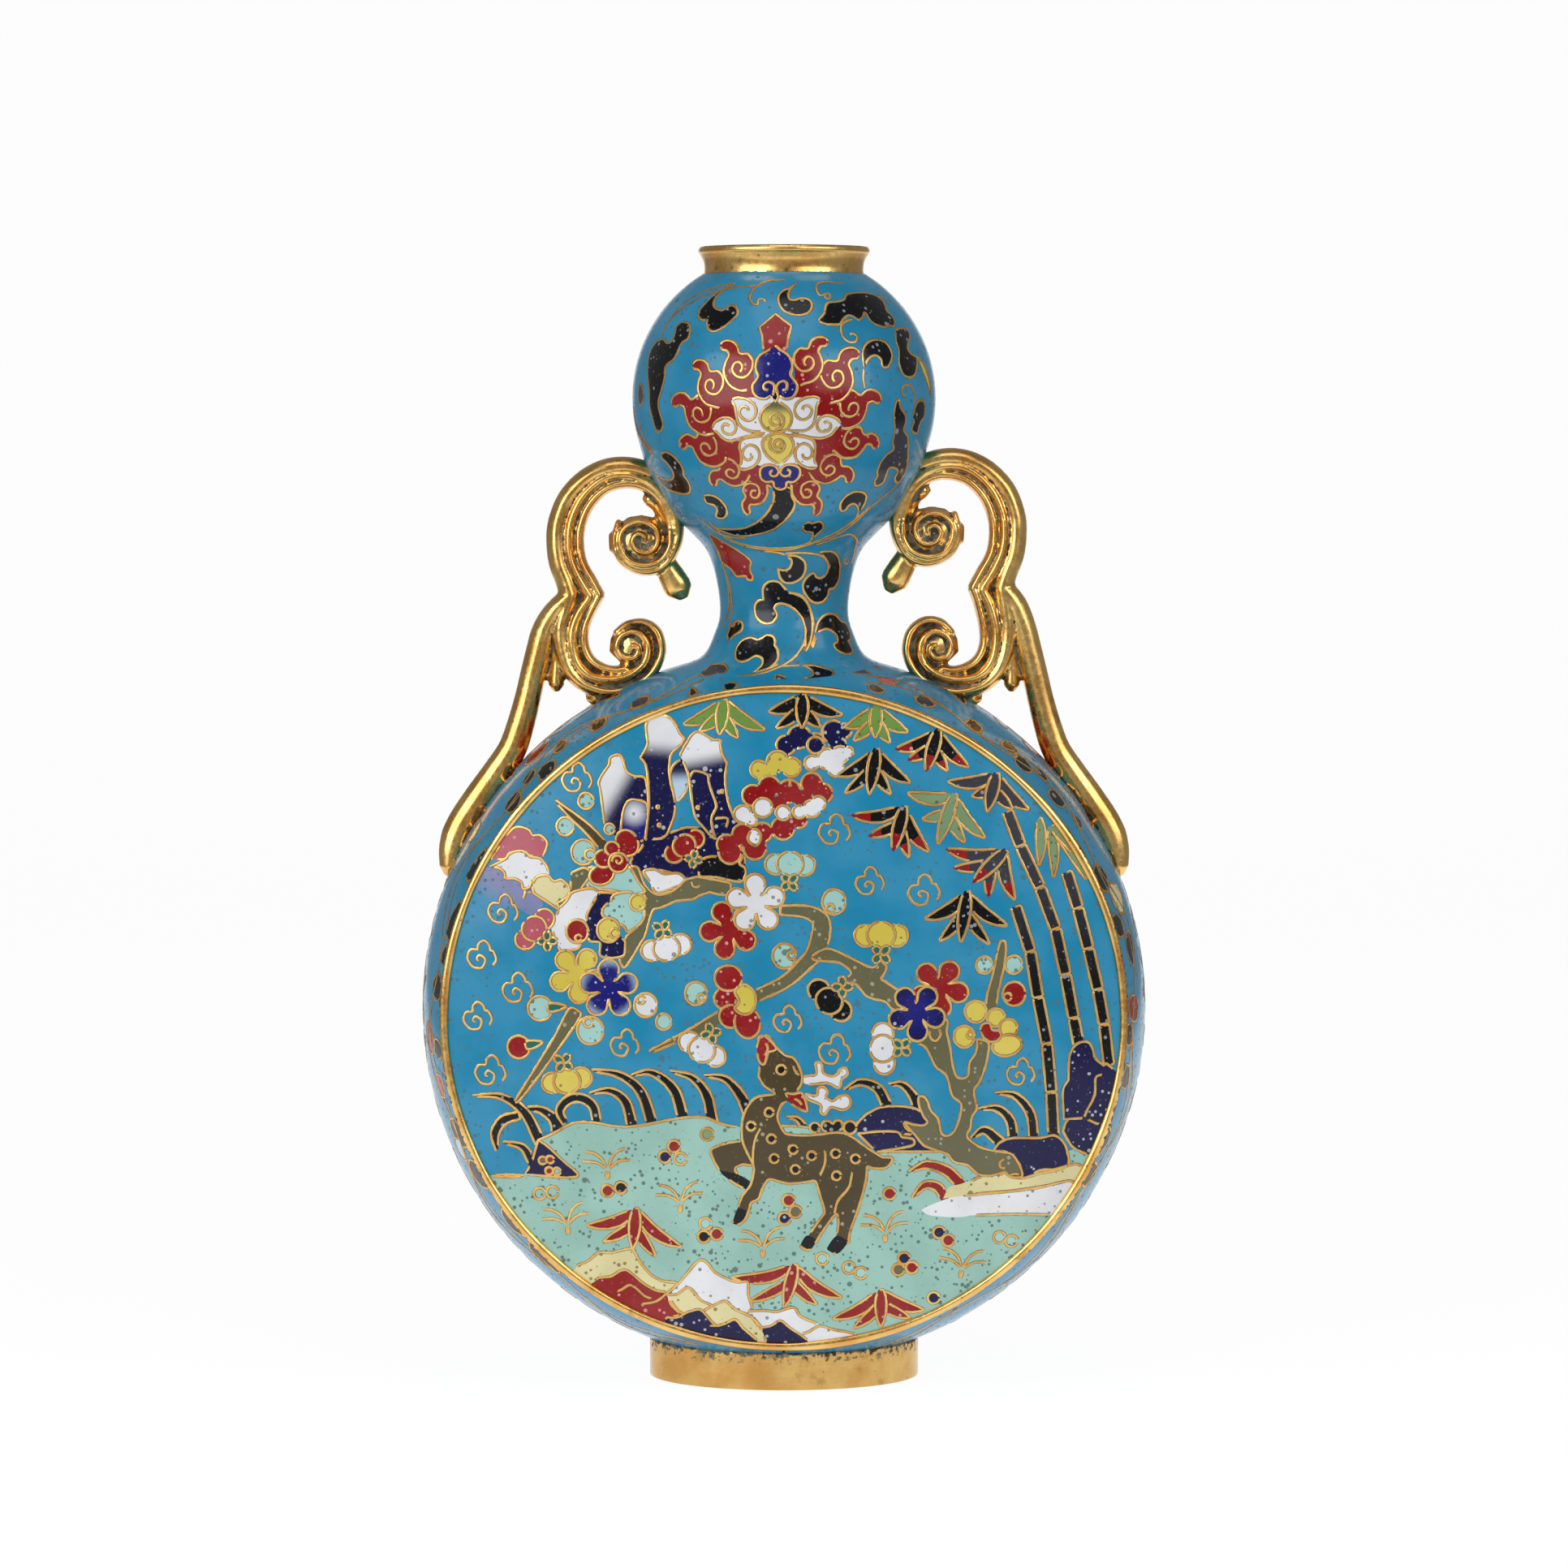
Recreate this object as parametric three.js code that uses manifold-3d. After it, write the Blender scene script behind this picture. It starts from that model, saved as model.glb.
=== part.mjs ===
// Cloisonne double-gourd moon flask: a brazed copper body under a fused enamel coat, with gilt mounts.
// Millimetres, +Z up. The origin is the centre of the foot's resting plane, and the front panel faces -Y.
import * as THREE from "three";
import { mergeVertices } from "three/addons/utils/BufferGeometryUtils.js";
import Module from "manifold-3d";

const wasm = await Module();
wasm.setup();

// ---- Driving dimensions -------------------------------------------------------------------------

const HEIGHT = 250;
const ENAMEL = 0.9; // thickness of the enamel coat
const COPPER = 1.15; // thickness of the copper sheet
const GAP = 0.15; // clearance between enamel and copper
const FIT = 0.3; // clearance between a mount and the surface that it sits on
const BODY = { z: 82.2, rx: 80, rz: 79.2, depth: 25, dropX: 6.1, dropZ: 7.4 }; // the flattened round body
const PANEL = { rx: 72.9, rz: 70.8, crown: 5.4 }; // the domed roundels on its two faces
const BULB = { z: 216.8, r: 33.4, rise: 32.3, topR: 17.9 }; // the upper gourd
const WAIST = [
  [30.2, 201.3],
  [27.8, 197.2],
  [24.3, 191.2],
  [20.2, 187.0],
  [17.2, 183.6],
  [15.4, 179.0],
  [14.3, 173.0],
  [14.3, 168.3],
  [15.6, 164.4],
]; // radius and height of the waist, from the bulb down to the flare
const WAIST_SPLIT = 5; // the waist point at which bulb and neck are brazed together
const FLARE = { r: 21.5, leave: 4, land: 3.5 }; // plan radius where the neck meets the body, and its ease
const SLEEVE_FOOT = [15.2, 236.5];
const COLLAR = [
  SLEEVE_FOOT,
  [16.1, 236.5],
  [16.1, 244.5],
  [17.6, 244.5],
  [17.5, 245.9],
  [17.8, 247.1],
  [18.6, 248.6],
  [18.9, HEIGHT - 0.9],
  [18.7, HEIGHT - 0.2],
  [18.1, HEIGHT],
  [16.1, HEIGHT - 0.5],
  [15.2, HEIGHT - 3],
  SLEEVE_FOOT,
]; // radius and height of the mouth collar: up its outside from the sleeve, over the lip and down the bore
const FOOT = { rx: 29.85, ry: 21.3, wall: 1.9, roughTop: 12, chamfer: 0.5 };
const BORDER = { rx: 73.9, rz: 71.8, half: 0.95, rise: 0.9 }; // the gilt ring around each roundel
const BAND_EDGE = 1.3; // the band's sheets stop this far short of the border rings' middles
const COPPER_EDGE = 0.965; // the roundels' copper plates stop at this share of their radius
const SEAM = 0.01; // opening between bulb and neck, as a share of the waist
const PIN = { r: 1.5, hole: 1.75, headR: 2.5, head: 1.0, stand: 0.9, into: 2.2 }; // pins hold the handles on
const PIN_AT = { waist: 1.06, band: 1.122 }; // the upper pins along the gourd, the lower by angle
const BASE = { inset: 2.6, bottom: 1, top: 2.2 }; // the plate that closes the foot ring from below
const AROUND = 32; // facets around the gourd
const AROUND_BODY = 44; // facets around the body
const BAR_SIDES = 8; // facets around a handle's bars
const BAR_RINGS = 1.3; // rings along a bar for each point of its branch
const DRUM_SIDES = 14; // facets around discs and pins
const THROUGH = 60; // length of a cut that has to pass right through the shoulder

// ---- Solids from rings of points ----------------------------------------------------------------

// A closed solid through a sequence of closed rings with equal point counts. A ring may shrink to one
// point. With joined true, the last ring connects back to the first.
function loft(rings, joined = false) {
  const n = rings[0].length;
  const index = [];
  const spans = joined ? rings.length : rings.length - 1;
  for (let r = 0; r < spans; r++) {
    const a = r * n;
    const b = ((r + 1) % rings.length) * n;
    for (let i = 0; i < n; i++) {
      const j = (i + 1) % n;
      index.push(a + i, b + i, b + j, a + i, b + j, a + j);
    }
  }
  const geometry = new THREE.BufferGeometry().setFromPoints(rings.flat());
  geometry.setIndex(index);
  return solid(geometry);
}

// A manifold solid from a closed three.js geometry, turned to face outwards.
function solid(source) {
  const bare = source.clone();
  bare.deleteAttribute("normal");
  bare.deleteAttribute("uv");
  const merged = mergeVertices(bare, 1e-4);
  const corners = merged.index.array;
  const faces = [];
  for (let i = 0; i < corners.length; i += 3) {
    const [a, b, c] = [corners[i], corners[i + 1], corners[i + 2]];
    if (a !== b && b !== c && a !== c) faces.push(a, b, c);
  }
  const position = merged.attributes.position;
  const [p, q, r] = [new THREE.Vector3(), new THREE.Vector3(), new THREE.Vector3()];
  let volume = 0;
  for (let i = 0; i < faces.length; i += 3) {
    p.fromBufferAttribute(position, faces[i]);
    q.fromBufferAttribute(position, faces[i + 1]);
    r.fromBufferAttribute(position, faces[i + 2]);
    volume += p.dot(q.cross(r));
  }
  if (volume < 0) {
    for (let i = 0; i < faces.length; i += 3) [faces[i + 1], faces[i + 2]] = [faces[i + 2], faces[i + 1]];
  }
  return new wasm.Manifold(
    new wasm.Mesh({
      numProp: 3,
      vertProperties: new Float32Array(position.array),
      triVerts: new Uint32Array(faces),
    }),
  );
}

// The largest connected body of a solid, so that a cut leaves no crumbs.
function mainBody(manifold) {
  return manifold.decompose().reduce((a, b) => (a.volume() > b.volume() ? a : b));
}

function geometryOf(manifold) {
  const mesh = manifold.getMesh();
  const geometry = new THREE.BufferGeometry();
  geometry.setAttribute("position", new THREE.BufferAttribute(mesh.vertProperties, 3));
  geometry.setIndex(new THREE.BufferAttribute(mesh.triVerts, 1));
  geometry.computeVertexNormals();
  return geometry;
}

// A point of surface(u, v) moved out along the surface's normal by lift. outward says which way is out.
function lifted(surface, u, v, lift, outward) {
  const step = 1e-3;
  const point = surface(u, v);
  const du = surface(u + step, v).sub(surface(u - step, v));
  const dv = surface(u, v + step).sub(surface(u, v - step));
  const normal = du.cross(dv).normalize();
  if (normal.dot(outward(point)) < 0) normal.negate();
  return point.addScaledVector(normal, lift);
}

// Rings of a surface that closes in u, one ring for each v.
function ringsOf(surface, vs, lift, outward, around) {
  return vs.map((v) =>
    Array.from({ length: around }, (_, i) => lifted(surface, (i / around) * 2 * Math.PI, v, lift, outward)),
  );
}

// A sheet of a surface, from one depth below it to a greater depth, with both edges closed.
function sheet(surface, vs, near, far, outward, around) {
  const outer = ringsOf(surface, vs, -near, outward, around);
  const inner = ringsOf(surface, vs, -far, outward, around).reverse();
  return loft([...outer, ...inner], true);
}

function spread(from, to, steps) {
  return Array.from({ length: steps + 1 }, (_, i) => from + ((to - from) * i) / steps);
}

// ---- The flask's surfaces -----------------------------------------------------------------------

// Radii of the body's band at depth y, which fall off from the middle to the two border rings.
function bandRadii(y) {
  const share = (y / BODY.depth) ** 2;
  return [BODY.rx - BODY.dropX * share, BODY.rz - BODY.dropZ * share];
}

function bandSurface(angle, y) {
  const [rx, rz] = bandRadii(y);
  return new THREE.Vector3(rx * Math.sin(angle), y, BODY.z + rz * Math.cos(angle));
}

function shoulderPoint(x, y) {
  const [rx, rz] = bandRadii(y);
  return new THREE.Vector3(x, y, BODY.z + rz * Math.sqrt(1 - (x / rx) ** 2));
}

// The roundel facing side (-1 is the front), at share of its radius.
function panelSurface(side) {
  return (angle, share) =>
    new THREE.Vector3(
      PANEL.rx * share * Math.sin(angle),
      side * (BODY.depth + PANEL.crown * (1 - share * share)),
      BODY.z + PANEL.rz * share * Math.cos(angle),
    );
}

const bulbTop = Math.asin(BULB.topR / BULB.r);
const bulbFoot = Math.PI - Math.asin(WAIST[0][0] / BULB.r);
const waistCurve = new THREE.SplineCurve(WAIST.map(([r, z]) => new THREE.Vector2(r, z)));

// The gourd's surface: v from 0 to 1 is the bulb, 1 to 2 the waist, and 2 to 3 the flare onto the body.
function gourdSurface(angle, v) {
  if (v <= 1) {
    const polar = bulbTop + (bulbFoot - bulbTop) * v;
    const height = polar < Math.PI / 2 ? BULB.rise : BULB.r;
    return turned(BULB.r * Math.sin(polar), BULB.z + height * Math.cos(polar), angle);
  }
  if (v <= 2) {
    const p = waistCurve.getPoint(v - 1);
    return turned(p.x, p.y, angle);
  }
  return flareCurve(angle).getPoint(v - 2);
}

function turned(r, z, angle) {
  return new THREE.Vector3(r * Math.sin(angle), -r * Math.cos(angle), z);
}

// The flare leaves the waist along its own slope and lands on the body along the body's slope.
function flareCurve(angle) {
  const end = waistCurve.getPoint(1);
  const slope = waistCurve.getTangent(1);
  const start = turned(end.x, end.y, angle);
  const leave = turned(slope.x, slope.y, angle).multiplyScalar(FLARE.leave);
  const plan = turned(1, 0, angle);
  const foot = shoulderPoint(plan.x * FLARE.r, plan.y * FLARE.r);
  const beyond = shoulderPoint(plan.x * (FLARE.r + 0.5), plan.y * (FLARE.r + 0.5));
  const land = beyond.sub(foot).normalize().multiplyScalar(FLARE.land);
  return new THREE.CubicBezierCurve3(start, start.clone().add(leave), foot.clone().sub(land), foot);
}

// Which way is out, at a point of the band, of the gourd (up and out on the flare) and of a roundel.
const fromAxisY = (p) => new THREE.Vector3(p.x, 0, p.z - BODY.z);
const fromAxisZ = (p) => new THREE.Vector3(p.x, p.y, p.z < BODY.z + BODY.rz ? 30 : 0);
const facing = (side) => () => new THREE.Vector3(0, side, 0);

// ---- Body ---------------------------------------------------------------------------------------

const joint = 1 + WAIST_SPLIT / (WAIST.length - 1);
const bulbRows = [...spread(0, 1, 7), ...spread(1, joint - SEAM, 3).slice(1)];
const neckRows = [...spread(joint + SEAM, 2, 2), ...spread(2, 3, 3).slice(1)];
const bandRows = spread(BAND_EDGE - BODY.depth, BODY.depth - BAND_EDGE, 4);
const blankRows = [...spread(0, 1, 12), ...spread(1, 2, 8).slice(1), ...spread(2, 2.95, 3).slice(1)];
const panelRows = [0, 0.4, 0.75, 0.994];
const panelCopperRows = [0, 0.4, 0.75, COPPER_EDGE]; // the copper plates sit inside the band's edges
const copperNear = ENAMEL + GAP;
const copperFar = copperNear + COPPER;

// The body as one full solid, grown by clearance, for cutting the mounts that sit on it.
function bodyBlank(grow) {
  const rows = [];
  for (const side of [-1, 1]) {
    const face = ringsOf(panelSurface(side), panelRows, grow, facing(side), AROUND_BODY);
    const edge = ringsOf(bandSurface, spread(side * BODY.depth, 0, 4), grow, fromAxisY, AROUND_BODY);
    const ordered = [...face, ...edge.slice(0, -1)];
    rows.push(...(side < 0 ? ordered : [edge.at(-1), ...ordered.reverse()]));
  }
  return loft(rows);
}

// The gourd as one full solid, grown in the same way.
function gourdBlank(grow) {
  const rows = ringsOf(gourdSurface, blankRows, grow, fromAxisZ, AROUND);
  const cap = (ring) => ring.map(() => new THREE.Vector3(0, 0, ring[0].z));
  return loft([cap(rows[0]), ...rows, cap(rows.at(-1))]);
}

// The round hole in the body's shoulder that the neck stands in.
function neckHole() {
  const drum = new THREE.CylinderGeometry(FLARE.r + FIT, FLARE.r + FIT, THROUGH, AROUND);
  drum.rotateX(Math.PI / 2).translate(0, 0, BODY.z + BODY.rz);
  return solid(drum);
}

// ---- Gilt mounts --------------------------------------------------------------------------------

function mouthCollar() {
  const profile = COLLAR.map(([r, z]) => new THREE.Vector2(r, z));
  return solid(new THREE.LatheGeometry(profile, AROUND).rotateX(Math.PI / 2));
}

// The oval of the foot's outline at one height, with its edge moved in by inset.
function footOval(inset, z) {
  return Array.from({ length: AROUND }, (_, i) => {
    const a = (i / AROUND) * 2 * Math.PI;
    return new THREE.Vector3((FOOT.rx - inset) * Math.cos(a), (FOOT.ry - inset) * Math.sin(a), z);
  });
}

function footRing() {
  const { wall, roughTop, chamfer } = FOOT;
  const outside = [footOval(chamfer, 0), footOval(0, chamfer), footOval(0, roughTop)];
  const inside = [footOval(wall, roughTop), footOval(wall, 0)];
  return mainBody(loft([...outside, ...inside], true).subtract(bodyBlank(FIT)));
}

function basePlate() {
  const centre = (z) => footOval(0, z).map(() => new THREE.Vector3(0, 0, z));
  const rings = [BASE.bottom, BASE.top].map((z) => [centre(z), footOval(BASE.inset, z)]);
  return loft([...rings[0], ...rings[1].reverse()]);
}

// A ring around one roundel, with a rounded section that stands proud of panel and band.
function borderRing(side) {
  const { rx, rz, half, rise } = BORDER;
  const section = [
    [-half, -rise],
    [-half, rise * 0.6],
    [-half * 0.5, rise],
    [half * 0.5, rise],
    [half, rise * 0.4],
    [half, -rise],
  ];
  const rings = section.map(([out, up]) =>
    Array.from({ length: AROUND_BODY }, (_, i) => {
      const a = (i / AROUND_BODY) * 2 * Math.PI;
      const y = side * (BODY.depth + up - 0.1);
      return new THREE.Vector3((rx + out) * Math.sin(a), y, BODY.z + (rz + out) * Math.cos(a));
    }),
  );
  return loft(rings, true);
}

// ---- Handles ------------------------------------------------------------------------------------

// One branch of a handle: [x, z, half width in the handle's plane, half width in depth] along its middle.
const STRAP = [
  [28.2, 198.8, 3.6, 4.2],
  [33.3, 200.8, 3.8, 4.4],
  [39.6, 200.9, 3.8, 4.5],
  [46.3, 197.0, 3.9, 4.5],
  [49.3, 190.7, 4.1, 4.5],
  [49.5, 185.2, 4.2, 4.5],
  [47.5, 178.9, 4.3, 4.5],
  [45.7, 174.1, 4.9, 4.6],
  [47.0, 168.1, 4.3, 4.5],
  [47.7, 161.8, 4.2, 4.3],
  [44.8, 155.5, 3.7, 4.1],
  [39.4, 152.6, 3.0, 3.9],
  [33.3, 153.3, 2.4, 3.7],
  [28.2, 156.9, 1.9, 3.6],
];
const LEG = [
  [48.2, 172.6, 3.5, 4.0],
  [50.5, 167.2, 3.4, 3.8],
  [52.3, 160.9, 3.1, 3.6],
  [55.2, 151.9, 2.9, 3.5],
  [56.9, 145.6, 2.8, 3.4],
  [58.4, 140.6, 2.4, 3.4],
  [61.7, 135.3, 2.1, 3.4],
  [66.6, 129.1, 2.1, 3.4],
  [70.7, 123.0, 2.1, 3.4],
  [73.5, 117.8, 2.0, 3.2],
  [74.9, 114.3, 1.6, 2.6],
];
const CURL = [
  [32.5, 199.6, 3.0, 4.0],
  [27.9, 194.8, 3.0, 3.9],
  [25.7, 189.8, 2.8, 3.8],
  [25.9, 184.7, 2.6, 3.7],
  [28.4, 181.2, 2.0, 3.6],
];
const KNOB = [
  [27.0, 183.0, 2.6, 2.8],
  [25.2, 179.2, 2.2, 2.5],
  [23.8, 175.9, 2.5, 2.6],
];
const PENDANT = [
  [50.1, 166.3, 1.0, 2.0],
  [50.2, 158.0, 1.2, 2.2],
  [50.3, 153.0, 1.7, 2.4],
];
const SCROLLS = [
  [32.6, 186.7, 6.6, 3.7],
  [31.8, 161.3, 6.6, 3.7],
  [42.6, 151.0, 5.0, 3.0],
]; // centre x, z, radius and half depth of the scroll discs and the web onto the shoulder
const LEFT = { drop: 1.9, pull: 1.1, from: 164, to: 178, slim: 0.92 }; // the left casting sits lower

// A point of a handle's outline, carried over to its own side of the flask.
function placer(side) {
  return (x, z) => {
    const share = side < 0 ? THREE.MathUtils.smoothstep(z, LEFT.from, LEFT.to) : 0;
    return new THREE.Vector3(side * (x - LEFT.pull * share), 0, z - LEFT.drop * share);
  };
}

// A rounded bar that follows a branch, with its ends closed by shrinking rings.
function bar(branch, place, slim) {
  const middle = new THREE.CatmullRomCurve3(branch.map(([x, z]) => place(x, z)));
  const sizes = new THREE.CatmullRomCurve3(branch.map(([, , a, b]) => new THREE.Vector3(a * slim, b, 0)));
  const steps = Math.round(branch.length * BAR_RINGS);
  const rings = [];
  const ring = (t, shrink, slide) => {
    const centre = middle.getPoint(t);
    const along = middle.getTangent(t);
    const across = new THREE.Vector3(-along.z, 0, along.x);
    const size = sizes.getPoint(t);
    centre.addScaledVector(along, slide * size.x);
    return Array.from({ length: BAR_SIDES }, (_, i) => {
      const a = (i / BAR_SIDES) * 2 * Math.PI;
      return centre
        .clone()
        .addScaledVector(across, Math.cos(a) * size.x * shrink)
        .add(new THREE.Vector3(0, Math.sin(a) * size.y * shrink, 0));
    });
  };
  rings.push(ring(0, 0, -0.8), ring(0, 0.7, -0.5));
  for (let i = 0; i <= steps; i++) rings.push(ring(i / steps, 1, 0));
  rings.push(ring(1, 0.7, 0.5), ring(1, 0, 0.8));
  return loft(rings);
}

function disc(place, x, z, radius, halfDepth) {
  const drum = new THREE.CylinderGeometry(radius, radius, halfDepth * 2, DRUM_SIDES);
  const centre = place(x, z);
  return solid(drum.translate(centre.x, centre.y, centre.z));
}

// A pin through the wall at a point of the surface, along its normal: a shank and an inner head.
function pinShape(point, normal, radius, headRadius) {
  const bottom = -copperFar - PIN.stand - PIN.head;
  const shank = new THREE.CylinderGeometry(radius, radius, PIN.into - bottom, DRUM_SIDES);
  shank.translate(0, (PIN.into + bottom) / 2, 0);
  const head = new THREE.CylinderGeometry(headRadius, headRadius, PIN.head, DRUM_SIDES);
  head.translate(0, bottom + PIN.head / 2, 0);
  const turn = new THREE.Quaternion().setFromUnitVectors(new THREE.Vector3(0, 1, 0), normal);
  for (const part of [shank, head]) part.applyQuaternion(turn).translate(point.x, point.y, point.z);
  return solid(shank).add(solid(head));
}

// Both pins of a handle: one through the bulb, one through the body's band.
function pinPlaces(side) {
  const quarter = (side * Math.PI) / 2;
  const upper = { surface: gourdSurface, u: quarter, v: PIN_AT.waist, outward: fromAxisZ };
  const lower = { surface: bandSurface, u: side * PIN_AT.band, v: 0, outward: fromAxisY };
  return { upper, lower };
}

function pin(place, radius, headRadius) {
  const { surface, u, v, outward } = place;
  const point = surface(u, v);
  const normal = lifted(surface, u, v, 1, outward).sub(point).normalize();
  return pinShape(point, normal, radius, headRadius);
}

function handle(side) {
  const place = placer(side);
  const slim = side < 0 ? LEFT.slim : 1;
  let casting = bar(STRAP, place, slim);
  for (const branch of [LEG, CURL, KNOB, PENDANT]) casting = casting.add(bar(branch, place, slim));
  for (const scroll of SCROLLS) casting = casting.add(disc(place, ...scroll));
  return mainBody(casting.subtract(bodyBlank(FIT)).subtract(gourdBlank(FIT)));
}

// ---- Assembly -----------------------------------------------------------------------------------

const GILT = new THREE.MeshStandardMaterial({ color: 0xc9973f, metalness: 1, roughness: 0.3 });
const BARE_COPPER = new THREE.MeshStandardMaterial({ color: 0xa5673f, metalness: 1, roughness: 0.5 });
const TURQUOISE = new THREE.MeshStandardMaterial({ color: 0x2486b4, metalness: 0, roughness: 0.2 });

const pieces = {
  mouth_collar: [mouthCollar(), GILT],
  bulb_enamel: [sheet(gourdSurface, bulbRows, 0, ENAMEL, fromAxisZ, AROUND), TURQUOISE],
  bulb_copper: [sheet(gourdSurface, bulbRows, copperNear, copperFar, fromAxisZ, AROUND), BARE_COPPER],
  neck_enamel: [sheet(gourdSurface, neckRows, 0, ENAMEL, fromAxisZ, AROUND), TURQUOISE],
  neck_copper: [sheet(gourdSurface, neckRows, copperNear, copperFar, fromAxisZ, AROUND), BARE_COPPER],
  band_enamel: [
    sheet(bandSurface, bandRows, 0, ENAMEL, fromAxisY, AROUND_BODY).subtract(neckHole()),
    TURQUOISE,
  ],
  band_copper: [
    sheet(bandSurface, bandRows, copperNear, copperFar, fromAxisY, AROUND_BODY).subtract(neckHole()),
    BARE_COPPER,
  ],
  foot_ring: [footRing(), GILT],
  base_plate: [basePlate(), GILT],
};
for (const [side, name] of [
  [-1, "front"],
  [1, "rear"],
]) {
  const face = panelSurface(side);
  const out = facing(side);
  pieces[`${name}_panel_enamel`] = [sheet(face, panelRows, 0, ENAMEL, out, AROUND_BODY), TURQUOISE];
  pieces[`${name}_panel_copper`] = [
    sheet(face, panelCopperRows, copperNear, copperFar, out, AROUND_BODY),
    BARE_COPPER,
  ];
  pieces[`${name}_border_ring`] = [borderRing(side), GILT];
}
for (const [side, name] of [
  [-1, "left"],
  [1, "right"],
]) {
  pieces[`${name}_handle`] = [handle(side), GILT];
  for (const [level, place] of Object.entries(pinPlaces(side))) {
    pieces[`${name}_${level}_pin`] = [pin(place, PIN.r, PIN.headR), BARE_COPPER];
    const hole = pin(place, PIN.hole, PIN.hole);
    const walls = level === "upper" ? ["bulb_enamel", "bulb_copper"] : ["band_enamel", "band_copper"];
    for (const drilled of [...walls, `${name}_handle`]) {
      pieces[drilled][0] = mainBody(pieces[drilled][0].subtract(hole));
    }
  }
}

const flask = new THREE.Group();
for (const [name, [shape, material]] of Object.entries(pieces)) {
  const mesh = new THREE.Mesh(geometryOf(shape), material);
  mesh.name = name;
  flask.add(mesh);
}

export default flask;
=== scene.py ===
"""Looks for a cloisonne double-gourd moon flask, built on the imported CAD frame.

Enamel pictures are drawn flat, in millimetres, on each surface's own plane. They are cut into one mosaic of
cells for each surface, wrapped onto the flask, and outlined with raised gilt wires.
"""

import math

import bmesh
import bpy
import numpy as np
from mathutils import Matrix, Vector, geometry


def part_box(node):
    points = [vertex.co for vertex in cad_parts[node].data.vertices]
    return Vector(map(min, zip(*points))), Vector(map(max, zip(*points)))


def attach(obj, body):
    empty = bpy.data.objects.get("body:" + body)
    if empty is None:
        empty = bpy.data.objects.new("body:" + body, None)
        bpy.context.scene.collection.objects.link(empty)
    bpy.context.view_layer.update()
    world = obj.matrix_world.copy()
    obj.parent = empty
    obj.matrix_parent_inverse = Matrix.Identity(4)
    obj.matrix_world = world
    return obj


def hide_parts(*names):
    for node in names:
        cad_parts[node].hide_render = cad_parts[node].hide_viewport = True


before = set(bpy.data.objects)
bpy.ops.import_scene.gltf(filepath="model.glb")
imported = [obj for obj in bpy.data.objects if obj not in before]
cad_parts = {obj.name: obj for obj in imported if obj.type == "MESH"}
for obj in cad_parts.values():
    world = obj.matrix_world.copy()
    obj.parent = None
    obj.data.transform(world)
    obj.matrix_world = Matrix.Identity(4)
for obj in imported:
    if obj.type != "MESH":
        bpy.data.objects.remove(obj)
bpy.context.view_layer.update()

MM = 0.001  # metres in a millimetre


def span(node, axis):
    """The lowest and highest millimetre of a CAD node along one axis."""
    low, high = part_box(node)
    return low[axis] / MM, high[axis] / MM


# ---- Driving sizes, in millimetres ---------------------------------------------------------------

WIRE = 0.5  # width of a cloison
WIRE_SECTION = [(-0.74, -0.5, 1), (-0.64, 0.35, 1), (-0.38, 0.6, 0.2), (0, 1, 0),
                (0.38, 0.6, 0.2), (0.64, 0.35, 1), (0.74, -0.5, 1)]  # shares of width and rise, and of the dark seam: painted shade with old dirt
WIRE_RISE = 0.09  # how far a cloison stands above the enamel
WIRE_STEP = 0.3  # spacing of the points at which a wire is tested for being covered
GRID = 2.0  # spacing of the mosaic's inner points
FADE_GRID = 1.0  # spacing of the inner points of a cell whose colour changes

RING_HALF = 0.95  # half width of a border ring
BODY_Z = sum(span("front_border_ring", 2)) / 2
BODY_RX = span("band_enamel", 0)[1]
BODY_RZ = BODY_Z - span("band_enamel", 2)[0]
RING_RX = span("front_border_ring", 0)[1] - RING_HALF
RING_RZ = span("front_border_ring", 2)[1] - RING_HALF - BODY_Z
DEPTH = 25.0  # distance of the border rings from the middle plane
PANEL_RX = RING_RX - 1.0
PANEL_RZ = RING_RZ - 1.0
CROWN = -span("front_panel_enamel", 1)[0] - DEPTH
BAND_DROP_X = BODY_RX - RING_RX
BAND_DROP_Z = BODY_RZ - RING_RZ

BULB_R = span("bulb_enamel", 0)[1]
BULB_Z = 216.8
BULB_RISE = 32.3  # the bulb's upper half is slightly flatter
BULB_TOP_R = 17.9
WAIST = [(30.2, 201.3), (27.8, 197.2), (24.3, 191.2), (20.2, 187.0), (17.2, 183.6), (15.4, 179.0),
         (14.3, 173.0), (14.3, 168.3), (15.6, 164.4)]
FLARE_R = 21.5  # plan radius at which the neck meets the shoulder
FLARE_LONG = 10.0  # length given to the flare on the gourd's flat plane
HEIGHT = span("mouth_collar", 2)[1]
COLLAR_SEAT = 243.9  # where the mouth collar leaves the bulb
BULB_SIDE = 180  # above this height a handle is nearer to the gourd than to the shoulder
VOXEL, QUICK_VOXEL = 0.36, 0.55  # cell sizes of the handles' remesh


# ---- Paints --------------------------------------------------------------------------------------


def srgb(red, green, blue):
    """A linear colour from eight-bit display values."""
    def linear(value):
        share = value / 255
        return share / 12.92 if share <= 0.04045 else ((share + 0.055) / 1.055) ** 2.4

    return (linear(red), linear(green), linear(blue))


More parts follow.
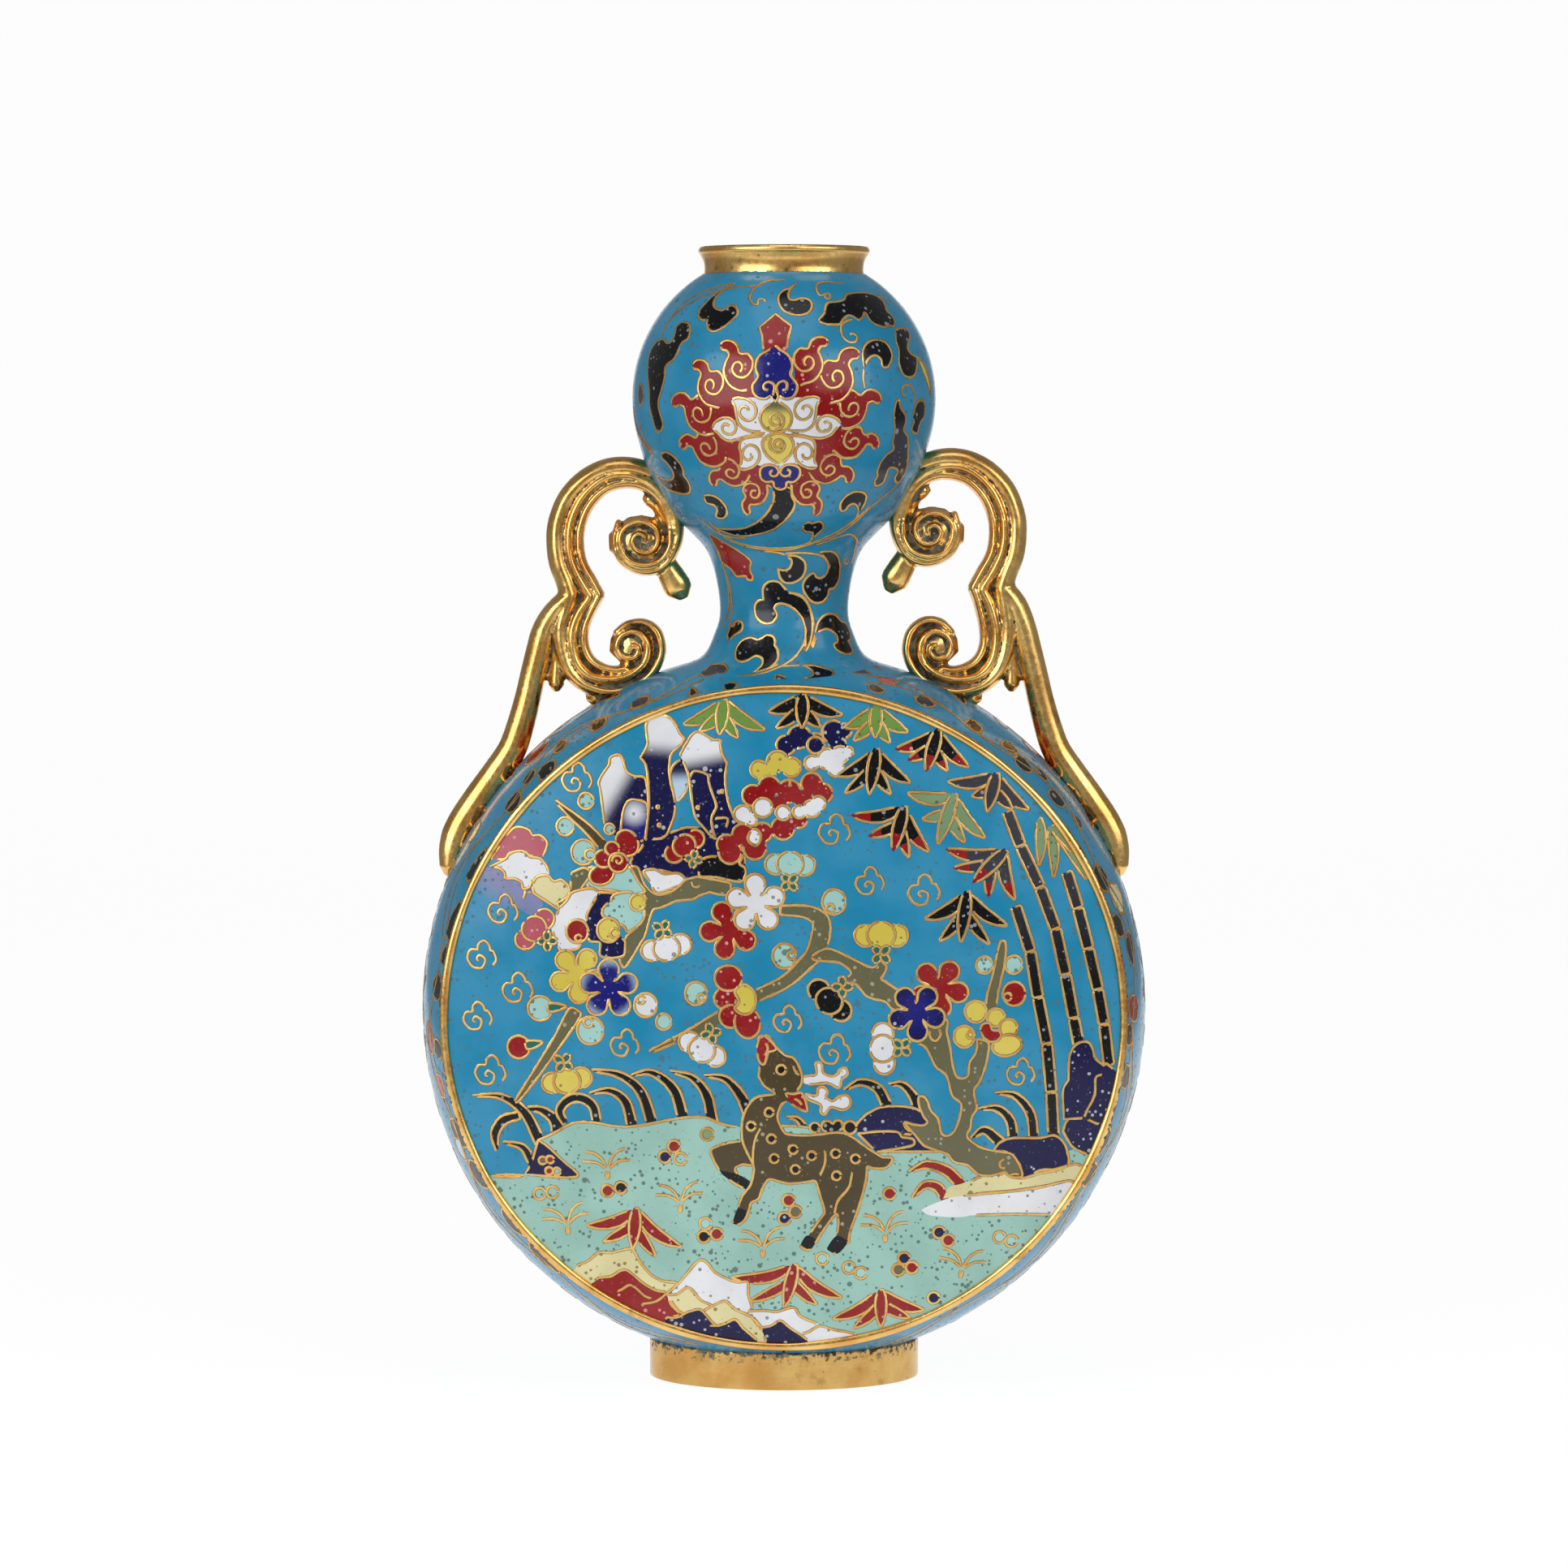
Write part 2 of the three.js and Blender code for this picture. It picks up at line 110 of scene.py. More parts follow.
PAINTS = {
    "turquoise": (srgb(39, 131, 169), "enamel_turquoise"),
    "mint": (srgb(144, 184, 172), "enamel_mint"),
    "seafoam": (srgb(152, 194, 188), "enamel_mint"),
    "red": (srgb(138, 24, 26), "enamel_red"),
    "rose": (srgb(176, 84, 98), "enamel_red"),
    "navy": (srgb(17, 16, 64), "enamel_navy"),
    "cobalt": (srgb(24, 26, 110), "enamel_navy"),
    "lavender": (srgb(120, 125, 165), "enamel_navy"),
    "black": (srgb(8, 9, 12), "enamel_black"),
    "slate": (srgb(54, 55, 64), "enamel_black"),
    "white": (srgb(214, 216, 220), "enamel_white"),
    "ice": (srgb(172, 196, 216), "enamel_white"),
    "yellow": (srgb(204, 186, 82), "enamel_yellow"),
    "cream": (srgb(208, 200, 150), "enamel_yellow"),
    "leaf": (srgb(106, 142, 66), "enamel_green"),
    "sage": (srgb(118, 146, 108), "enamel_green"),
    "teal": (srgb(30, 104, 96), "enamel_green"),
    "olive": (srgb(98, 96, 70), "enamel_brown"),
    "fawn": (srgb(72, 60, 36), "enamel_brown"),
}


# ---- Flat outlines -------------------------------------------------------------------------------


def smooth(points, closed=False, steps=6):
    """A Catmull-Rom curve through points."""
    knots = np.array(points, float)
    if len(knots) < 3 and not closed:
        return knots
    if closed:
        knots = np.vstack([knots[-1], knots, knots[0], knots[1]])
    else:
        knots = np.vstack([2 * knots[0] - knots[1], knots, 2 * knots[-1] - knots[-2]])
    curve = []
    for a, b, c, d in zip(knots, knots[1:], knots[2:], knots[3:]):
        for i in range(steps):
            t = i / steps
            curve.append(0.5 * (2 * b + (c - a) * t + (2 * a - 5 * b + 4 * c - d) * t * t
                                + (3 * b - a - 3 * c + d) * t ** 3))
    if not closed:
        curve.append(knots[-2])
    return np.array(curve)


def cornered(*runs):
    """A closed outline of smooth runs that meet in sharp corners."""
    parts = []
    for i, run in enumerate(runs):
        onward = runs[(i + 1) % len(runs)][0]
        parts.append(smooth([*run, onward])[:-1])
    return np.vstack(parts)


def arc(x, y, radius, start, end, steps=12):
    """Points on a circle between two angles in degrees."""
    angles = np.radians(np.linspace(start, end, steps))
    return np.stack([x + radius * np.cos(angles), y + radius * np.sin(angles)], 1)


def oval(x, y, rx, ry=None, turn=0, steps=22):
    """A closed ellipse."""
    ry = rx if ry is None else ry
    angles = np.linspace(0, 2 * np.pi, steps, endpoint=False)
    return placed(np.stack([rx * np.cos(angles), ry * np.sin(angles)], 1), x, y, 1, turn)


def placed(shape, x, y, size=1.0, turn=0.0, mirror=False):
    """A unit shape scaled, turned by degrees, and moved to a place."""
    points = np.array(shape, float) * size
    if mirror:
        points = points * (-1, 1)
    angle = math.radians(turn)
    spin = np.array([[math.cos(angle), math.sin(angle)], [-math.sin(angle), math.cos(angle)]])
    return points @ spin + (x, y)


def stroke(points, widths):
    """A closed outline of a smooth line whose full width runs through the given widths."""
    middle = smooth(points)
    wide = np.interp(np.linspace(0, 1, len(middle)), np.linspace(0, 1, len(widths)), widths)
    along = np.gradient(middle, axis=0)
    along /= np.linalg.norm(along, axis=1)[:, None]
    across = np.stack([-along[:, 1], along[:, 0]], 1) * wide[:, None] / 2
    return np.vstack([middle + across, (middle - across)[::-1]])


def spiral(x, y, radius, turns, start, steps=26, inner=0.12):
    """A line that winds in from a circle to near its centre; negative turns wind clockwise."""
    share = np.linspace(0, 1, steps)
    angles = np.radians(start) + share * turns * 2 * np.pi
    reach = radius * (1 - (1 - inner) * share ** 0.85)
    return np.stack([x + reach * np.cos(angles), y + reach * np.sin(angles)], 1)


def fade(first, second, start, end):
    """A paint that changes smoothly from one colour to another between two points."""
    start, end = np.array(start, float), np.array(end, float)
    way = end - start

    def colour_at(points):
        share = np.clip(((points - start) @ way) / (way @ way), 0, 1)
        share = (share * share * (3 - 2 * share))[:, None]
        a, b = np.array(PAINTS[first][0]), np.array(PAINTS[second][0])
        return a * (1 - share) + b * share

    return colour_at, PAINTS[second][1]


def inside(points, outline):
    """Which points lie inside a closed outline."""
    x, y = points[:, 0], points[:, 1]
    hit = np.zeros(len(points), bool)
    low, high = outline.min(0), outline.max(0)
    near = (x > low[0]) & (x < high[0]) & (y > low[1]) & (y < high[1])
    if not near.any():
        return hit
    px, py = x[near], y[near]
    odd = np.zeros(len(px), bool)
    ends = np.roll(outline, -1, axis=0)
    for (x0, y0), (x1, y1) in zip(outline, ends):
        if y0 != y1:
            crosses = (y0 > py) != (y1 > py)
            odd ^= crosses & (px < (x1 - x0) * (py - y0) / (y1 - y0) + x0)
    hit[near] = odd
    return hit


# ---- Surfaces: from flat millimetres to places on the flask --------------------------------------


def panel_surface(side):
    """The domed roundel on one face. side is -1 for the front and 1 for the rear."""
    def point(flat):
        share = ((flat[:, 0] / PANEL_RX) ** 2 + (flat[:, 1] / PANEL_RZ) ** 2) ** 1.4
        return np.stack([-side * flat[:, 0], side * (DEPTH + CROWN * (1 - share)), BODY_Z + flat[:, 1]], 1)

    return point


def band_radii(y):
    """Half width and half height of the body's band at one depth."""
    share = (y / DEPTH) ** 2
    return BODY_RX - BAND_DROP_X * share, BODY_RZ - BAND_DROP_Z * share


def band_surface(flat):
    """The band around the body. The first coordinate runs clockwise from the top, the second to the front."""
    angle, y = flat[:, 0] / BODY_RX, -flat[:, 1]
    rx, rz = band_radii(y)
    return np.stack([rx * np.sin(angle), y, BODY_Z + rz * np.cos(angle)], 1)


def shoulder(x, y):
    """The height of the band's upper side over a place in plan."""
    rx, rz = band_radii(y)
    return BODY_Z + rz * np.sqrt(1 - (x / rx) ** 2)


def gourd_profile():
    """Radius, height and length along the outline of bulb and waist, from the collar down."""
    polar = np.linspace(math.asin(BULB_TOP_R / BULB_R), math.pi - math.asin(WAIST[0][0] / BULB_R) - 0.12, 14)
    rise = np.where(polar < np.pi / 2, BULB_RISE, BULB_R)
    bulb = np.stack([BULB_R * np.sin(polar), BULB_Z + rise * np.cos(polar)], 1)
    outline = smooth(np.vstack([bulb, WAIST]), steps=16)
    length = np.concatenate([[0], np.cumsum(np.linalg.norm(np.diff(outline, axis=0), axis=1))])
    return outline[:, 0], outline[:, 1], length


PROFILE_R, PROFILE_Z, PROFILE_LONG = gourd_profile()
EQUATOR_LONG = np.interp(-BULB_Z, -PROFILE_Z, PROFILE_LONG)
WAIST_END = EQUATOR_LONG - PROFILE_LONG[-1]  # the flat height at which the flare begins
GOURD_END = WAIST_END - FLARE_LONG


def gourd_surface(flat):
    """Bulb, waist and flare: the first coordinate is the angle from the front times the bulb's radius."""
    angle = flat[:, 0] / BULB_R
    long = np.clip(EQUATOR_LONG - flat[:, 1], 0, PROFILE_LONG[-1])
    radius, z = np.interp(long, PROFILE_LONG, PROFILE_R), np.interp(long, PROFILE_LONG, PROFILE_Z)
    across, ahead = np.sin(angle), -np.cos(angle)
    points = np.stack([radius * across, radius * ahead, z], 1)
    t = np.clip((WAIST_END - flat[:, 1]) / FLARE_LONG, 0, 1)[:, None]
    slope = np.array([PROFILE_R[-1] - PROFILE_R[-4], PROFILE_Z[-1] - PROFILE_Z[-4]])
    slope *= 4 / np.linalg.norm(slope)
    start = np.stack([PROFILE_R[-1] * across, PROFILE_R[-1] * ahead, np.full(len(angle), PROFILE_Z[-1])], 1)
    leave = start + np.stack([slope[0] * across, slope[0] * ahead, np.full(len(angle), slope[1])], 1)
    ends = []
    for reach in (FLARE_R, FLARE_R + 0.5):
        x, y = reach * across, reach * ahead
        ends.append(np.stack([x, y, shoulder(x, y)], 1))
    land = (ends[1] - ends[0]) * 7
    curve = ((1 - t) ** 3 * start + 3 * t * (1 - t) ** 2 * leave + 3 * t * t * (1 - t) * (ends[0] - land)
             + t ** 3 * ends[0])
    return np.where(t > 0, curve, points)


def lifted(surface, flat, centre):
    """Points of a surface and its outward normals; centre(points) lies on the inner side."""
    step = 0.15
    points = surface(flat)
    du = surface(flat + (step, 0)) - surface(flat - (step, 0))
    dv = surface(flat + (0, step)) - surface(flat - (0, step))
    normals = np.cross(du, dv)
    normals /= np.linalg.norm(normals, axis=1)[:, None]
    outward = np.sign(np.einsum("ij,ij->i", normals, points - centre(points)))
    return points, normals * outward[:, None]


def body_core(points):
    """The middle of the round body, for any points."""
    return np.array([0, 0, BODY_Z])


def gourd_core(points):
    """Points on the upright axis, well below each point of the flare so that its outside stays outside."""
    middle = np.zeros(len(points))
    return np.stack([middle, middle, points[:, 2] - np.where(points[:, 2] < 170, 25, 0)], 1)


# ---- Mosaics: enamel cells and gilt wires --------------------------------------------------------


def turned_left(outline):
    """The same outline, running anticlockwise."""
    x, y = outline[:, 0], outline[:, 1]
    area = np.sum(x * np.roll(y, -1) - np.roll(x, -1) * y)
    return outline if area > 0 else outline[::-1]


def evenly(line, gap):
    """Points about a gap apart along a line."""
    steps = np.linalg.norm(np.diff(line, axis=0), axis=1)
    length = np.concatenate([[0], np.cumsum(steps)])
    count = max(2, int(length[-1] / gap) + 1)
    at = np.linspace(0, length[-1], count)
    return np.stack([np.interp(at, length, line[:, 0]), np.interp(at, length, line[:, 1])], 1)


def thinned(line, turn=0.16, gap=1.6):
    """A line without the points that it doesn't need for its shape."""
    kept = [0]
    bend = 0.0
    for i in range(1, len(line) - 1):
        a, b = line[i] - line[i - 1], line[i + 1] - line[i]
        bend += abs(math.atan2(a[0] * b[1] - a[1] * b[0], a @ b))
        if bend > turn or np.linalg.norm(line[i] - line[kept[-1]]) > gap:
            kept.append(i)
            bend = 0.0
    kept.append(len(line) - 1)
    return line[kept]


class Mosaic:
    """Cells and wires laid on one flat plane. Later ones cover earlier ones."""

    def __init__(self, name, surface, centre, edge, ground, grid=GRID):
        self.name, self.surface, self.centre, self.grid = name, surface, centre, grid
        self.cells = [(turned_left(edge), ground)]
        self.wires = []
        self.shift = np.zeros(2)
        self.swaps = {}
        self.lows = self.highs = None

    def union(self, outlines, paint, wire=True):
        """Cells that read as one shape, with a wire only around the whole."""
        group = range(len(self.cells), len(self.cells) + len(outlines))
        if isinstance(paint, str):
            paint = self.swaps.get(paint, paint)
        for outline in outlines:
            outline = turned_left(np.array(outline, float)) + self.shift
            self.cells.append((outline, paint))
            if wire:
                self.wires.append((np.vstack([outline, outline[:1]]), len(self.cells) - 1, group))

    def cell(self, outline, paint, wire=True):
        """One closed shape filled with a paint."""
        self.union([outline], paint, wire)

    def blob(self, points, paint, wire=True):
        """A cell with a smooth outline through points."""
        self.union([smooth(points, True)], paint, wire)

    def line(self, points):
        """A wire that doesn't close a cell."""
        self.wires.append((np.array(points, float) + self.shift, len(self.cells) - 1, ()))

    def curve(self, points):
        """A smooth wire through points."""
        self.line(smooth(points))

    def visible_runs(self, line, own, group):
        """The stretches of a wire that no later cell covers."""
        fine = evenly(line, WIRE_STEP)
        seen = inside(fine, self.cells[0][0])
        low, high = fine.min(0), fine.max(0)
        touched = (self.lows < high).all(1) & (self.highs > low).all(1)
        for index in np.flatnonzero(touched):
            if index and (index > own or index in group) and index != own:
                seen &= ~inside(fine, self.cells[index][0])
        edges = np.flatnonzero(np.diff(np.concatenate([[0], seen.astype(int), [0]])))
        return [fine[a:b] for a, b in zip(edges[::2], edges[1::2]) if b - a > 2]

    def wire_piece(self):
        """All wires as one mesh of low rounded ribbons, with a dark seam of painted shade and old dirt along
        both sides.
        """
        self.lows = np.array([outline.min(0) for outline, _ in self.cells])
        self.highs = np.array([outline.max(0) for outline, _ in self.cells])
        points, faces, dirt_and_shade = [], [], []
        count = 0
        for line, own, group in self.wires:
            for run in self.visible_runs(line, own, group):
                run = thinned(run)
                centre, normal = lifted(self.surface, run, self.centre)
                along = np.gradient(centre, axis=0)
                side = np.cross(normal, along)
                side /= np.linalg.norm(side, axis=1)[:, None]
                wide = WIRE * (1 + 0.13 * np.sin(1.7 * run[:, 0]) * np.cos(2.3 * run[:, 1]))
                rise = np.full(len(run), WIRE_RISE)
                rise[[0, -1]] = -WIRE_RISE
                # Each ribbon's flanks, where it sinks into the enamel, are darkened with painted shade and
                # old dirt.
                for across, up, soil_and_shade in WIRE_SECTION:
                    height = rise * up if up > 0 else -WIRE_RISE * np.ones(len(run))
                    points.append(centre + side * (across * wide)[:, None] + normal * height[:, None])
                    dirt_and_shade.append(np.full(len(run), float(soil_and_shade)))
                rows, columns = len(run), len(WIRE_SECTION)
                for c in range(columns - 1):
                    for r in range(rows - 1):
                        a = count + c * rows + r
                        faces.append((a, a + 1, a + 1 + rows, a + rows))
                count += rows * columns
        piece = mesh_piece(f"{self.name}_wires", np.vstack(points), faces, GILT_WIRE)
        add_grime_and_shade(piece, np.concatenate(dirt_and_shade))
        return piece

    def cell_pieces(self):
        """One mesh for each paint slot, cut from a single mosaic that leaves no gap between cells."""
        edge = self.cells[0][0]
        corners, loops = [], []
        for outline, _ in self.cells:
            loops.append(list(range(len(corners), len(corners) + len(outline))))
            corners.extend(outline.tolist())
        corners.extend(self.inner_points(edge, self.grid))
        for outline, paint in self.cells:
            if isinstance(paint, tuple):
                corners.extend(self.inner_points(outline, FADE_GRID))
        flat, _, triangles, _, _, owners = geometry.delaunay_2d_cdt(
            [Vector(corner) for corner in corners], [], loops, 0, 1e-4, True)
        flat = np.array([tuple(v) for v in flat])
        points, normals = lifted(self.surface, flat, self.centre)
        by_slot = {}
        for triangle, owner in zip(triangles, owners):
            if 0 in owner:
                top = max(owner)
                paint = self.cells[top][1]
                if paint is not None:
                    slot = paint[1] if isinstance(paint, tuple) else PAINTS[paint][1]
                    by_slot.setdefault(slot, []).append((triangle, top))
        return [self.cell_piece(slot, found, flat, points, normals)
                for slot, found in sorted(by_slot.items())]

    def cell_piece(self, slot, found, flat, points, normals):
        """The triangles of one paint slot, each with its cell's colour."""
        triangles = np.array([triangle for triangle, _ in found])
        tops = np.array([top for _, top in found])
        a, b, c = (points[triangles[:, i]] for i in range(3))
        inward = np.einsum("ij,ij->i", np.cross(b - a, c - a), normals[triangles[:, 0]]) < 0
        triangles[inward] = triangles[inward][:, ::-1]
        colours = np.ones((len(triangles), 3, 4))
        for top in np.unique(tops):
            paint = self.cells[top][1]
            chosen = tops == top
            if isinstance(paint, tuple):
                colours[chosen, :, :3] = paint[0](flat[triangles[chosen].ravel()]).reshape(-1, 3, 3)
            else:
                colours[chosen, :, :3] = PAINTS[paint][0]
        used, faces = np.unique(triangles, return_inverse=True)
        faces = faces.reshape(-1, 3)
        name = f"{self.name}_{slot.removeprefix('enamel_')}_cells"
        piece = mesh_piece(name, points[used], faces.tolist(), ENAMELS[slot])
        mesh = piece.data
        attribute = mesh.color_attributes.new("cell", "FLOAT_COLOR", "CORNER")
        attribute.data.foreach_set("color", colours.reshape(-1).astype(np.float32))
        mesh.normals_split_custom_set_from_vertices(normals[used].tolist())
        return piece

    def inner_points(self, outline, gap):
        """A staggered grid of points inside an outline."""
        low, high = outline.min(0), outline.max(0)
        rows = np.arange(low[1] + gap / 2, high[1], gap * 0.87)
        grid = []
        for i, y in enumerate(rows):
            row = np.arange(low[0] + gap * (0.5 + 0.5 * (i % 2)), high[0], gap)
            grid.append(np.stack([row, np.full(len(row), y)], 1))
        points = np.vstack(grid) if grid else np.zeros((0, 2))
        return points[inside(points, outline)].tolist()


def mesh_piece(name, points, faces, material):
    """A smooth-shaded mesh object, given in millimetres, riding on the flask's one body."""
    mesh = bpy.data.meshes.new(name)
    mesh.from_pydata((np.array(points) * MM).tolist(), [], faces)
    mesh.materials.append(material)
    mesh.shade_smooth()
    piece = bpy.data.objects.new(name, mesh)
    bpy.context.scene.collection.objects.link(piece)
    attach(piece, "root")
    return piece


# ---- Materials -----------------------------------------------------------------------------------


class Nodes:
    """A material's node tree, with short calls for the nodes that this script uses."""

    def __init__(self, name):
        self.material = bpy.data.materials.new(name)
        self.material.use_nodes = True
        self.tree = self.material.node_tree
        self.shader = self.tree.nodes["Principled BSDF"]
        self.place = self.add("ShaderNodeTexCoord").outputs["Object"]

    def add(self, kind, inputs=(), **settings):
        """A new node with its settings made and its inputs fed."""
        node = self.tree.nodes.new(kind)
        for key, value in settings.items():
            setattr(node, key, value)
        for key, value in dict(inputs).items():
            self.feed(node.inputs[key], value)
        return node

    def feed(self, socket, value):
        """Link a socket to another, or give it a value of its own."""
        if isinstance(value, bpy.types.NodeSocket):
            self.tree.links.new(value, socket)
        else:
            socket.default_value = value

    def noise(self, scale, detail=3.0, stretch=(1, 1, 1)):
        """Noise from 0 to 1. scale is in features per metre."""
        mapped = self.add("ShaderNodeMapping", {"Vector": self.place, "Scale": stretch})
        inputs = {"Vector": mapped.outputs[0], "Scale": scale, "Detail": detail}
        return self.add("ShaderNodeTexNoise", inputs).outputs[0]

    def ramp(self, value, low, high, start=0.0, end=1.0):
        """value from low to high, carried to start to end and held there."""
        inputs = {"Value": value, "From Min": low, "From Max": high, "To Min": start, "To Max": end}
        return self.add("ShaderNodeMapRange", inputs, interpolation_type="SMOOTHSTEP").outputs[0]

    def math(self, operation, first, second=0.0):
        """The result of one sum on two values."""
        return self.add("ShaderNodeMath", {0: first, 1: second}, operation=operation).outputs[0]

    def mix(self, share, first, second):
        """A colour between two others."""
        inputs = {"Factor": share, 6: first, 7: second}
        return self.add("ShaderNodeMix", inputs, data_type="RGBA").outputs[2]

    def specks(self, scale, size, share):
        """Small round dots: scale in cells per metre, size and share from 0 to 1."""
        cells = self.add("ShaderNodeTexVoronoi", {"Vector": self.place, "Scale": scale})
        lucky = self.add("ShaderNodeSeparateColor", {"Color": cells.outputs["Color"]})
        radius = self.math("MULTIPLY", lucky.outputs[1], size)
        near = self.ramp(self.math("SUBTRACT", cells.outputs["Distance"], radius), -0.03, 0.02, 1.0, 0.0)
        return self.math("MULTIPLY", near, self.math("LESS_THAN", lucky.outputs[0], share))

    def bump(self, height, strength, distance):
        """Small relief from a height value."""
        inputs = {"Height": height, "Strength": strength, "Distance": distance}
        self.feed(self.shader.inputs["Normal"], self.add("ShaderNodeBump", inputs).outputs[0])

    def set(self, **values):
        """Feed the shader's sockets, named with underscores for spaces, and return the material."""
        for key, value in values.items():
            self.feed(self.shader.inputs[key.replace("_", " ")], value)
        return self.material


def opaque(colour):
    """A colour with full alpha."""
    return (*colour, 1.0)


def enamel_material(slot, speck, share):
    """Fused glass: its cell's own colour, slightly mottled, with pits that hold dirt or polish."""
    nodes = Nodes(slot)
    cell = nodes.add("ShaderNodeAttribute", attribute_name="cell").outputs["Color"]
    cloudy = nodes.noise(75, 4)
    fine = nodes.noise(1400, 3)
    dark = nodes.add("ShaderNodeHueSaturation", {"Color": cell, "Value": 0.93, "Saturation": 1.03}).outputs[0]
    pale = nodes.add("ShaderNodeHueSaturation", {"Color": cell, "Value": 1.06, "Saturation": 0.97}).outputs[0]
    colour = nodes.mix(nodes.ramp(cloudy, 0.33, 0.66), dark, pale)
    colour = nodes.mix(nodes.ramp(fine, 0.62, 0.78, 0.0, 0.35), colour, opaque(speck))
    dots = nodes.specks(330, 0.24, share * 2.4)
    pits = nodes.specks(800, 0.36, share * 2.6)
    marks = nodes.math("MAXIMUM", dots, pits)
    colour = nodes.mix(nodes.math("MULTIPLY", marks, 0.85), colour, opaque(speck))
    rough = nodes.math("ADD", nodes.ramp(fine, 0.3, 0.7, 0.12, 0.24), nodes.math("MULTIPLY", marks, 0.35))
    swell = nodes.math("MULTIPLY", nodes.noise(90, 2), 1.6)
    waves = nodes.math("ADD", swell, nodes.math("MULTIPLY", marks, -0.35))
    nodes.bump(waves, 0.28, 0.00025)
    return nodes.set(Base_Color=colour, Roughness=rough, IOR=1.5, Specular_IOR_Level=0.32)


def gilt_material(name, worn, rough, tone=1.0, brushed=None):
    """Fire gilding over copper alloy. A per-point attribute of each piece holds its dirt and patina, and also
    painted shade in some places.
    """
    nodes = Nodes(name)
    grime_and_shade = nodes.add("ShaderNodeAttribute", attribute_name="grime_and_shade").outputs["Fac"]
    broad = nodes.noise(110, 5)
    fine = nodes.noise(900, 4)
    dull, bright = srgb(226 * tone, 168 * tone, 90 * tone), srgb(250 * tone, 208 * tone, 128 * tone)
    colour = nodes.mix(nodes.ramp(broad, 0.3, 0.7), opaque(dull), opaque(bright))
    tarnish = nodes.math("MULTIPLY", nodes.ramp(nodes.noise(260, 6), 0.6, 0.76), worn)
    colour = nodes.mix(tarnish, colour, opaque(srgb(122, 82, 36)))
    pits = nodes.math("MULTIPLY", nodes.specks(700, 0.22, 0.25), worn)
    colour = nodes.mix(pits, colour, opaque(srgb(52, 34, 16)))
    # From here the gilt turns to a dull dust colour that is rough and not metal: dirt and patina, and also
    # the painted shade that some pieces put in this attribute.
    patchy = nodes.math("ADD", grime_and_shade, nodes.ramp(fine, 0.3, 0.7, -0.2, 0.2))
    dirt_and_shade = nodes.ramp(patchy, 0.38, 0.62)
    soil_and_shade, ash = opaque(srgb(50, 45, 34)), opaque(srgb(104, 102, 86))
    dust_and_shade = nodes.mix(nodes.ramp(nodes.noise(520, 3), 0.4, 0.6), soil_and_shade, ash)
    colour = nodes.mix(dirt_and_shade, colour, dust_and_shade)
    metal = nodes.ramp(dirt_and_shade, 0.0, 1.0, 1.0, 0.1)
    gloss = nodes.ramp(fine, 0.3, 0.7, rough - 0.06, rough + 0.08)
    gloss = nodes.math("MAXIMUM", gloss, nodes.math("MULTIPLY", dirt_and_shade, 0.75))
    relief = nodes.math("ADD", nodes.noise(240, 4), nodes.math("MULTIPLY", pits, -0.6))
    relief = nodes.math("ADD", relief, nodes.math("MULTIPLY", nodes.math("MULTIPLY", dirt_and_shade, fine), 1.5))
    if brushed:
        relief = nodes.math("ADD", relief, nodes.math("MULTIPLY", nodes.noise(120, 6, brushed), 0.9))
    nodes.bump(relief, 0.12, 0.0003)
    return nodes.set(Base_Color=colour, Metallic=metal, Roughness=gloss)


def copper_material():
    """Bare sheet copper, dark with age."""
    nodes = Nodes("aged_copper")
    dark, light = opaque(srgb(92, 52, 34)), opaque(srgb(150, 92, 60))
    colour = nodes.mix(nodes.ramp(nodes.noise(140, 5), 0.35, 0.65), dark, light)
    nodes.bump(nodes.noise(180, 3), 0.5, 0.0004)
    rough = nodes.ramp(nodes.noise(400), 0.3, 0.7, 0.4, 0.65)
    return nodes.set(Base_Color=colour, Metallic=0.9, Roughness=rough)


ENAMELS = {
    "enamel_turquoise": enamel_material("enamel_turquoise", srgb(66, 104, 120), 0.22),
    "enamel_mint": enamel_material("enamel_mint", srgb(76, 100, 90), 0.34),
    "enamel_red": enamel_material("enamel_red", srgb(208, 150, 146), 0.16),
    "enamel_navy": enamel_material("enamel_navy", srgb(176, 180, 188), 0.17),
    "enamel_black": enamel_material("enamel_black", srgb(140, 144, 150), 0.17),
    "enamel_white": enamel_material("enamel_white", srgb(116, 116, 110), 0.15),
    "enamel_yellow": enamel_material("enamel_yellow", srgb(120, 104, 50), 0.2),
    "enamel_green": enamel_material("enamel_green", srgb(70, 84, 40), 0.2),
    "enamel_brown": enamel_material("enamel_brown", srgb(160, 156, 130), 0.12),
}
GILT_WIRE = gilt_material("gilt_wire", 0.55, 0.4, 0.95)
GILT_LIP = gilt_material("gilt_lip", 0.6, 0.26)
GILT_CAST = gilt_material("gilt_cast", 0.5, 0.24)
GILT_TURNED = gilt_material("gilt_turned", 0.35, 0.22, 0.87, brushed=(1, 1, 14))
COPPER = copper_material()


# ---- Gilt mounts ---------------------------------------------------------------------------------


def loft_piece(name, rings, material, joined=True):
    """A smooth solid through a sequence of closed rings with equal point counts."""
    count, around = len(rings), len(rings[0])
    faces = []
    for r in range(count if joined else count - 1):
        for i in range(around):
            a, b = r * around, (r + 1) % count * around
            j = (i + 1) % around
            faces.append((a + i, a + j, b + j, b + i))
    piece = mesh_piece(name, np.vstack(rings), faces, material)
    outward_normals(piece)
    return piece


def outward_normals(piece):
    """Turn every face of a closed mesh outwards."""
    shape = bmesh.new()
    shape.from_mesh(piece.data)
    bmesh.ops.recalc_face_normals(shape, faces=shape.faces)
    shape.to_mesh(piece.data)
    shape.free()
    piece.data.shade_smooth()


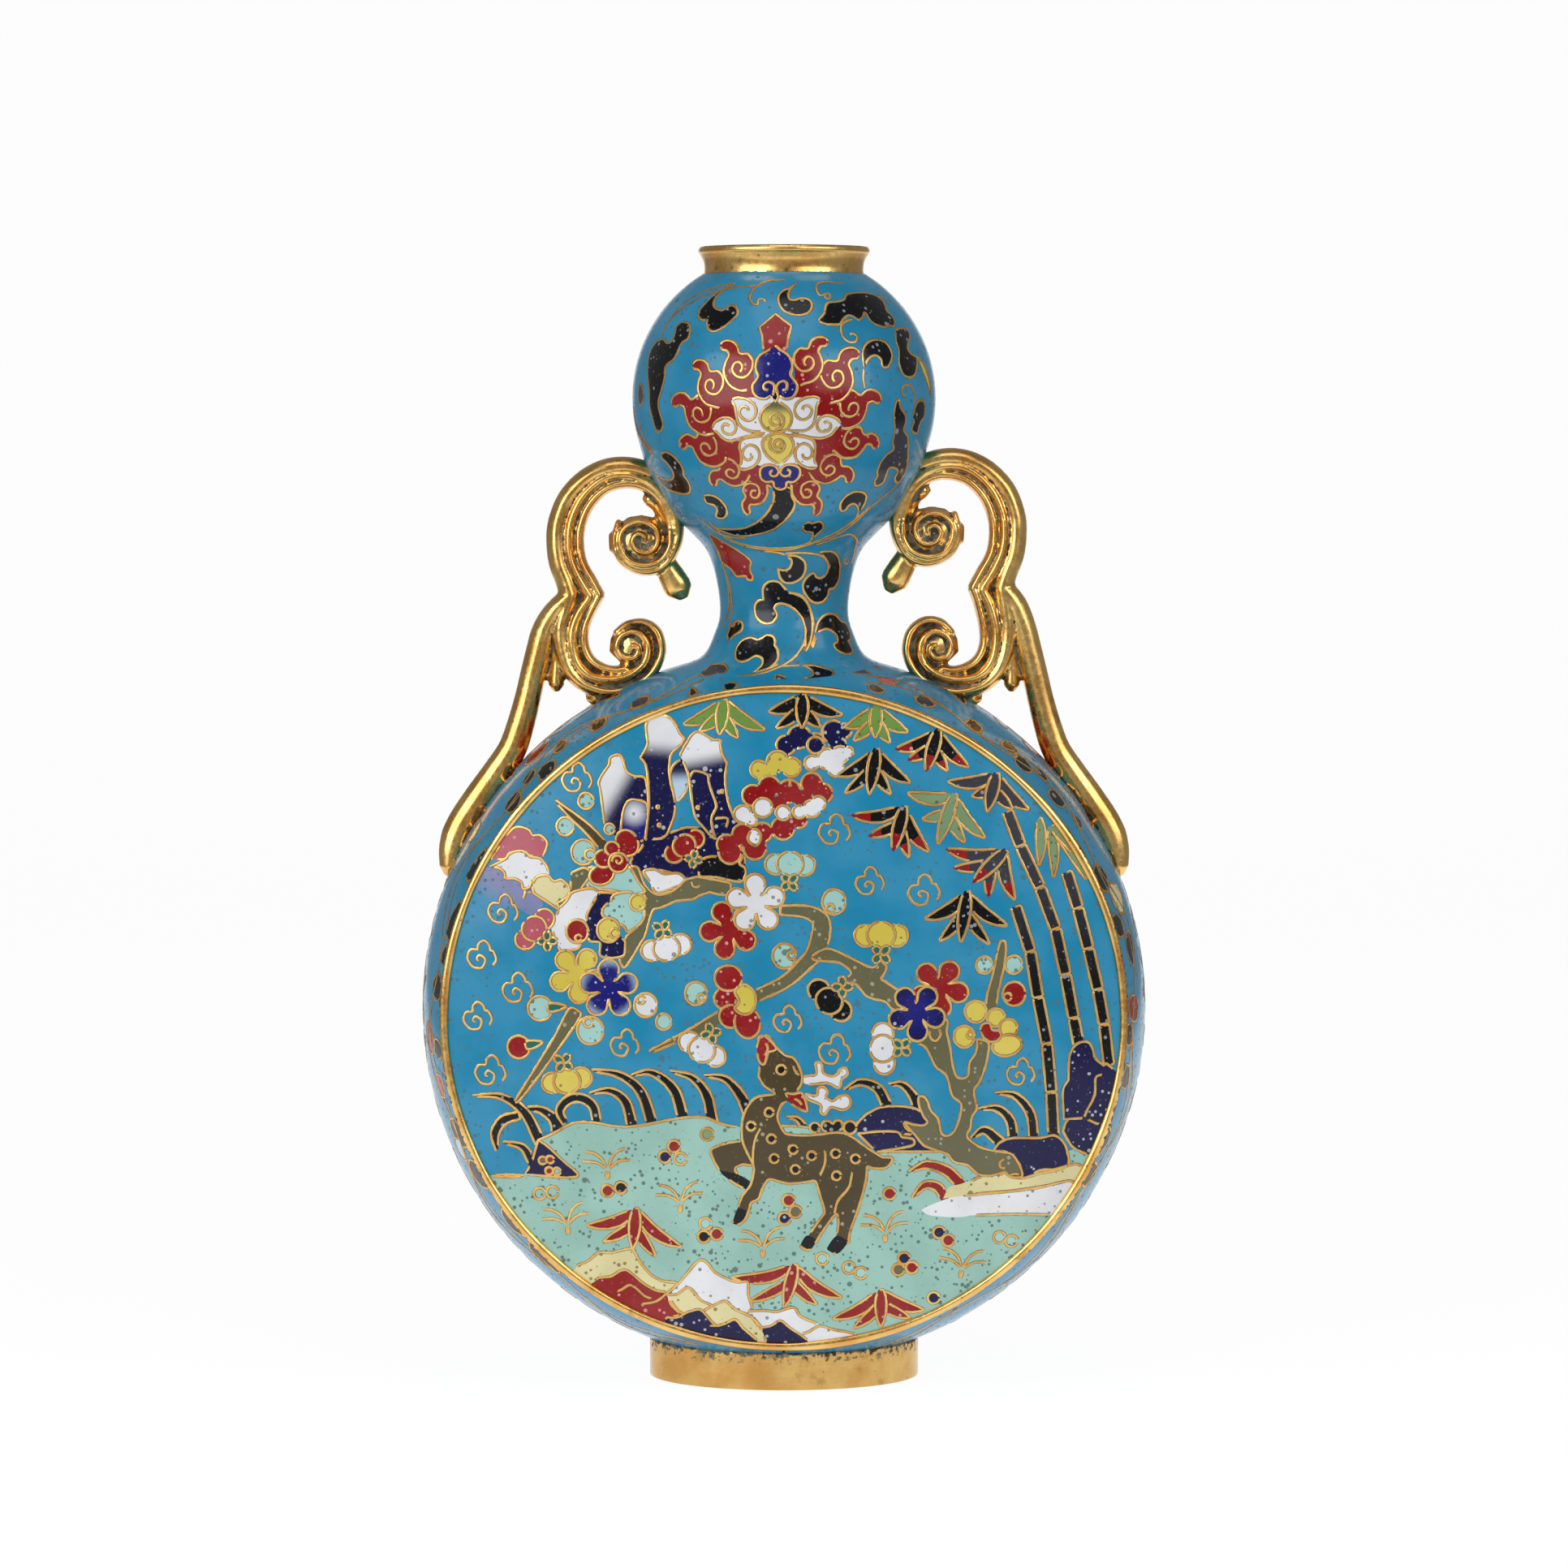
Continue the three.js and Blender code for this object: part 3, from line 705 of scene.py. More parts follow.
def add_grime_and_shade(piece, values):
    """Give each point of a piece its share of dirt, patina and painted shade, which the gilt materials read.
    """
    layer = piece.data.attributes.new("grime_and_shade", "FLOAT", "POINT")
    layer.data.foreach_set("value", np.clip(values, 0, 1).astype(np.float32))


def corners_of(piece):
    """A piece's points in millimetres."""
    flat = np.zeros(len(piece.data.vertices) * 3, np.float32)
    piece.data.vertices.foreach_get("co", flat)
    return flat.reshape(-1, 3).astype(float) / MM


def near(distance, reach):
    """1 where a distance is nothing, falling off to 0 at reach."""
    return np.clip(1 - np.abs(distance) / reach, 0, 1)


def mouth_collar():
    """A turned collar with a hollow waist and a rounded lip, worn on top."""
    seat, top = COLLAR_SEAT, HEIGHT
    outside = smooth([(17.6, seat), (17.45, seat + 1.4), (17.7, seat + 2.9), (18.4, seat + 4.3),
                      (18.85, top - 1.0), (18.6, top - 0.25), (17.9, top - 0.02), (16.4, top - 0.35),
                      (15.5, top - 1.5), (15.2, top - 3.4)], steps=5)
    profile = np.vstack([outside, [(15.2, seat - 7), (16.0, seat - 7), (16.0, seat)]])
    around = 128
    angles = np.linspace(0, 2 * np.pi, around, endpoint=False)
    rings = [np.stack([r * np.sin(angles), -r * np.cos(angles), np.full(around, z)], 1)
             for r, z in profile]
    piece = loft_piece("collar", rings, GILT_LIP)
    points = corners_of(piece)
    radius = np.hypot(points[:, 0], points[:, 1])
    outer = (radius > 16.8).astype(float)
    lip = near(top - points[:, 2], 0.9)
    # Wear on the top of the lip; painted shade where the collar leaves the bulb and inside the mouth.
    add_grime_and_shade(piece, 0.5 * outer * near(points[:, 2] - seat, 1.1) + 0.55 * lip + 0.35 * (radius < 15.6))
    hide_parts("mouth_collar")


def foot_ring():
    """An oval ring whose top edge follows the underside of the body."""
    angles = np.linspace(0, 2 * np.pi, 160, endpoint=False)
    low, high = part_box("foot_ring")
    rx, ry = high[0] / MM, high[1] / MM
    wall, edge = 1.9, 0.45

    def ring(inset, z):
        x, y = (rx - inset) * np.cos(angles), (ry - inset) * np.sin(angles)
        return np.stack([x, y, np.full(len(angles), float(z))], 1)

    def ring_below_body(inset, drop):
        points = ring(inset, 0)
        wide, tall = band_radii(points[:, 1])
        points[:, 2] = BODY_Z - tall * np.sqrt(1 - (points[:, 0] / wide) ** 2) + drop
        return points

    walls = []
    top = ring_below_body(0, 0.25)
    for share in (0.12, 0.5, 0.88):
        level = ring(0, 0)
        level[:, 2] = edge + (top[:, 2] - edge) * share
        walls.append(level)
    rings = [ring(wall, 0), ring(edge, 0), ring(edge * 0.3, edge * 0.3), ring(0, edge), *walls,
             ring_below_body(0, -0.4), ring_below_body(0.12, 0.25), ring_below_body(wall, 0.25)]
    piece = loft_piece("foot", rings, GILT_TURNED)
    points = corners_of(piece)
    wide, tall = band_radii(points[:, 1])
    body = BODY_Z - tall * np.sqrt(1 - (points[:, 0] / wide) ** 2)
    add_grime_and_shade(piece, 0.55 * near(body - points[:, 2], 1.5) + 0.18)
    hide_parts("foot_ring")


def border_ring(side, name):
    """A rounded gilt ring around one roundel, slightly uneven, as filed by hand."""
    count = 288
    angles = np.linspace(0, 2 * np.pi, count, endpoint=False)
    wave = 0.06 * np.sin(7 * angles) + 0.05 * np.sin(13 * angles + 1) + 0.03 * np.sin(29 * angles + 2)
    rings = []
    for turn in np.linspace(0, 2 * np.pi, 14, endpoint=False):
        out = (RING_HALF + wave) * np.cos(turn)
        up = 0.82 * np.sin(turn) - 0.1
        y = side * (DEPTH + up)
        rings.append(np.stack([(RING_RX + out) * np.sin(angles), np.full(count, y),
                               BODY_Z + (RING_RZ + out) * np.cos(angles)], 1))
    piece = loft_piece(f"{name}_border", rings, GILT_CAST)
    points = corners_of(piece)
    # Painted shade at the ring's foot against the enamel and on its outer flank, most at the left and right.
    low = near(side * points[:, 1] - DEPTH + 0.3, 0.5)
    reach = np.hypot(points[:, 0] / RING_RX, (points[:, 2] - BODY_Z) / RING_RZ)
    flank = np.clip((reach - 1) * RING_RX / RING_HALF, 0, 1) * np.abs(points[:, 0]) / RING_RX
    add_grime_and_shade(piece, 0.5 * low + 0.62 * flank)
    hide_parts(f"{name}_border_ring")


def tube(path, wide, deep, sides=14):
    """Points and faces of a rounded bar. path is in the handle's plane; wide and deep are half sizes."""
    middle = smooth(path, steps=5)
    share = np.linspace(0, 1, len(middle))
    wide = np.interp(share, np.linspace(0, 1, len(wide)), wide)
    deep = np.interp(share, np.linspace(0, 1, len(deep)), deep)
    along = np.gradient(middle, axis=0)
    along /= np.linalg.norm(along, axis=1)[:, None]
    across = np.stack([-along[:, 1], along[:, 0]], 1)
    sizes = [
        (middle[0] - along[0] * wide[0] * 0.8, 0.35, 0),
        *[(p, 1, i) for i, p in enumerate(middle)],
        (middle[-1] + along[-1] * wide[-1] * 0.8, 0.35, len(middle) - 1),
    ]
    points, faces = [], []
    for place, shrink, i in sizes:
        for turn in np.linspace(0, 2 * np.pi, sides, endpoint=False):
            flat = place + across[i] * wide[i] * shrink * math.cos(turn)
            points.append((flat[0], deep[i] * shrink * math.sin(turn), flat[1]))
    for r in range(len(sizes) - 1):
        for i in range(sides):
            j = (i + 1) % sides
            faces.append((r * sides + i, r * sides + j, (r + 1) * sides + j, (r + 1) * sides + i))
    faces.append(tuple(range(sides)))
    faces.append(tuple(range(len(points) - sides, len(points))))
    return points, faces


ROLLS = [  # path in x and z, half widths, half depths: the rolls of the right handle's scrolling stem
    ([(23.6, 192.8), (26.0, 198.2), (29.6, 201.8), (34.4, 203.6), (39.8, 203.4), (44.8, 201.0),
      (48.8, 196.7), (50.9, 191.3), (51.2, 186.8), (50.6, 182.3), (49.1, 178.4), (48.0, 174.8)],
     (2.0, 2.3, 2.5), (3.6, 4.5)),
    ([(24.8, 189.2), (25.4, 192.8), (27.5, 197.0), (30.8, 200.3), (35.9, 201.9), (41.0, 200.9),
      (45.4, 197.0), (47.9, 191.9), (48.5, 187.1), (47.8, 182.6), (45.8, 178.4), (43.6, 174.9)], (1.2, 1.5),
     (3.8, 4.75)),
    ([(26.1, 189.8), (26.9, 193.4), (29.0, 197.0), (32.0, 199.3), (35.9, 200.0), (40.4, 198.8),
      (44.0, 195.2), (45.9, 190.7), (46.3, 186.8), (45.6, 182.6), (43.5, 178.7), (41.6, 175.2)], (1.1, 1.2),
     (3.6, 4.2)),
    ([(41.6, 175.2), (42.9, 171.5), (44.1, 166.4), (44.1, 162.5), (42.8, 159.5), (40.4, 157.7),
      (37.7, 157.0), (34.5, 157.4)], (1.2, 1.1, 0.9), (4.2, 3.8)),
    ([(43.6, 174.9), (45.4, 171.2), (46.6, 166.4), (46.6, 162.2), (45.4, 158.3), (42.5, 155.6),
      (38.6, 154.9), (34.4, 155.8), (31.0, 158.4), (30.0, 161.8), (31.0, 164.4), (33.4, 165.6),
      (35.8, 164.7), (36.9, 162.4), (36.0, 160.2), (33.9, 159.6), (32.3, 160.6), (32.3, 162.2),
      (33.7, 162.6)], (1.6, 1.5, 1.2, 0.85, 0.75), (4.7, 4.5, 4.3, 4.3)),
    ([(48.1, 174.8), (48.7, 171.2), (49.3, 166.4), (48.9, 161.6), (47.5, 157.4), (45.1, 154.5),
      (42.2, 152.9), (38.3, 152.2), (34.4, 152.9), (30.4, 155.2), (28.0, 158.2), (27.0, 161.6),
      (28.0, 165.6), (31.0, 167.9), (34.6, 167.6), (37.2, 165.2)], (2.4, 2.1, 1.6, 1.2, 1.0, 0.8),
     (4.6, 4.2, 3.9, 3.7)),
    ([(48.7, 174.5), (51.0, 171.2), (52.8, 166.4), (54.2, 161.0), (55.5, 155.7), (56.9, 149.7),
      (58.4, 144.3), (60.2, 139.3), (63.4, 134.3), (67.4, 128.5), (71.0, 122.9), (73.2, 117.6),
      (74.0, 113.2)], (2.6, 2.9, 2.9, 2.9, 3.1, 3.3, 3.6, 3.7, 2.4), (4.6, 4.0, 3.6, 3.4, 3.5, 3.4)),
    ([(26.1, 189.8), (26.3, 186.2), (28.1, 183.3), (31.4, 182.0), (35.0, 182.9), (37.0, 185.9),
      (36.9, 189.2), (34.7, 191.3), (31.5, 191.4), (29.2, 189.6), (29.0, 186.8), (30.8, 184.9),
      (33.4, 185.3), (34.5, 187.2), (33.6, 188.9), (31.9, 188.6), (31.6, 187.3)], (1.0, 0.85, 0.75),
     (4.2, 4.3)),
    ([(37.6, 191.6), (38.5, 187.4), (37.2, 183.3), (33.8, 181.0), (30.2, 180.7), (27.0, 182.4),
      (24.9, 186.2), (24.4, 190.4), (25.4, 194.4)], (0.7, 0.9, 1.1, 1.4), (3.7, 3.9)),
    ([(27.4, 183.0), (26.2, 180.2), (24.8, 177.6), (24.1, 176.3)], (2.2, 2.9, 3.2, 3.0), (2.7, 2.8, 2.4)),
    ([(26.4, 191.6), (28.2, 195.2), (31.2, 196.6)], (2.2, 2.4, 1.4), (2.6, 2.4)),
    ([(47.6, 171.0), (49.6, 167.0), (50.0, 163.0), (50.2, 158.0), (50.3, 153.6)], (1.3, 1.1, 1.3, 1.8),
     (2.4, 2.7)),
    ([(46.0, 166.0), (48.5, 162.0), (50.0, 158.5), (51.2, 155.5)], (2.4, 3.4, 2.6, 1.6), (1.7, 1.7)),
    ([(35.0, 153.0), (39.0, 151.4), (42.0, 151.0)], (2.4, 2.8, 2.2), (2.9, 2.6)),
    ([(29.8, 187.0), (32.6, 187.3), (35.4, 187.2)], (5.4, 5.8, 5.4), (3.4, 3.4)),
    ([(30.6, 161.6), (32.6, 162.0), (34.6, 162.2)], (5.3, 5.6, 4.8), (3.3, 3.3)),
]
WEB = (29.0, 195.5)  # middle of the rough web between the upper scroll and the inner roll
SCROLL_EYES = [(32.6, 187.2, 6.4), (32.6, 161.8, 5.6)]  # centres and radii of the recessed scrolls
LEFT_DROP, LEFT_PULL, LEFT_FROM, LEFT_TO = 1.9, 1.1, 164.0, 178.0  # the left casting sits lower and closer


def on_own_side(points, side):
    """Points of the right handle, carried over to one side of the flask."""
    points = points.copy()
    if side < 0:
        share = np.clip((points[:, 2] - LEFT_FROM) / (LEFT_TO - LEFT_FROM), 0, 1)
        share = share * share * (3 - 2 * share)
        points[:, 0] -= LEFT_PULL * share
        points[:, 2] -= LEFT_DROP * share
    points[:, 0] *= side
    return points


def hollows(mesh, points, passes):
    """How far each point of a mesh lies below its smoothed surface, in millimetres."""
    edges = np.zeros(len(mesh.edges) * 2, int)
    mesh.edges.foreach_get("vertices", edges)
    a, b = edges.reshape(-1, 2).T
    count = np.bincount(a, minlength=len(points)) + np.bincount(b, minlength=len(points))
    normals = np.zeros(len(points) * 3, np.float32)
    mesh.vertices.foreach_get("normal", normals)
    soft = points.copy()
    for _ in range(passes):
        total = np.stack([np.bincount(a, soft[b, k], len(points)) + np.bincount(b, soft[a, k], len(points))
                          for k in range(3)], 1)
        soft = total / np.maximum(count, 1)[:, None]
    return np.einsum("ij,ij->i", soft - points, normals.reshape(-1, 3))


def handle(side, name):
    """A cast handle of grooved rolls that end in scrolls, with a leg down to the body."""
    points, faces = [], []
    for path, wide, deep in ROLLS:
        more, around = tube(path, wide, deep)
        faces.extend(tuple(i + len(points) for i in face) for face in around)
        points.extend(more)
    right = np.array(points)
    piece = mesh_piece(f"{name}_casting", on_own_side(right, side), faces, GILT_CAST)
    outward_normals(piece)
    remesh = piece.modifiers.new("remesh", "REMESH")
    remesh.mode = "VOXEL"
    remesh.voxel_size = VOXEL * MM
    soften = piece.modifiers.new("soften", "SMOOTH")
    soften.iterations = 4
    solid = bpy.data.meshes.new_from_object(piece.evaluated_get(bpy.context.evaluated_depsgraph_get()))
    piece.modifiers.clear()
    piece.data = solid
    piece.data.name = piece.name
    solid.shade_smooth()
    points = corners_of(piece)
    grime_and_shade = 2.6 * hollows(solid, points, 14)
    # Painted shade where the casting comes close to the shoulder, and above BULB_SIDE where it comes close to
    # the gourd.
    body = shoulder(points[:, 0], np.clip(points[:, 1], -20, 20))
    grime_and_shade += 0.9 * near(np.maximum(points[:, 2] - body, 0), 2.9)
    clear = np.hypot(points[:, 0], points[:, 1]) - np.interp(-points[:, 2], -PROFILE_Z, PROFILE_R)
    grime_and_shade += 0.5 * near(np.maximum(clear, 0), 1.2) * (points[:, 2] > BULB_SIDE)
    web = np.hypot(np.abs(points[:, 0]) - WEB[0], points[:, 2] - WEB[1])
    grime_and_shade += 0.8 * near(web, 4.5) * (np.abs(points[:, 1]) < 3.2)
    for x, z, radius in SCROLL_EYES:
        centre = on_own_side(np.array([[x, 0.0, z]]), side)[0]
        reach = np.hypot(points[:, 0] - centre[0], points[:, 2] - centre[2])
        grime_and_shade += 0.1 * (reach < radius + 0.8) * (np.abs(points[:, 1]) < 4.1)
    add_grime_and_shade(piece, grime_and_shade)
    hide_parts(f"{name}_handle")


# ---- Motifs --------------------------------------------------------------------------------------

CLOUD_CURL = np.vstack([
    smooth([(0.65, -0.85), (1.0, -0.3), (0.8, 0.27), (0.56, 0.35)]),
    smooth([(0.56, 0.35), (0.45, 0.75), (0.1, 1.0), (-0.25, 0.75), (-0.3, 0.35)]),
    smooth([(-0.3, 0.35), (-0.8, 0.3), (-1.0, -0.25), (-0.6, -0.85), (0.05, -0.87), (0.25, -0.3),
            (-0.15, -0.02), (-0.35, -0.3), (-0.12, -0.45)]),
])


def cloud_curls(mosaic, places, size=3.2):
    """Small drifting clouds, each drawn with a single wire."""
    for i, (x, y) in enumerate(places):
        mosaic.line(placed(CLOUD_CURL, x, y, size * (1 + 0.06 * math.sin(3 * i)), 5 * math.sin(5 * i)))


def scallops(mosaic, discs, paint):
    """A cloud bank of overlapping discs with one wire around it."""
    mosaic.union([oval(x, y, r) for x, y, r in discs], paint)


def along(start, end, share):
    """A point between two points."""
    return np.array(start, float) * (1 - share) + np.array(end, float) * share


def leaf(mosaic, root, tip, width, bend, paint, end_paint=None):
    """A slender leaf, bent to one side, whose last third may have a colour of its own."""
    root, tip = np.array(root, float), np.array(tip, float)
    way = tip - root
    side = np.array([-way[1], way[0]]) * bend
    path = smooth([root, root + way * 0.33 + side * 0.9, root + way * 0.66 + side * 0.8, tip])
    widths = np.array([0.45, 0.88, 1, 0.92, 0.66, 0.12]) * width
    mosaic.cell(stroke_of(path, widths), paint)
    if end_paint:
        start = int(len(path) * 0.6)
        mosaic.cell(stroke_of(path[start:], widths[-3:] * 0.9), end_paint, wire=False)


def stroke_of(middle, widths):
    """A closed outline around a line that is already smooth."""
    wide = np.interp(np.linspace(0, 1, len(middle)), np.linspace(0, 1, len(widths)), widths)
    way = np.gradient(middle, axis=0)
    way /= np.linalg.norm(way, axis=1)[:, None]
    across = np.stack([-way[:, 1], way[:, 0]], 1) * wide[:, None] / 2
    return np.vstack([middle + across, (middle - across)[::-1]])


def leaf_fan(mosaic, top, tips, paint, end_paint=None, width=2.7):
    """Bamboo leaves that spread from one point: outer ones first, the middle one on top."""
    centre = tips[len(tips) // 2]
    low, mid = along(top, centre, 0.36), along(top, centre, 0.06)
    bends = (-0.1, -0.05, 0.0, 0.05, 0.1)
    roots = (along(mid, tips[0], 0.07), low, top, low, along(mid, tips[4], 0.07))
    for i in (0, 4, 1, 3, 2):
        wide = width * (0.84 if i in (1, 3) else 1)
        bend = bends[i] if tips[0][0] < tips[4][0] else -bends[i]
        leaf(mosaic, roots[i], tips[i], wide, -bend, paint, end_paint)


def calyx(mosaic, x, y, turn, size=1.0):
    """Four small loops in a cross."""
    for quarter in (45, 135, 225, 315):
        angle = math.radians(quarter + turn)
        mosaic.cell(oval(x + 1.15 * size * math.cos(angle), y + 1.15 * size * math.sin(angle),
                         1.12 * size, 0.82 * size, quarter + turn, 12), "teal")


def bud(mosaic, x, y, turn, paint, size=1.0):
    """Three overlapping petals that grow out of a calyx at (x, y), towards turn degrees."""
    angle = math.radians(turn)
    ahead, aside = np.array([math.cos(angle), math.sin(angle)]), np.array([-math.sin(angle), math.cos(angle)])
    for forward, across, radius in ((3.9, 3.1, 2.3), (3.9, -3.1, 2.3), (4.1, 0.0, 2.75)):
        place = np.array([x, y]) + (ahead * forward + aside * across) * size
        mosaic.cell(oval(*place, radius * size, radius * size * 1.06, turn), paint)
    calyx(mosaic, x, y, turn, size)


def round_bud(mosaic, x, y, radius, turn, paint, loop=0.34):
    """A closed bud with a small loop where its stalk joins it."""
    mosaic.cell(oval(x, y, radius, radius * 1.05), paint)
    angle = math.radians(turn)
    reach = radius * 0.62
    eye = (x + reach * math.cos(angle), y + reach * math.sin(angle))
    mosaic.cell(oval(*eye, radius * loop, steps=12), paint)


def stalked_bud(mosaic, x, y, radius, turn, paint):
    """A closed bud on a short pointed stalk."""
    tip = placed([(radius * 0.75, 0.9), (radius * 1.5, 0.75), (radius * 2.15, 0), (radius * 1.5, -0.75),
                  (radius * 0.75, -0.9), (radius * 0.6, 0)], x, y, 1, turn)
    mosaic.cell(oval(x, y, radius), paint)
    mosaic.cell(smooth(tip, True, 3), "teal")


def blossom(mosaic, x, y, radius, turn, paint):
    """Five round petals parted by narrow notches."""
    outline = []
    for petal in range(5):
        at = turn + 72 * petal
        angle = math.radians(at)
        reach = 0.655 * radius
        outline.append(arc(x + reach * math.cos(angle), y + reach * math.sin(angle), 0.345 * radius,
                           at - 125, at + 125, 11))
        notch = math.radians(at + 36)
        outline.append([(x + 0.3 * radius * math.cos(notch), y + 0.3 * radius * math.sin(notch))])
    mosaic.cell(np.vstack(outline), paint)


def berries(mosaic, radius, *balls):
    """Round cells of one size, each given by its place and paint."""
    for x, y, paint in balls:
        mosaic.cell(oval(x, y, radius, steps=16), paint)


def blade(mosaic, points, widths, paint="black"):
    """A curved blade of grass from its tip to its foot."""
    mosaic.cell(stroke(points, widths), paint)


def tuft(mosaic, x, y, size=1.0, lean=0.0):
    """Four bent grass lines that meet in a stub."""
    for line in (
        [(0, 0), (-1.1, 2.4), (-2.9, 3.7), (-5.2, 4.0)],
        [(0, 0), (1.0, 2.9), (2.6, 4.4), (4.3, 4.7)],
        [(0, 0), (-1.0, 1.0), (-2.7, 1.8), (-5.3, 1.9)],
        [(0, 0), (1.2, 1.3), (2.8, 2.2), (5.0, 2.3)],
        [(-0.1, 0.4), (-0.25, -0.9), (0, -1.7), (0.25, -0.9), (0.1, 0.4)],
        [(0, 0.4), (0, -1.5)],
    ):
        mosaic.line(placed(smooth(line), x, y, size, lean))


def glow(first, second, centre, inner, outer):
    """A paint that changes from one colour at inner millimetres from a point to another at outer."""
    centre = np.array(centre, float)

    def colour_at(points):
        share = np.clip((np.linalg.norm(points - centre, axis=1) - inner) / (outer - inner), 0, 1)[:, None]
        return np.array(PAINTS[first][0]) * (1 - share) + np.array(PAINTS[second][0]) * share

    return colour_at, PAINTS[first][1]


def bamboo(mosaic, nodes, width, paint):
    """A jointed stalk, each joint slightly waisted."""
    for low, high in zip(nodes[1:], nodes):
        a, b = np.array(high, float), np.array(low, float)
        way = (b - a) / np.linalg.norm(b - a)
        side = np.array([-way[1], way[0]]) * width / 2
        a, b = a + way * 0.12, b - way * 0.12
        swell, narrow, wide = way * 0.35, side * 0.8, side * 1.06
        mosaic.cell([a + narrow, a + swell + wide, b - swell + wide, b + narrow,
                     b - narrow, b - swell - wide, a + swell - wide, a - narrow], paint)


# ---- The front roundel ---------------------------------------------------------------------------


def roundel(name, side):
    """An empty turquoise mosaic for one panel."""
    edge = oval(0, 0, PANEL_RX + 0.2, PANEL_RZ + 0.2, steps=160)
    return Mosaic(name, panel_surface(side), body_core, edge, "turquoise")


def peaks(m):
    """Tall rocks, upper left, white at the top and dark blue below."""
    m.blob([(-33.1, 34.1), (-32.2, 36.4), (-31.1, 39.2), (-29.2, 42.5), (-25.8, 40.6), (-21.3, 42.0),
            (-16.6, 42.0), (-12.4, 43.1), (-9.6, 39.8), (-8.5, 35.9), (-8.5, 32.0), (-10.1, 30.8),
            (-15.2, 31.3), (-19.6, 31.1), (-23.0, 31.9), (-26.9, 32.8), (-30.3, 32.5)], "navy")
    m.cell(cornered(
        [(-38.7, 41.1), (-39.0, 44.1), (-39.7, 49.7), (-40.1, 51.4), (-39.4, 53.2), (-37.9, 55.3),
         (-37.6, 56.9), (-36.2, 57.6), (-35.1, 57.2)],
        [(-34.5, 55.3), (-33.9, 53.9), (-32.3, 53.0), (-30.0, 52.5)],
        [(-29.3, 48.1), (-29.7, 40.0), (-32.0, 36.4), (-33.6, 38.6), (-35.3, 39.7)],
    ), fade("white", "navy", (-37.6, 50.3), (-34.3, 48.3)))
    m.cell(cornered(
        [(-35.4, 40.5), (-34.8, 45.3)],
        [(-33.9, 47.5), (-32.5, 48.0), (-29.7, 47.1)],
        [(-29.4, 44.2), (-29.8, 39.7), (-32.5, 39.1)],
    ), glow("white", "cobalt", (-32.3, 45.2), 0.6, 3.4))
    m.cell(cornered(
        [(-30.0, 39.4), (-29.4, 44.2), (-29.2, 48.1), (-29.7, 54.8)],
        [(-31.1, 57.0), (-30.0, 58.6), (-29.5, 60.3), (-29.9, 63.7), (-28.9, 65.3), (-26.7, 66.2),
         (-24.7, 65.6), (-23.3, 64.0), (-22.5, 62.3)],
        [(-21.5, 61.2), (-22.2, 59.8), (-24.1, 58.1), (-24.7, 56.4), (-24.8, 53.7), (-24.1, 49.8),
         (-23.5, 47.5), (-23.8, 44.2), (-25.8, 40.0)],
    ), fade("white", "navy", (-26.4, 60.9), (-26.7, 56.7)))
    m.cell(cornered(
        [(-23.5, 47.4), (-24.0, 49.8), (-24.6, 53.1), (-23.9, 55.3), (-21.9, 56.7)],
        [(-21.1, 54.8), (-20.0, 53.4), (-20.5, 52.0), (-21.1, 49.8), (-22.3, 48.2)],
    ), fade("navy", "ice", (-22.7, 54.5), (-22.6, 51.4)))
    m.cell(cornered(
        [(-22.5, 57.6), (-21.3, 59.8), (-19.9, 62.0), (-18.5, 62.6), (-16.6, 61.7), (-15.2, 60.9)],
        [(-13.8, 60.9), (-13.5, 58.1)],
        [(-12.3, 56.0), (-12.7, 53.1), (-12.4, 49.2), (-11.3, 45.3), (-10.0, 42.6)],
        [(-9.6, 39.8), (-12.4, 39.5), (-15.2, 39.8), (-18.0, 42.8), (-19.1, 44.2), (-19.8, 47.0),
         (-20.2, 50.3), (-20.8, 53.9)],
    ), fade("white", "navy", (-17.4, 58.4), (-16.6, 54.5)))
    m.curve([(-20.7, 52.0), (-19.4, 54.1), (-16.6, 53.4), (-16.2, 51.5), (-15.3, 48.7), (-14.6, 46.5),
             (-15.7, 43.7), (-14.9, 39.5)])
    m.curve([(-15.5, 43.7), (-13.8, 44.1), (-12.1, 43.8), (-12.8, 41.2)])
    m.blob([(-18.2, 33.1), (-17.4, 35.2), (-15.7, 35.8), (-13.8, 35.8), (-13.2, 37.3), (-11.8, 38.0),
            (-10.1, 37.6), (-9.0, 35.9), (-9.6, 34.2), (-8.5, 33.4), (-8.3, 31.7), (-9.6, 30.3),
            (-14.6, 31.3), (-18.0, 31.5)], "black")
    m.cell(cornered(
        [(-29.2, 30.5), (-30.0, 31.6), (-30.2, 32.7), (-28.0, 33.0), (-25.8, 32.0), (-23.0, 32.2),
         (-21.4, 31.1)],
        [(-21.9, 29.7), (-24.1, 28.9), (-27.5, 27.9)],
    ), "white")
    berries(m, 0.35, (-27.2, 46.4, "white"), (-26.9, 42.5, "white"), (-18.6, 46.3, "white"),
            (-13.4, 49.8, "white"))


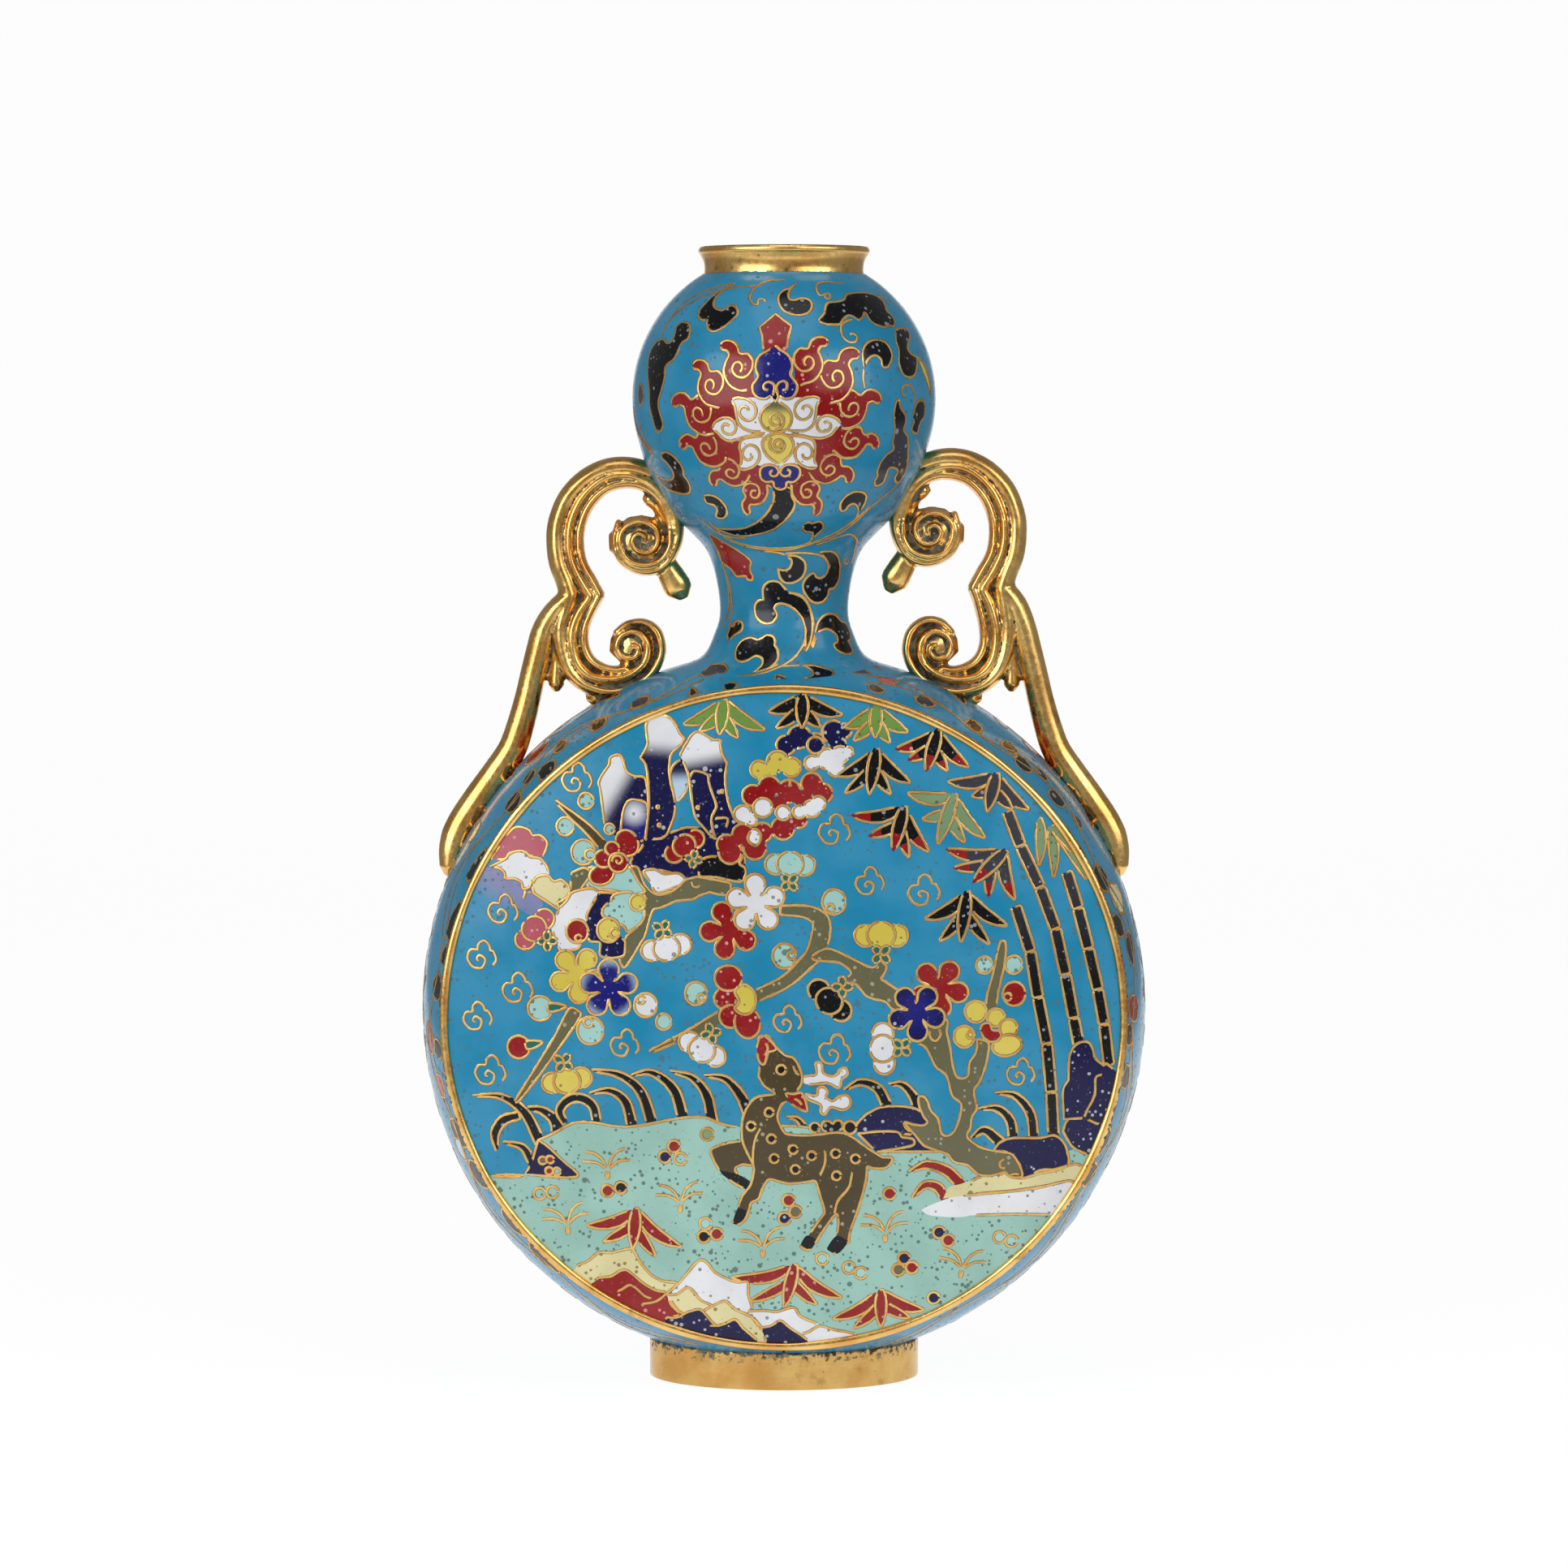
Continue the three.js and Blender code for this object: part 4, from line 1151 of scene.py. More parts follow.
def drifting_clouds(m):
    """The rose, white and cream clouds at the left edge and the small curls all over the sky."""
    m.cell(cornered(
        [(-65.2, 33.0), (-61.8, 33.1), (-60.4, 30.8), (-57.3, 30.6), (-56.0, 27.8), (-53.6, 27.8),
         (-52.2, 25.0), (-54.4, 22.8), (-57.8, 24.4), (-62.3, 24.4), (-66.9, 27.1), (-66.9, 31.0)],
    ), fade("lavender", "turquoise", (-58.4, 27.8), (-62.3, 22.7)), wire=False)
    m.curve([(-61.8, 33.1), (-60.6, 32.1), (-60.4, 30.7), (-58.4, 30.7), (-56.7, 29.8), (-56.0, 27.8),
             (-56.7, 26.1)])
    m.curve([(-56.0, 27.8), (-53.9, 27.7), (-51.9, 25.6)])
    m.cell(cornered(
        [(-63.5, 34.9), (-61.8, 37.3), (-61.3, 39.2)],
        [(-60.1, 40.0), (-58.7, 41.5), (-57.3, 41.9), (-55.3, 41.3)],
        [(-54.4, 40.0), (-52.7, 40.1), (-51.3, 38.7), (-51.6, 36.8)],
        [(-52.7, 35.1), (-55.0, 35.8)],
        [(-56.1, 36.6), (-57.8, 36.7), (-59.5, 36.2), (-60.6, 34.9)],
    ), "rose")
    m.cell(cornered(
        [(-63.7, 33.2), (-60.4, 34.9), (-59.5, 36.0), (-57.8, 36.7), (-56.0, 36.5)],
        [(-55.0, 35.5), (-52.7, 35.1)],
        [(-51.2, 33.4), (-50.8, 30.9)],
        [(-52.7, 29.8), (-54.4, 30.3)],
        [(-55.0, 28.9), (-56.4, 28.5)],
        [(-56.8, 30.0), (-58.4, 30.7), (-60.2, 30.7)],
        [(-60.6, 32.1), (-61.8, 33.0)],
    ), "white")
    m.cell(cornered(
        [(-54.4, 29.9), (-53.3, 31.2), (-51.1, 31.5), (-49.8, 30.3)],
        [(-48.2, 30.7), (-46.6, 29.3), (-46.4, 27.6), (-47.7, 26.2)],
        [(-49.1, 25.6), (-48.7, 24.2)],
        [(-50.5, 25.3), (-52.7, 26.7), (-54.2, 27.8)],
    ), "cream")
    cloud_curls(m, [(-44.8, 52.6), (-60.8, 24.1), (-65.5, 14.1), (-57.7, 7.1), (-66.5, 0.8), (-63.7, -11.0),
                    (-34.4, -4.7), (10.9, 41.6), (18.5, 30.5), (30.2, 28.5), (0.8, 0.6), (11.0, -6.0),
                    (51.3, -11.1)])


def stacked_clouds(m):
    """The bank of clouds in the middle: dark blue, yellow and white, red, white and red."""
    scallops(m, [(0.4, 59.7, 2.1), (3.3, 61.5, 2.5), (6.8, 60.2, 2.1)], "navy")
    scallops(m, [(6.8, 59.7, 1.8), (10.7, 62.5, 2.5), (13.0, 62.8, 1.6), (11.6, 59.7, 1.9)], "navy")
    scallops(m,
             [(6.0, 55.9, 1.6), (9.5, 56.7, 2.3), (12.1, 57.6, 1.9), (11.2, 54.7, 1.8), (13.9, 58.3, 1.1)],
             "white")
    scallops(m, [(-5.4, 54.5, 1.9), (-1.4, 56.2, 2.3), (1.6, 55.0, 2.1), (-3.7, 53.3, 2.1)], "yellow")
    scallops(m, [(-6.7, 48.9, 2.3), (-3.2, 50.8, 2.3), (1.1, 49.8, 2.5), (6.0, 51.5, 2.3), (8.4, 49.4, 2.1),
                 (4.2, 48.0, 2.1), (-3.7, 48.0, 1.8), (-1.1, 47.2, 1.6)], "red")
    scallops(m, [(-12.4, 38.4, 2.1), (-8.9, 40.5, 2.3), (-4.6, 41.0, 2.1), (-0.2, 41.9, 2.5),
                 (3.3, 43.7, 1.8), (-11.6, 36.7, 2.5), (-6.3, 37.6, 2.5)], "red")
    scallops(m, [(-8.9, 44.9, 1.9), (-4.6, 46.3, 2.1), (-7.2, 43.7, 1.4)], "white")
    scallops(m, [(-0.2, 45.2, 1.6), (3.3, 45.4, 1.4), (6.0, 46.1, 1.9), (7.4, 47.2, 1.6)], "white")
    m.blob([(-6.8, 41.7), (-5.4, 41.2), (-5.0, 39.5), (-5.9, 38.2), (-7.3, 38.7), (-7.8, 39.9)], "white")
    m.curve([(1.0, 53.4), (1.3, 51.8), (1.0, 50.1)])


def grasses(m):
    """Black blades that bend over the hill and around the rocks."""
    for tip_to_foot, widths in (
        ([(-62.4, -28.5), (-62.8, -24.8), (-60.9, -21.9), (-57.4, -20.8)], (0.6, 1.9, 2.0, 1.6)),
        ([(-56.4, -19.1), (-52.4, -19.6), (-49.6, -22.0), (-49.3, -25.3)], (0.5, 1.6, 2.3, 2.3)),
        ([(-67.6, -16.7), (-61.4, -16.7), (-56.2, -20.2), (-52.9, -26.8)], (0.3, 0.9, 1.6, 2.1, 2.2)),
        ([(-61.0, -26.8), (-56.7, -27.8), (-54.4, -31.6)], (0.4, 1.4, 2.0)),
        ([(-47.4, -22.4), (-48.6, -19.6), (-46.7, -17.2), (-43.8, -16.8), (-41.3, -18.6), (-40.5, -22.6)],
         (1.2, 1.8, 1.9, 1.9, 1.8)),
        ([(-42.0, -15.7), (-37.7, -15.1), (-34.3, -17.5), (-32.8, -23.2)], (0.4, 1.3, 1.9, 2.2)),
        ([(-41.5, -10.7), (-35.6, -11.6), (-30.9, -15.4), (-28.4, -23.0)], (0.4, 1.4, 2.0, 2.3)),
        ([(-33.0, -11.7), (-28.5, -11.1), (-23.8, -14.8), (-21.7, -21.7)], (0.4, 1.3, 2.0, 2.3)),
        ([(-24.5, -10.8), (-19.8, -12.2), (-16.7, -16.0), (-15.5, -21.9)], (0.4, 1.3, 2.0, 2.3)),
        ([(-17.2, -11.7), (-12.7, -12.4), (-9.4, -16.0), (-7.8, -19.8)], (0.4, 1.3, 2.0, 2.2)),
        ([(13.1, -14.8), (16.6, -13.1), (20.4, -14.6), (22.5, -18.9)], (0.4, 1.4, 2.0, 2.2)),
        ([(22.8, -13.6), (25.6, -13.7), (27.9, -16.1), (29.0, -19.4)], (0.4, 1.3, 1.8, 1.8)),
        ([(0.4, -20.8), (3.0, -21.2), (5.1, -24.1)], (0.3, 1.0, 1.5)),
        ([(40.6, -25.5), (43.5, -23.8), (47.1, -26.7)], (0.5, 1.7, 2.2)),
        ([(42.3, -19.1), (46.3, -19.1), (49.1, -21.8), (49.8, -26.3)], (0.4, 1.4, 1.9, 2.0)),
        ([(45.8, -15.7), (50.1, -16.3), (53.5, -20.4), (54.2, -26.4)], (0.4, 1.3, 1.9, 2.0)),
    ):
        blade(m, tip_to_foot, widths)


def hills(m):
    """The mint meadow, the dark rocks that rise from it, and the shore on the right."""
    m.cell(cornered(
        [(-53.4, -26.2), (-49.6, -24.4), (-45.8, -22.3), (-42.0, -22.0), (-38.2, -22.6), (-34.4, -23.0),
         (-29.7, -22.4), (-25.5, -21.5), (-20.7, -20.8), (-17.0, -20.8), (-13.2, -22.3), (-8.0, -23.0),
         (5.2, -23.0)],
        [(14.3, -28.4), (33.6, -28.3), (36.9, -29.0)],
        [(53.5, -31.6), (69.2, -31.9)],
        [(85, -80), (0, -90), (-85, -80)],
        [(-67.2, -34.0), (-56.3, -33.9)],
    ), "mint")
    m.cell(cornered(
        [(-53.4, -26.2), (-51.5, -27.3), (-48.2, -30.4), (-45.0, -34.1)],
        [(-56.3, -33.8)],
        [(-54.8, -31.2)],
    ), "navy")
    berries(m, 0.85, (-52.4, -30.6, "olive"), (-50.8, -30.4, "red"), (-51.0, -32.9, "red"),
            (-49.3, -33.0, "mint"))
    m.line([(-66.3, -34.1), (-61.0, -33.9), (-56.3, -33.9)])
    m.cell(cornered(
        [(19.9, -28.3), (16.2, -24.3), (16.1, -22.9), (25.6, -22.0)],
        [(28.4, -24.4), (30.3, -27.0), (33.9, -28.3)],
    ), "navy")
    m.cell(cornered(
        [(16.2, -24.4), (15.7, -22.4), (17.6, -20.3)],
        [(18.0, -20.0), (20.9, -18.6), (25.6, -18.4), (29.0, -19.2)],
        [(30.9, -21.3), (30.7, -22.8), (28.4, -22.8)],
        [(25.9, -21.9), (26.5, -23.4), (28.4, -24.7)],
        [(21.8, -23.9)],
    ), "navy")
    m.cell(cornered(
        [(16.0, -24.4), (20.4, -23.9), (24.4, -24.0)],
        [(25.6, -25.2), (27.9, -25.6), (28.0, -26.9), (24.6, -27.7)],
        [(19.9, -28.3)],
    ), "navy")
    scallops(m, [(6.7, -23.0, 1.1), (9.3, -22.7, 1.2), (11.7, -22.5, 1.1), (14.3, -23.0, 1.4),
                 (10.5, -23.6, 1.1)], "black")
    m.line([(19.9, -28.3), (33.9, -28.4)])


def rocks_and_bamboo(m):
    """Three jointed stalks on the right, the dark rocks at their feet and the pale shore below."""
    for nodes, width in (
        ([(61.2, 32.2), (63.7, 24.2), (66.0, 15.4), (68.1, 6.5), (69.5, -1.1), (70.6, -10.1)], 2.2),
        ([(48.3, 45.4), (51.2, 37.8), (55.4, 28.8), (58.8, 19.8), (61.0, 9.9), (62.8, 0.4), (64.0, -5.7)],
         2.2),
        ([(50.1, 24.9), (53.3, 15.0), (55.0, 5.0), (57.0, -5.1), (58.0, -15.7), (58.6, -26.5)], 2.2),
    ):
        bamboo(m, nodes, width, fade("slate", "black", (55, 40), (57, 4)))
    m.cell(cornered(
        [(69.2, -30.9), (63.5, -28.4), (61.8, -26.5)],
        [(60.6, -24.3), (61.3, -22.2), (63.4, -21.3), (65.3, -21.5), (69.2, -21.8)],
        [(78, -20), (78, -34)],
    ), "navy")
    m.cell(cornered(
        [(60.8, -21.7), (60.5, -15.5)],
        [(61.7, -13.1), (61.9, -7.9), (63.4, -5.3), (65.7, -4.8), (66.9, -6.1), (67.6, -8.4)],
        [(69.5, -10.1), (71.0, -10.4)],
        [(80, -20), (70, -23)],
        [(65.3, -21.5)],
    ), "navy")
    m.curve([(69.5, -12.0), (67.7, -12.7), (67.5, -16.5), (65.8, -19.9), (65.2, -21.5)])
    m.cell(cornered(
        [(45.5, -28.2), (46.9, -26.5), (49.7, -25.6), (55.4, -25.7), (58.7, -25.2), (60.9, -27.0),
         (61.8, -29.8), (61.7, -31.8)],
        [(58.8, -32.7), (55.4, -32.9), (52.6, -34.5)],
        [(50.7, -31.6), (48.8, -28.9)],
    ), "navy")
    m.cell(cornered(
        [(34.5, -38.8), (35.9, -36.3), (38.1, -35.7), (40.4, -35.2), (42.6, -34.1), (48.0, -33.5),
         (51.7, -34.5)],
        [(55.7, -33.4), (58.9, -33.0), (62.1, -31.9), (65.0, -32.4)],
        [(70, -40), (62, -38)],
        [(59.4, -35.8), (55.3, -36.6), (49.4, -37.3), (44.9, -37.6), (40.4, -38.0)],
    ), "cream")
    m.cell(cornered(
        [(29.8, -41.3), (31.4, -40.4), (34.1, -39.3), (35.0, -38.6), (40.4, -38.1), (44.9, -37.7),
         (49.4, -37.4), (55.3, -36.7), (59.4, -35.8), (63.0, -35.6)],
        [(66, -40), (62, -43)],
        [(58.1, -42.8), (49.5, -42.5), (40.4, -42.6), (32.3, -42.6)],
    ), "white")


def prunus_tree(m):
    """The old trunk, its branches and twigs."""
    m.cell(stroke([(-29.0, -6.6), (-20.1, -2.3), (-15.8, -0.1), (-7.4, 4.9), (0.1, 8.6), (4.4, 12.4),
                   (6.5, 14.8), (7.9, 18.5), (7.9, 22.0), (4.8, 23.9), (-0.8, 24.2)],
                  (0.6, 1.6, 2.4, 2.4, 2.6, 3.0, 3.4, 4.0, 3.6, 2.6, 1.9)), "olive")
    m.cell(cornered(
        [(6.0, 14.3), (9.5, 15.9), (14.2, 14.0), (18.9, 11.8)],
        [(20.8, 13.2), (22.2, 11.9)],
        [(21.0, 9.3), (24.6, 6.7)],
        [(25.5, 2.9), (23.6, 2.7), (21.8, 4.4), (18.0, 5.5), (15.6, 8.1)],
        [(13.1, 9.3), (14.5, 10.5), (13.5, 11.9), (11.4, 13.0), (6.7, 13.4)],
    ), "olive")
    m.cell(cornered(
        [(43.7, 2.3), (43.9, 5.6), (45.1, 9.8), (46.5, 16.4), (47.4, 17.4), (48.0, 16.4), (47.7, 12.2),
         (46.4, 6.5), (45.6, 2.3)],
    ), "olive")
    m.cell(cornered(
        [(-34.3, 32.0), (-33.4, 33.4), (-31.5, 33.2), (-30.1, 29.7), (-27.7, 27.6), (-24.9, 27.9),
         (-22.6, 29.3), (-21.2, 30.7)],
        [(-18.8, 31.4), (-14.1, 30.6), (-11.5, 29.8), (-12.5, 27.5)],
        [(-16.0, 28.1), (-18.3, 27.3), (-19.7, 26.5), (-23.0, 26.2), (-26.3, 24.8), (-28.2, 24.2)],
        [(-29.2, 21.7), (-29.9, 18.9), (-31.5, 16.1), (-34.3, 11.8)],
        [(-35.5, 13.2), (-34.8, 16.1), (-33.9, 18.6), (-31.0, 21.2), (-30.3, 23.6), (-31.0, 25.5),
         (-29.7, 26.7), (-32.4, 29.7)],
    ), "olive")
    m.curve([(-20.0, 30.9), (-19.7, 29.4), (-18.6, 29.2), (-18.0, 29.8)])
    m.cell(cornered(
        [(-58.5, -17.7), (-53.8, -10.1), (-49.5, -3.0), (-46.4, 2.7)],
        [(-43.8, 1.8), (-44.7, -0.1), (-50.0, -7.7), (-53.8, -13.0), (-57.5, -17.6)],
    ), "olive")
    m.cell(cornered(
        [(28.4, -4.4), (30.5, -5.5), (31.7, -7.5), (32.9, -9.9), (35.2, -11.8), (36.4, -16.1),
         (38.4, -18.0)],
        [(38.1, -20.9), (37.0, -23.8), (35.5, -24.9), (34.1, -24.3), (33.4, -21.3), (31.8, -19.4),
         (31.1, -17.4), (30.2, -16.3), (29.1, -16.6)],
        [(29.4, -18.9), (30.3, -20.8), (31.1, -21.8), (30.3, -22.6), (28.4, -22.5), (26.1, -21.9)],
        [(26.8, -23.0), (28.4, -24.7), (30.3, -27.0), (33.1, -28.1), (35.5, -29.0), (36.9, -30.7),
         (39.8, -31.5), (42.2, -33.5), (45.0, -33.8)],
        [(47.9, -33.0), (49.3, -34.2), (51.7, -34.1)],
        [(51.2, -31.6), (49.7, -29.4), (47.8, -28.7), (45.0, -28.3), (42.1, -27.3), (39.7, -25.2)],
        [(40.4, -23.3), (40.7, -20.9), (41.8, -18.8), (41.1, -15.2), (42.5, -12.9), (43.7, -9.5),
         (44.3, -4.8)],
        [(41.8, -3.8), (41.6, -6.7), (40.2, -9.0), (39.9, -11.6), (38.8, -12.4), (37.3, -11.9),
         (36.4, -9.0), (36.0, -5.7), (35.2, -2.4), (35.3, 0.3)],
        [(33.1, 1.0), (30.2, -1.4)],
    ), "olive")
    m.curve([(48.3, -30.1), (46.9, -30.8), (47.0, -32.0), (48.1, -32.3)])
    m.curve([(48.1, -34.2), (50.2, -33.5), (51.2, -33.9)])
    m.cell(stroke([(-49.4, 47.5), (-45.4, 44.1), (-42.1, 41.3), (-38.4, 37.2)], (0.4, 1.5, 1.9, 2.2)), "fawn")


def blossoms(m):
    """Prunus flowers, open and in bud."""
    m.blob([(-43.2, 32.4), (-41.5, 33.5), (-37.6, 34.1), (-33.6, 33.6), (-31.4, 30.2), (-30.0, 28.0),
            (-34.2, 28.0), (-38.1, 28.5), (-42.1, 29.0)], "seafoam")
    m.cell(cornered([(-46.0, 32.1), (-43.2, 33.2), (-41.8, 31.8)], [(-43.7, 29.0), (-46.0, 27.3)]), "olive")
    m.cell(cornered(
        [(-48.5, 24.6), (-47.1, 25.9), (-46.0, 27.7), (-44.0, 28.5), (-41.6, 28.8), (-40.2, 28.0)],
        [(-40.8, 26.4), (-42.3, 23.5), (-42.3, 21.6), (-43.8, 20.7), (-44.2, 16.0)],
        [(-48.5, 15.2), (-49.2, 17.3), (-50.4, 20.2), (-50.1, 22.0), (-49.0, 23.5)],
    ), "white")
    m.cell(cornered(
        [(-40.2, 27.9), (-38.1, 27.9), (-36.0, 27.6)],
        [(-36.7, 25.9), (-38.8, 24.9), (-39.3, 23.1), (-37.6, 21.2)],
        [(-34.3, 17.4), (-34.8, 14.2), (-39.5, 14.1), (-39.8, 17.0), (-41.9, 17.4), (-42.6, 19.3),
         (-42.7, 22.2), (-42.3, 23.8), (-40.8, 26.4)],
    ), "navy")
    m.cell(cornered(
        [(-37.4, 26.1), (-36.9, 27.3), (-34.8, 28.0), (-32.9, 27.9), (-31.0, 26.2), (-30.0, 23.6),
         (-31.0, 21.2)],
        [(-33.9, 19.3), (-34.8, 20.8), (-37.2, 22.1), (-39.0, 22.8)],
        [(-39.3, 24.2), (-38.6, 25.2)],
    ), "seafoam")
    round_bud(m, -31.6, 25.8, 1.7, 0, "yellow", 0.02)
    round_bud(m, -37.9, 19.8, 2.5, -25, "yellow", 0.42)
    round_bud(m, -44.7, 19.5, 2.4, -80, "red", 0.3)
    m.cell(oval(-33.9, 38.6, 2.4, 2.9, 25), "red")
    m.cell(oval(-39.4, 31.7, 2.7, 2.1, 20), "red")
    m.cell(oval(-39.0, 35.2, 1.9), "red")
    m.cell(oval(-37.1, 37.4, 1.5), "red")
    m.cell(oval(-35.8, 34.4, 2.1), "red")
    m.line(spiral(-35.8, 34.8, 1.5, -1.2, 200, 18, 0.2))
    round_bud(m, -42.8, 47.6, 1.7, 0, "seafoam", 0.02)
    round_bud(m, -47.3, 42.1, 1.9, 0, "seafoam", 0.02)
    round_bud(m, -43.4, 36.6, 2.6, -20, "seafoam", 0.45)
    round_bud(m, -37.7, 41.6, 1.1, 0, "mint", 0.02)
    bud(m, -19.5, 35.2, 125, "red", 0.86)
    bud(m, 1.2, 30.2, 88, "seafoam", 0.98)
    bud(m, -51.2, 17.3, 137, "rose", 0.95)
    bud(m, -26.3, 19.9, 283, "white")
    bud(m, -15.8, -2.5, 241, "white")
    bud(m, -47.8, -9.1, 281, "yellow")
    bud(m, 21.0, 14.6, 90, "yellow", 1.05)
    bud(m, 12.6, 7.6, 227, "black", 1.02)
    bud(m, 25.5, -5.6, 183, "white", 1.02)
    stalked_bud(m, -52.8, 2.7, 2.7, 5, "seafoam")
    stalked_bud(m, -57.5, -5.8, 2.5, 12, "red")
    round_bud(m, -41.9, -2.0, 2.9, 105, "seafoam")
    round_bud(m, -29.9, 3.6, 2.5, 130, "white")
    round_bud(m, -19.0, 6.2, 2.4, -40, "seafoam")
    round_bud(m, -26.0, 0.0, 1.7, 0, "seafoam", 0.02)
    round_bud(m, 10.8, 26.0, 2.6, -120, "seafoam")
    round_bud(m, 0.1, 14.3, 2.6, 5, "seafoam")
    round_bud(m, 43.3, 12.2, 1.8, 0, "seafoam", 0.02)
    round_bud(m, 49.7, 12.2, 1.9, 0, "seafoam", 0.02)
    round_bud(m, 49.8, 5.9, 2.5, 205, "red")
    blossom(m, -44.7, 10.1, 6.2, 58, "yellow")
    blossom(m, -37.9, 7.0, 6.5, 90, glow("cobalt", "ice", (-37.9, 7.0), 4.6, 7.0))
    blossom(m, -11.8, 19.9, 6.4, 112, "red")
    blossom(m, -6.1, 25.6, 6.5, 92, "white")
    m.cell(oval(-12.7, 5.1, 2.4), "red")
    m.cell(oval(-12.0, 9.5, 3.0, 2.8, 0), "red")
    m.cell(oval(-11.5, 1.2, 2.5), "red")
    m.cell(oval(-7.9, -0.2, 2.8, 3.4, 10), "red")
    m.blob([(-10.6, 6.7), (-8.7, 8.2), (-6.6, 6.8), (-6.0, 4.4), (-7.1, 2.0), (-9.2, 1.7), (-10.7, 3.0),
            (-9.7, 4.4)], "yellow")
    blossom(m, 33.6, 7.3, 6.4, 131, "red")
    blossom(m, 28.7, 2.0, 6.3, 128, glow("cobalt", "navy", (28.7, 2.0), 2.5, 6.0))
    m.curve([(31.6, -1.4), (31.6, -3.3), (32.8, -4.2), (33.9, -2.8), (33.4, -1.4)])
    m.cell(oval(41.5, 2.1, 2.4), "yellow")
    m.cell(oval(45.9, 0.8, 2.0), "yellow")
    m.cell(oval(48.6, -1.5, 2.0), "yellow")
    m.cell(oval(48.3, -5.3, 3.3, 2.3, 12), "yellow")
    round_bud(m, 39.0, -3.3, 2.3, 15, "yellow")
    m.blob([(42.5, -1.7), (43.2, -0.5), (44.6, -0.5), (45.1, -1.9), (46.5, -2.1), (47.0, -3.2),
            (46.1, -4.3), (44.4, -4.4), (43.1, -3.4)], "red")


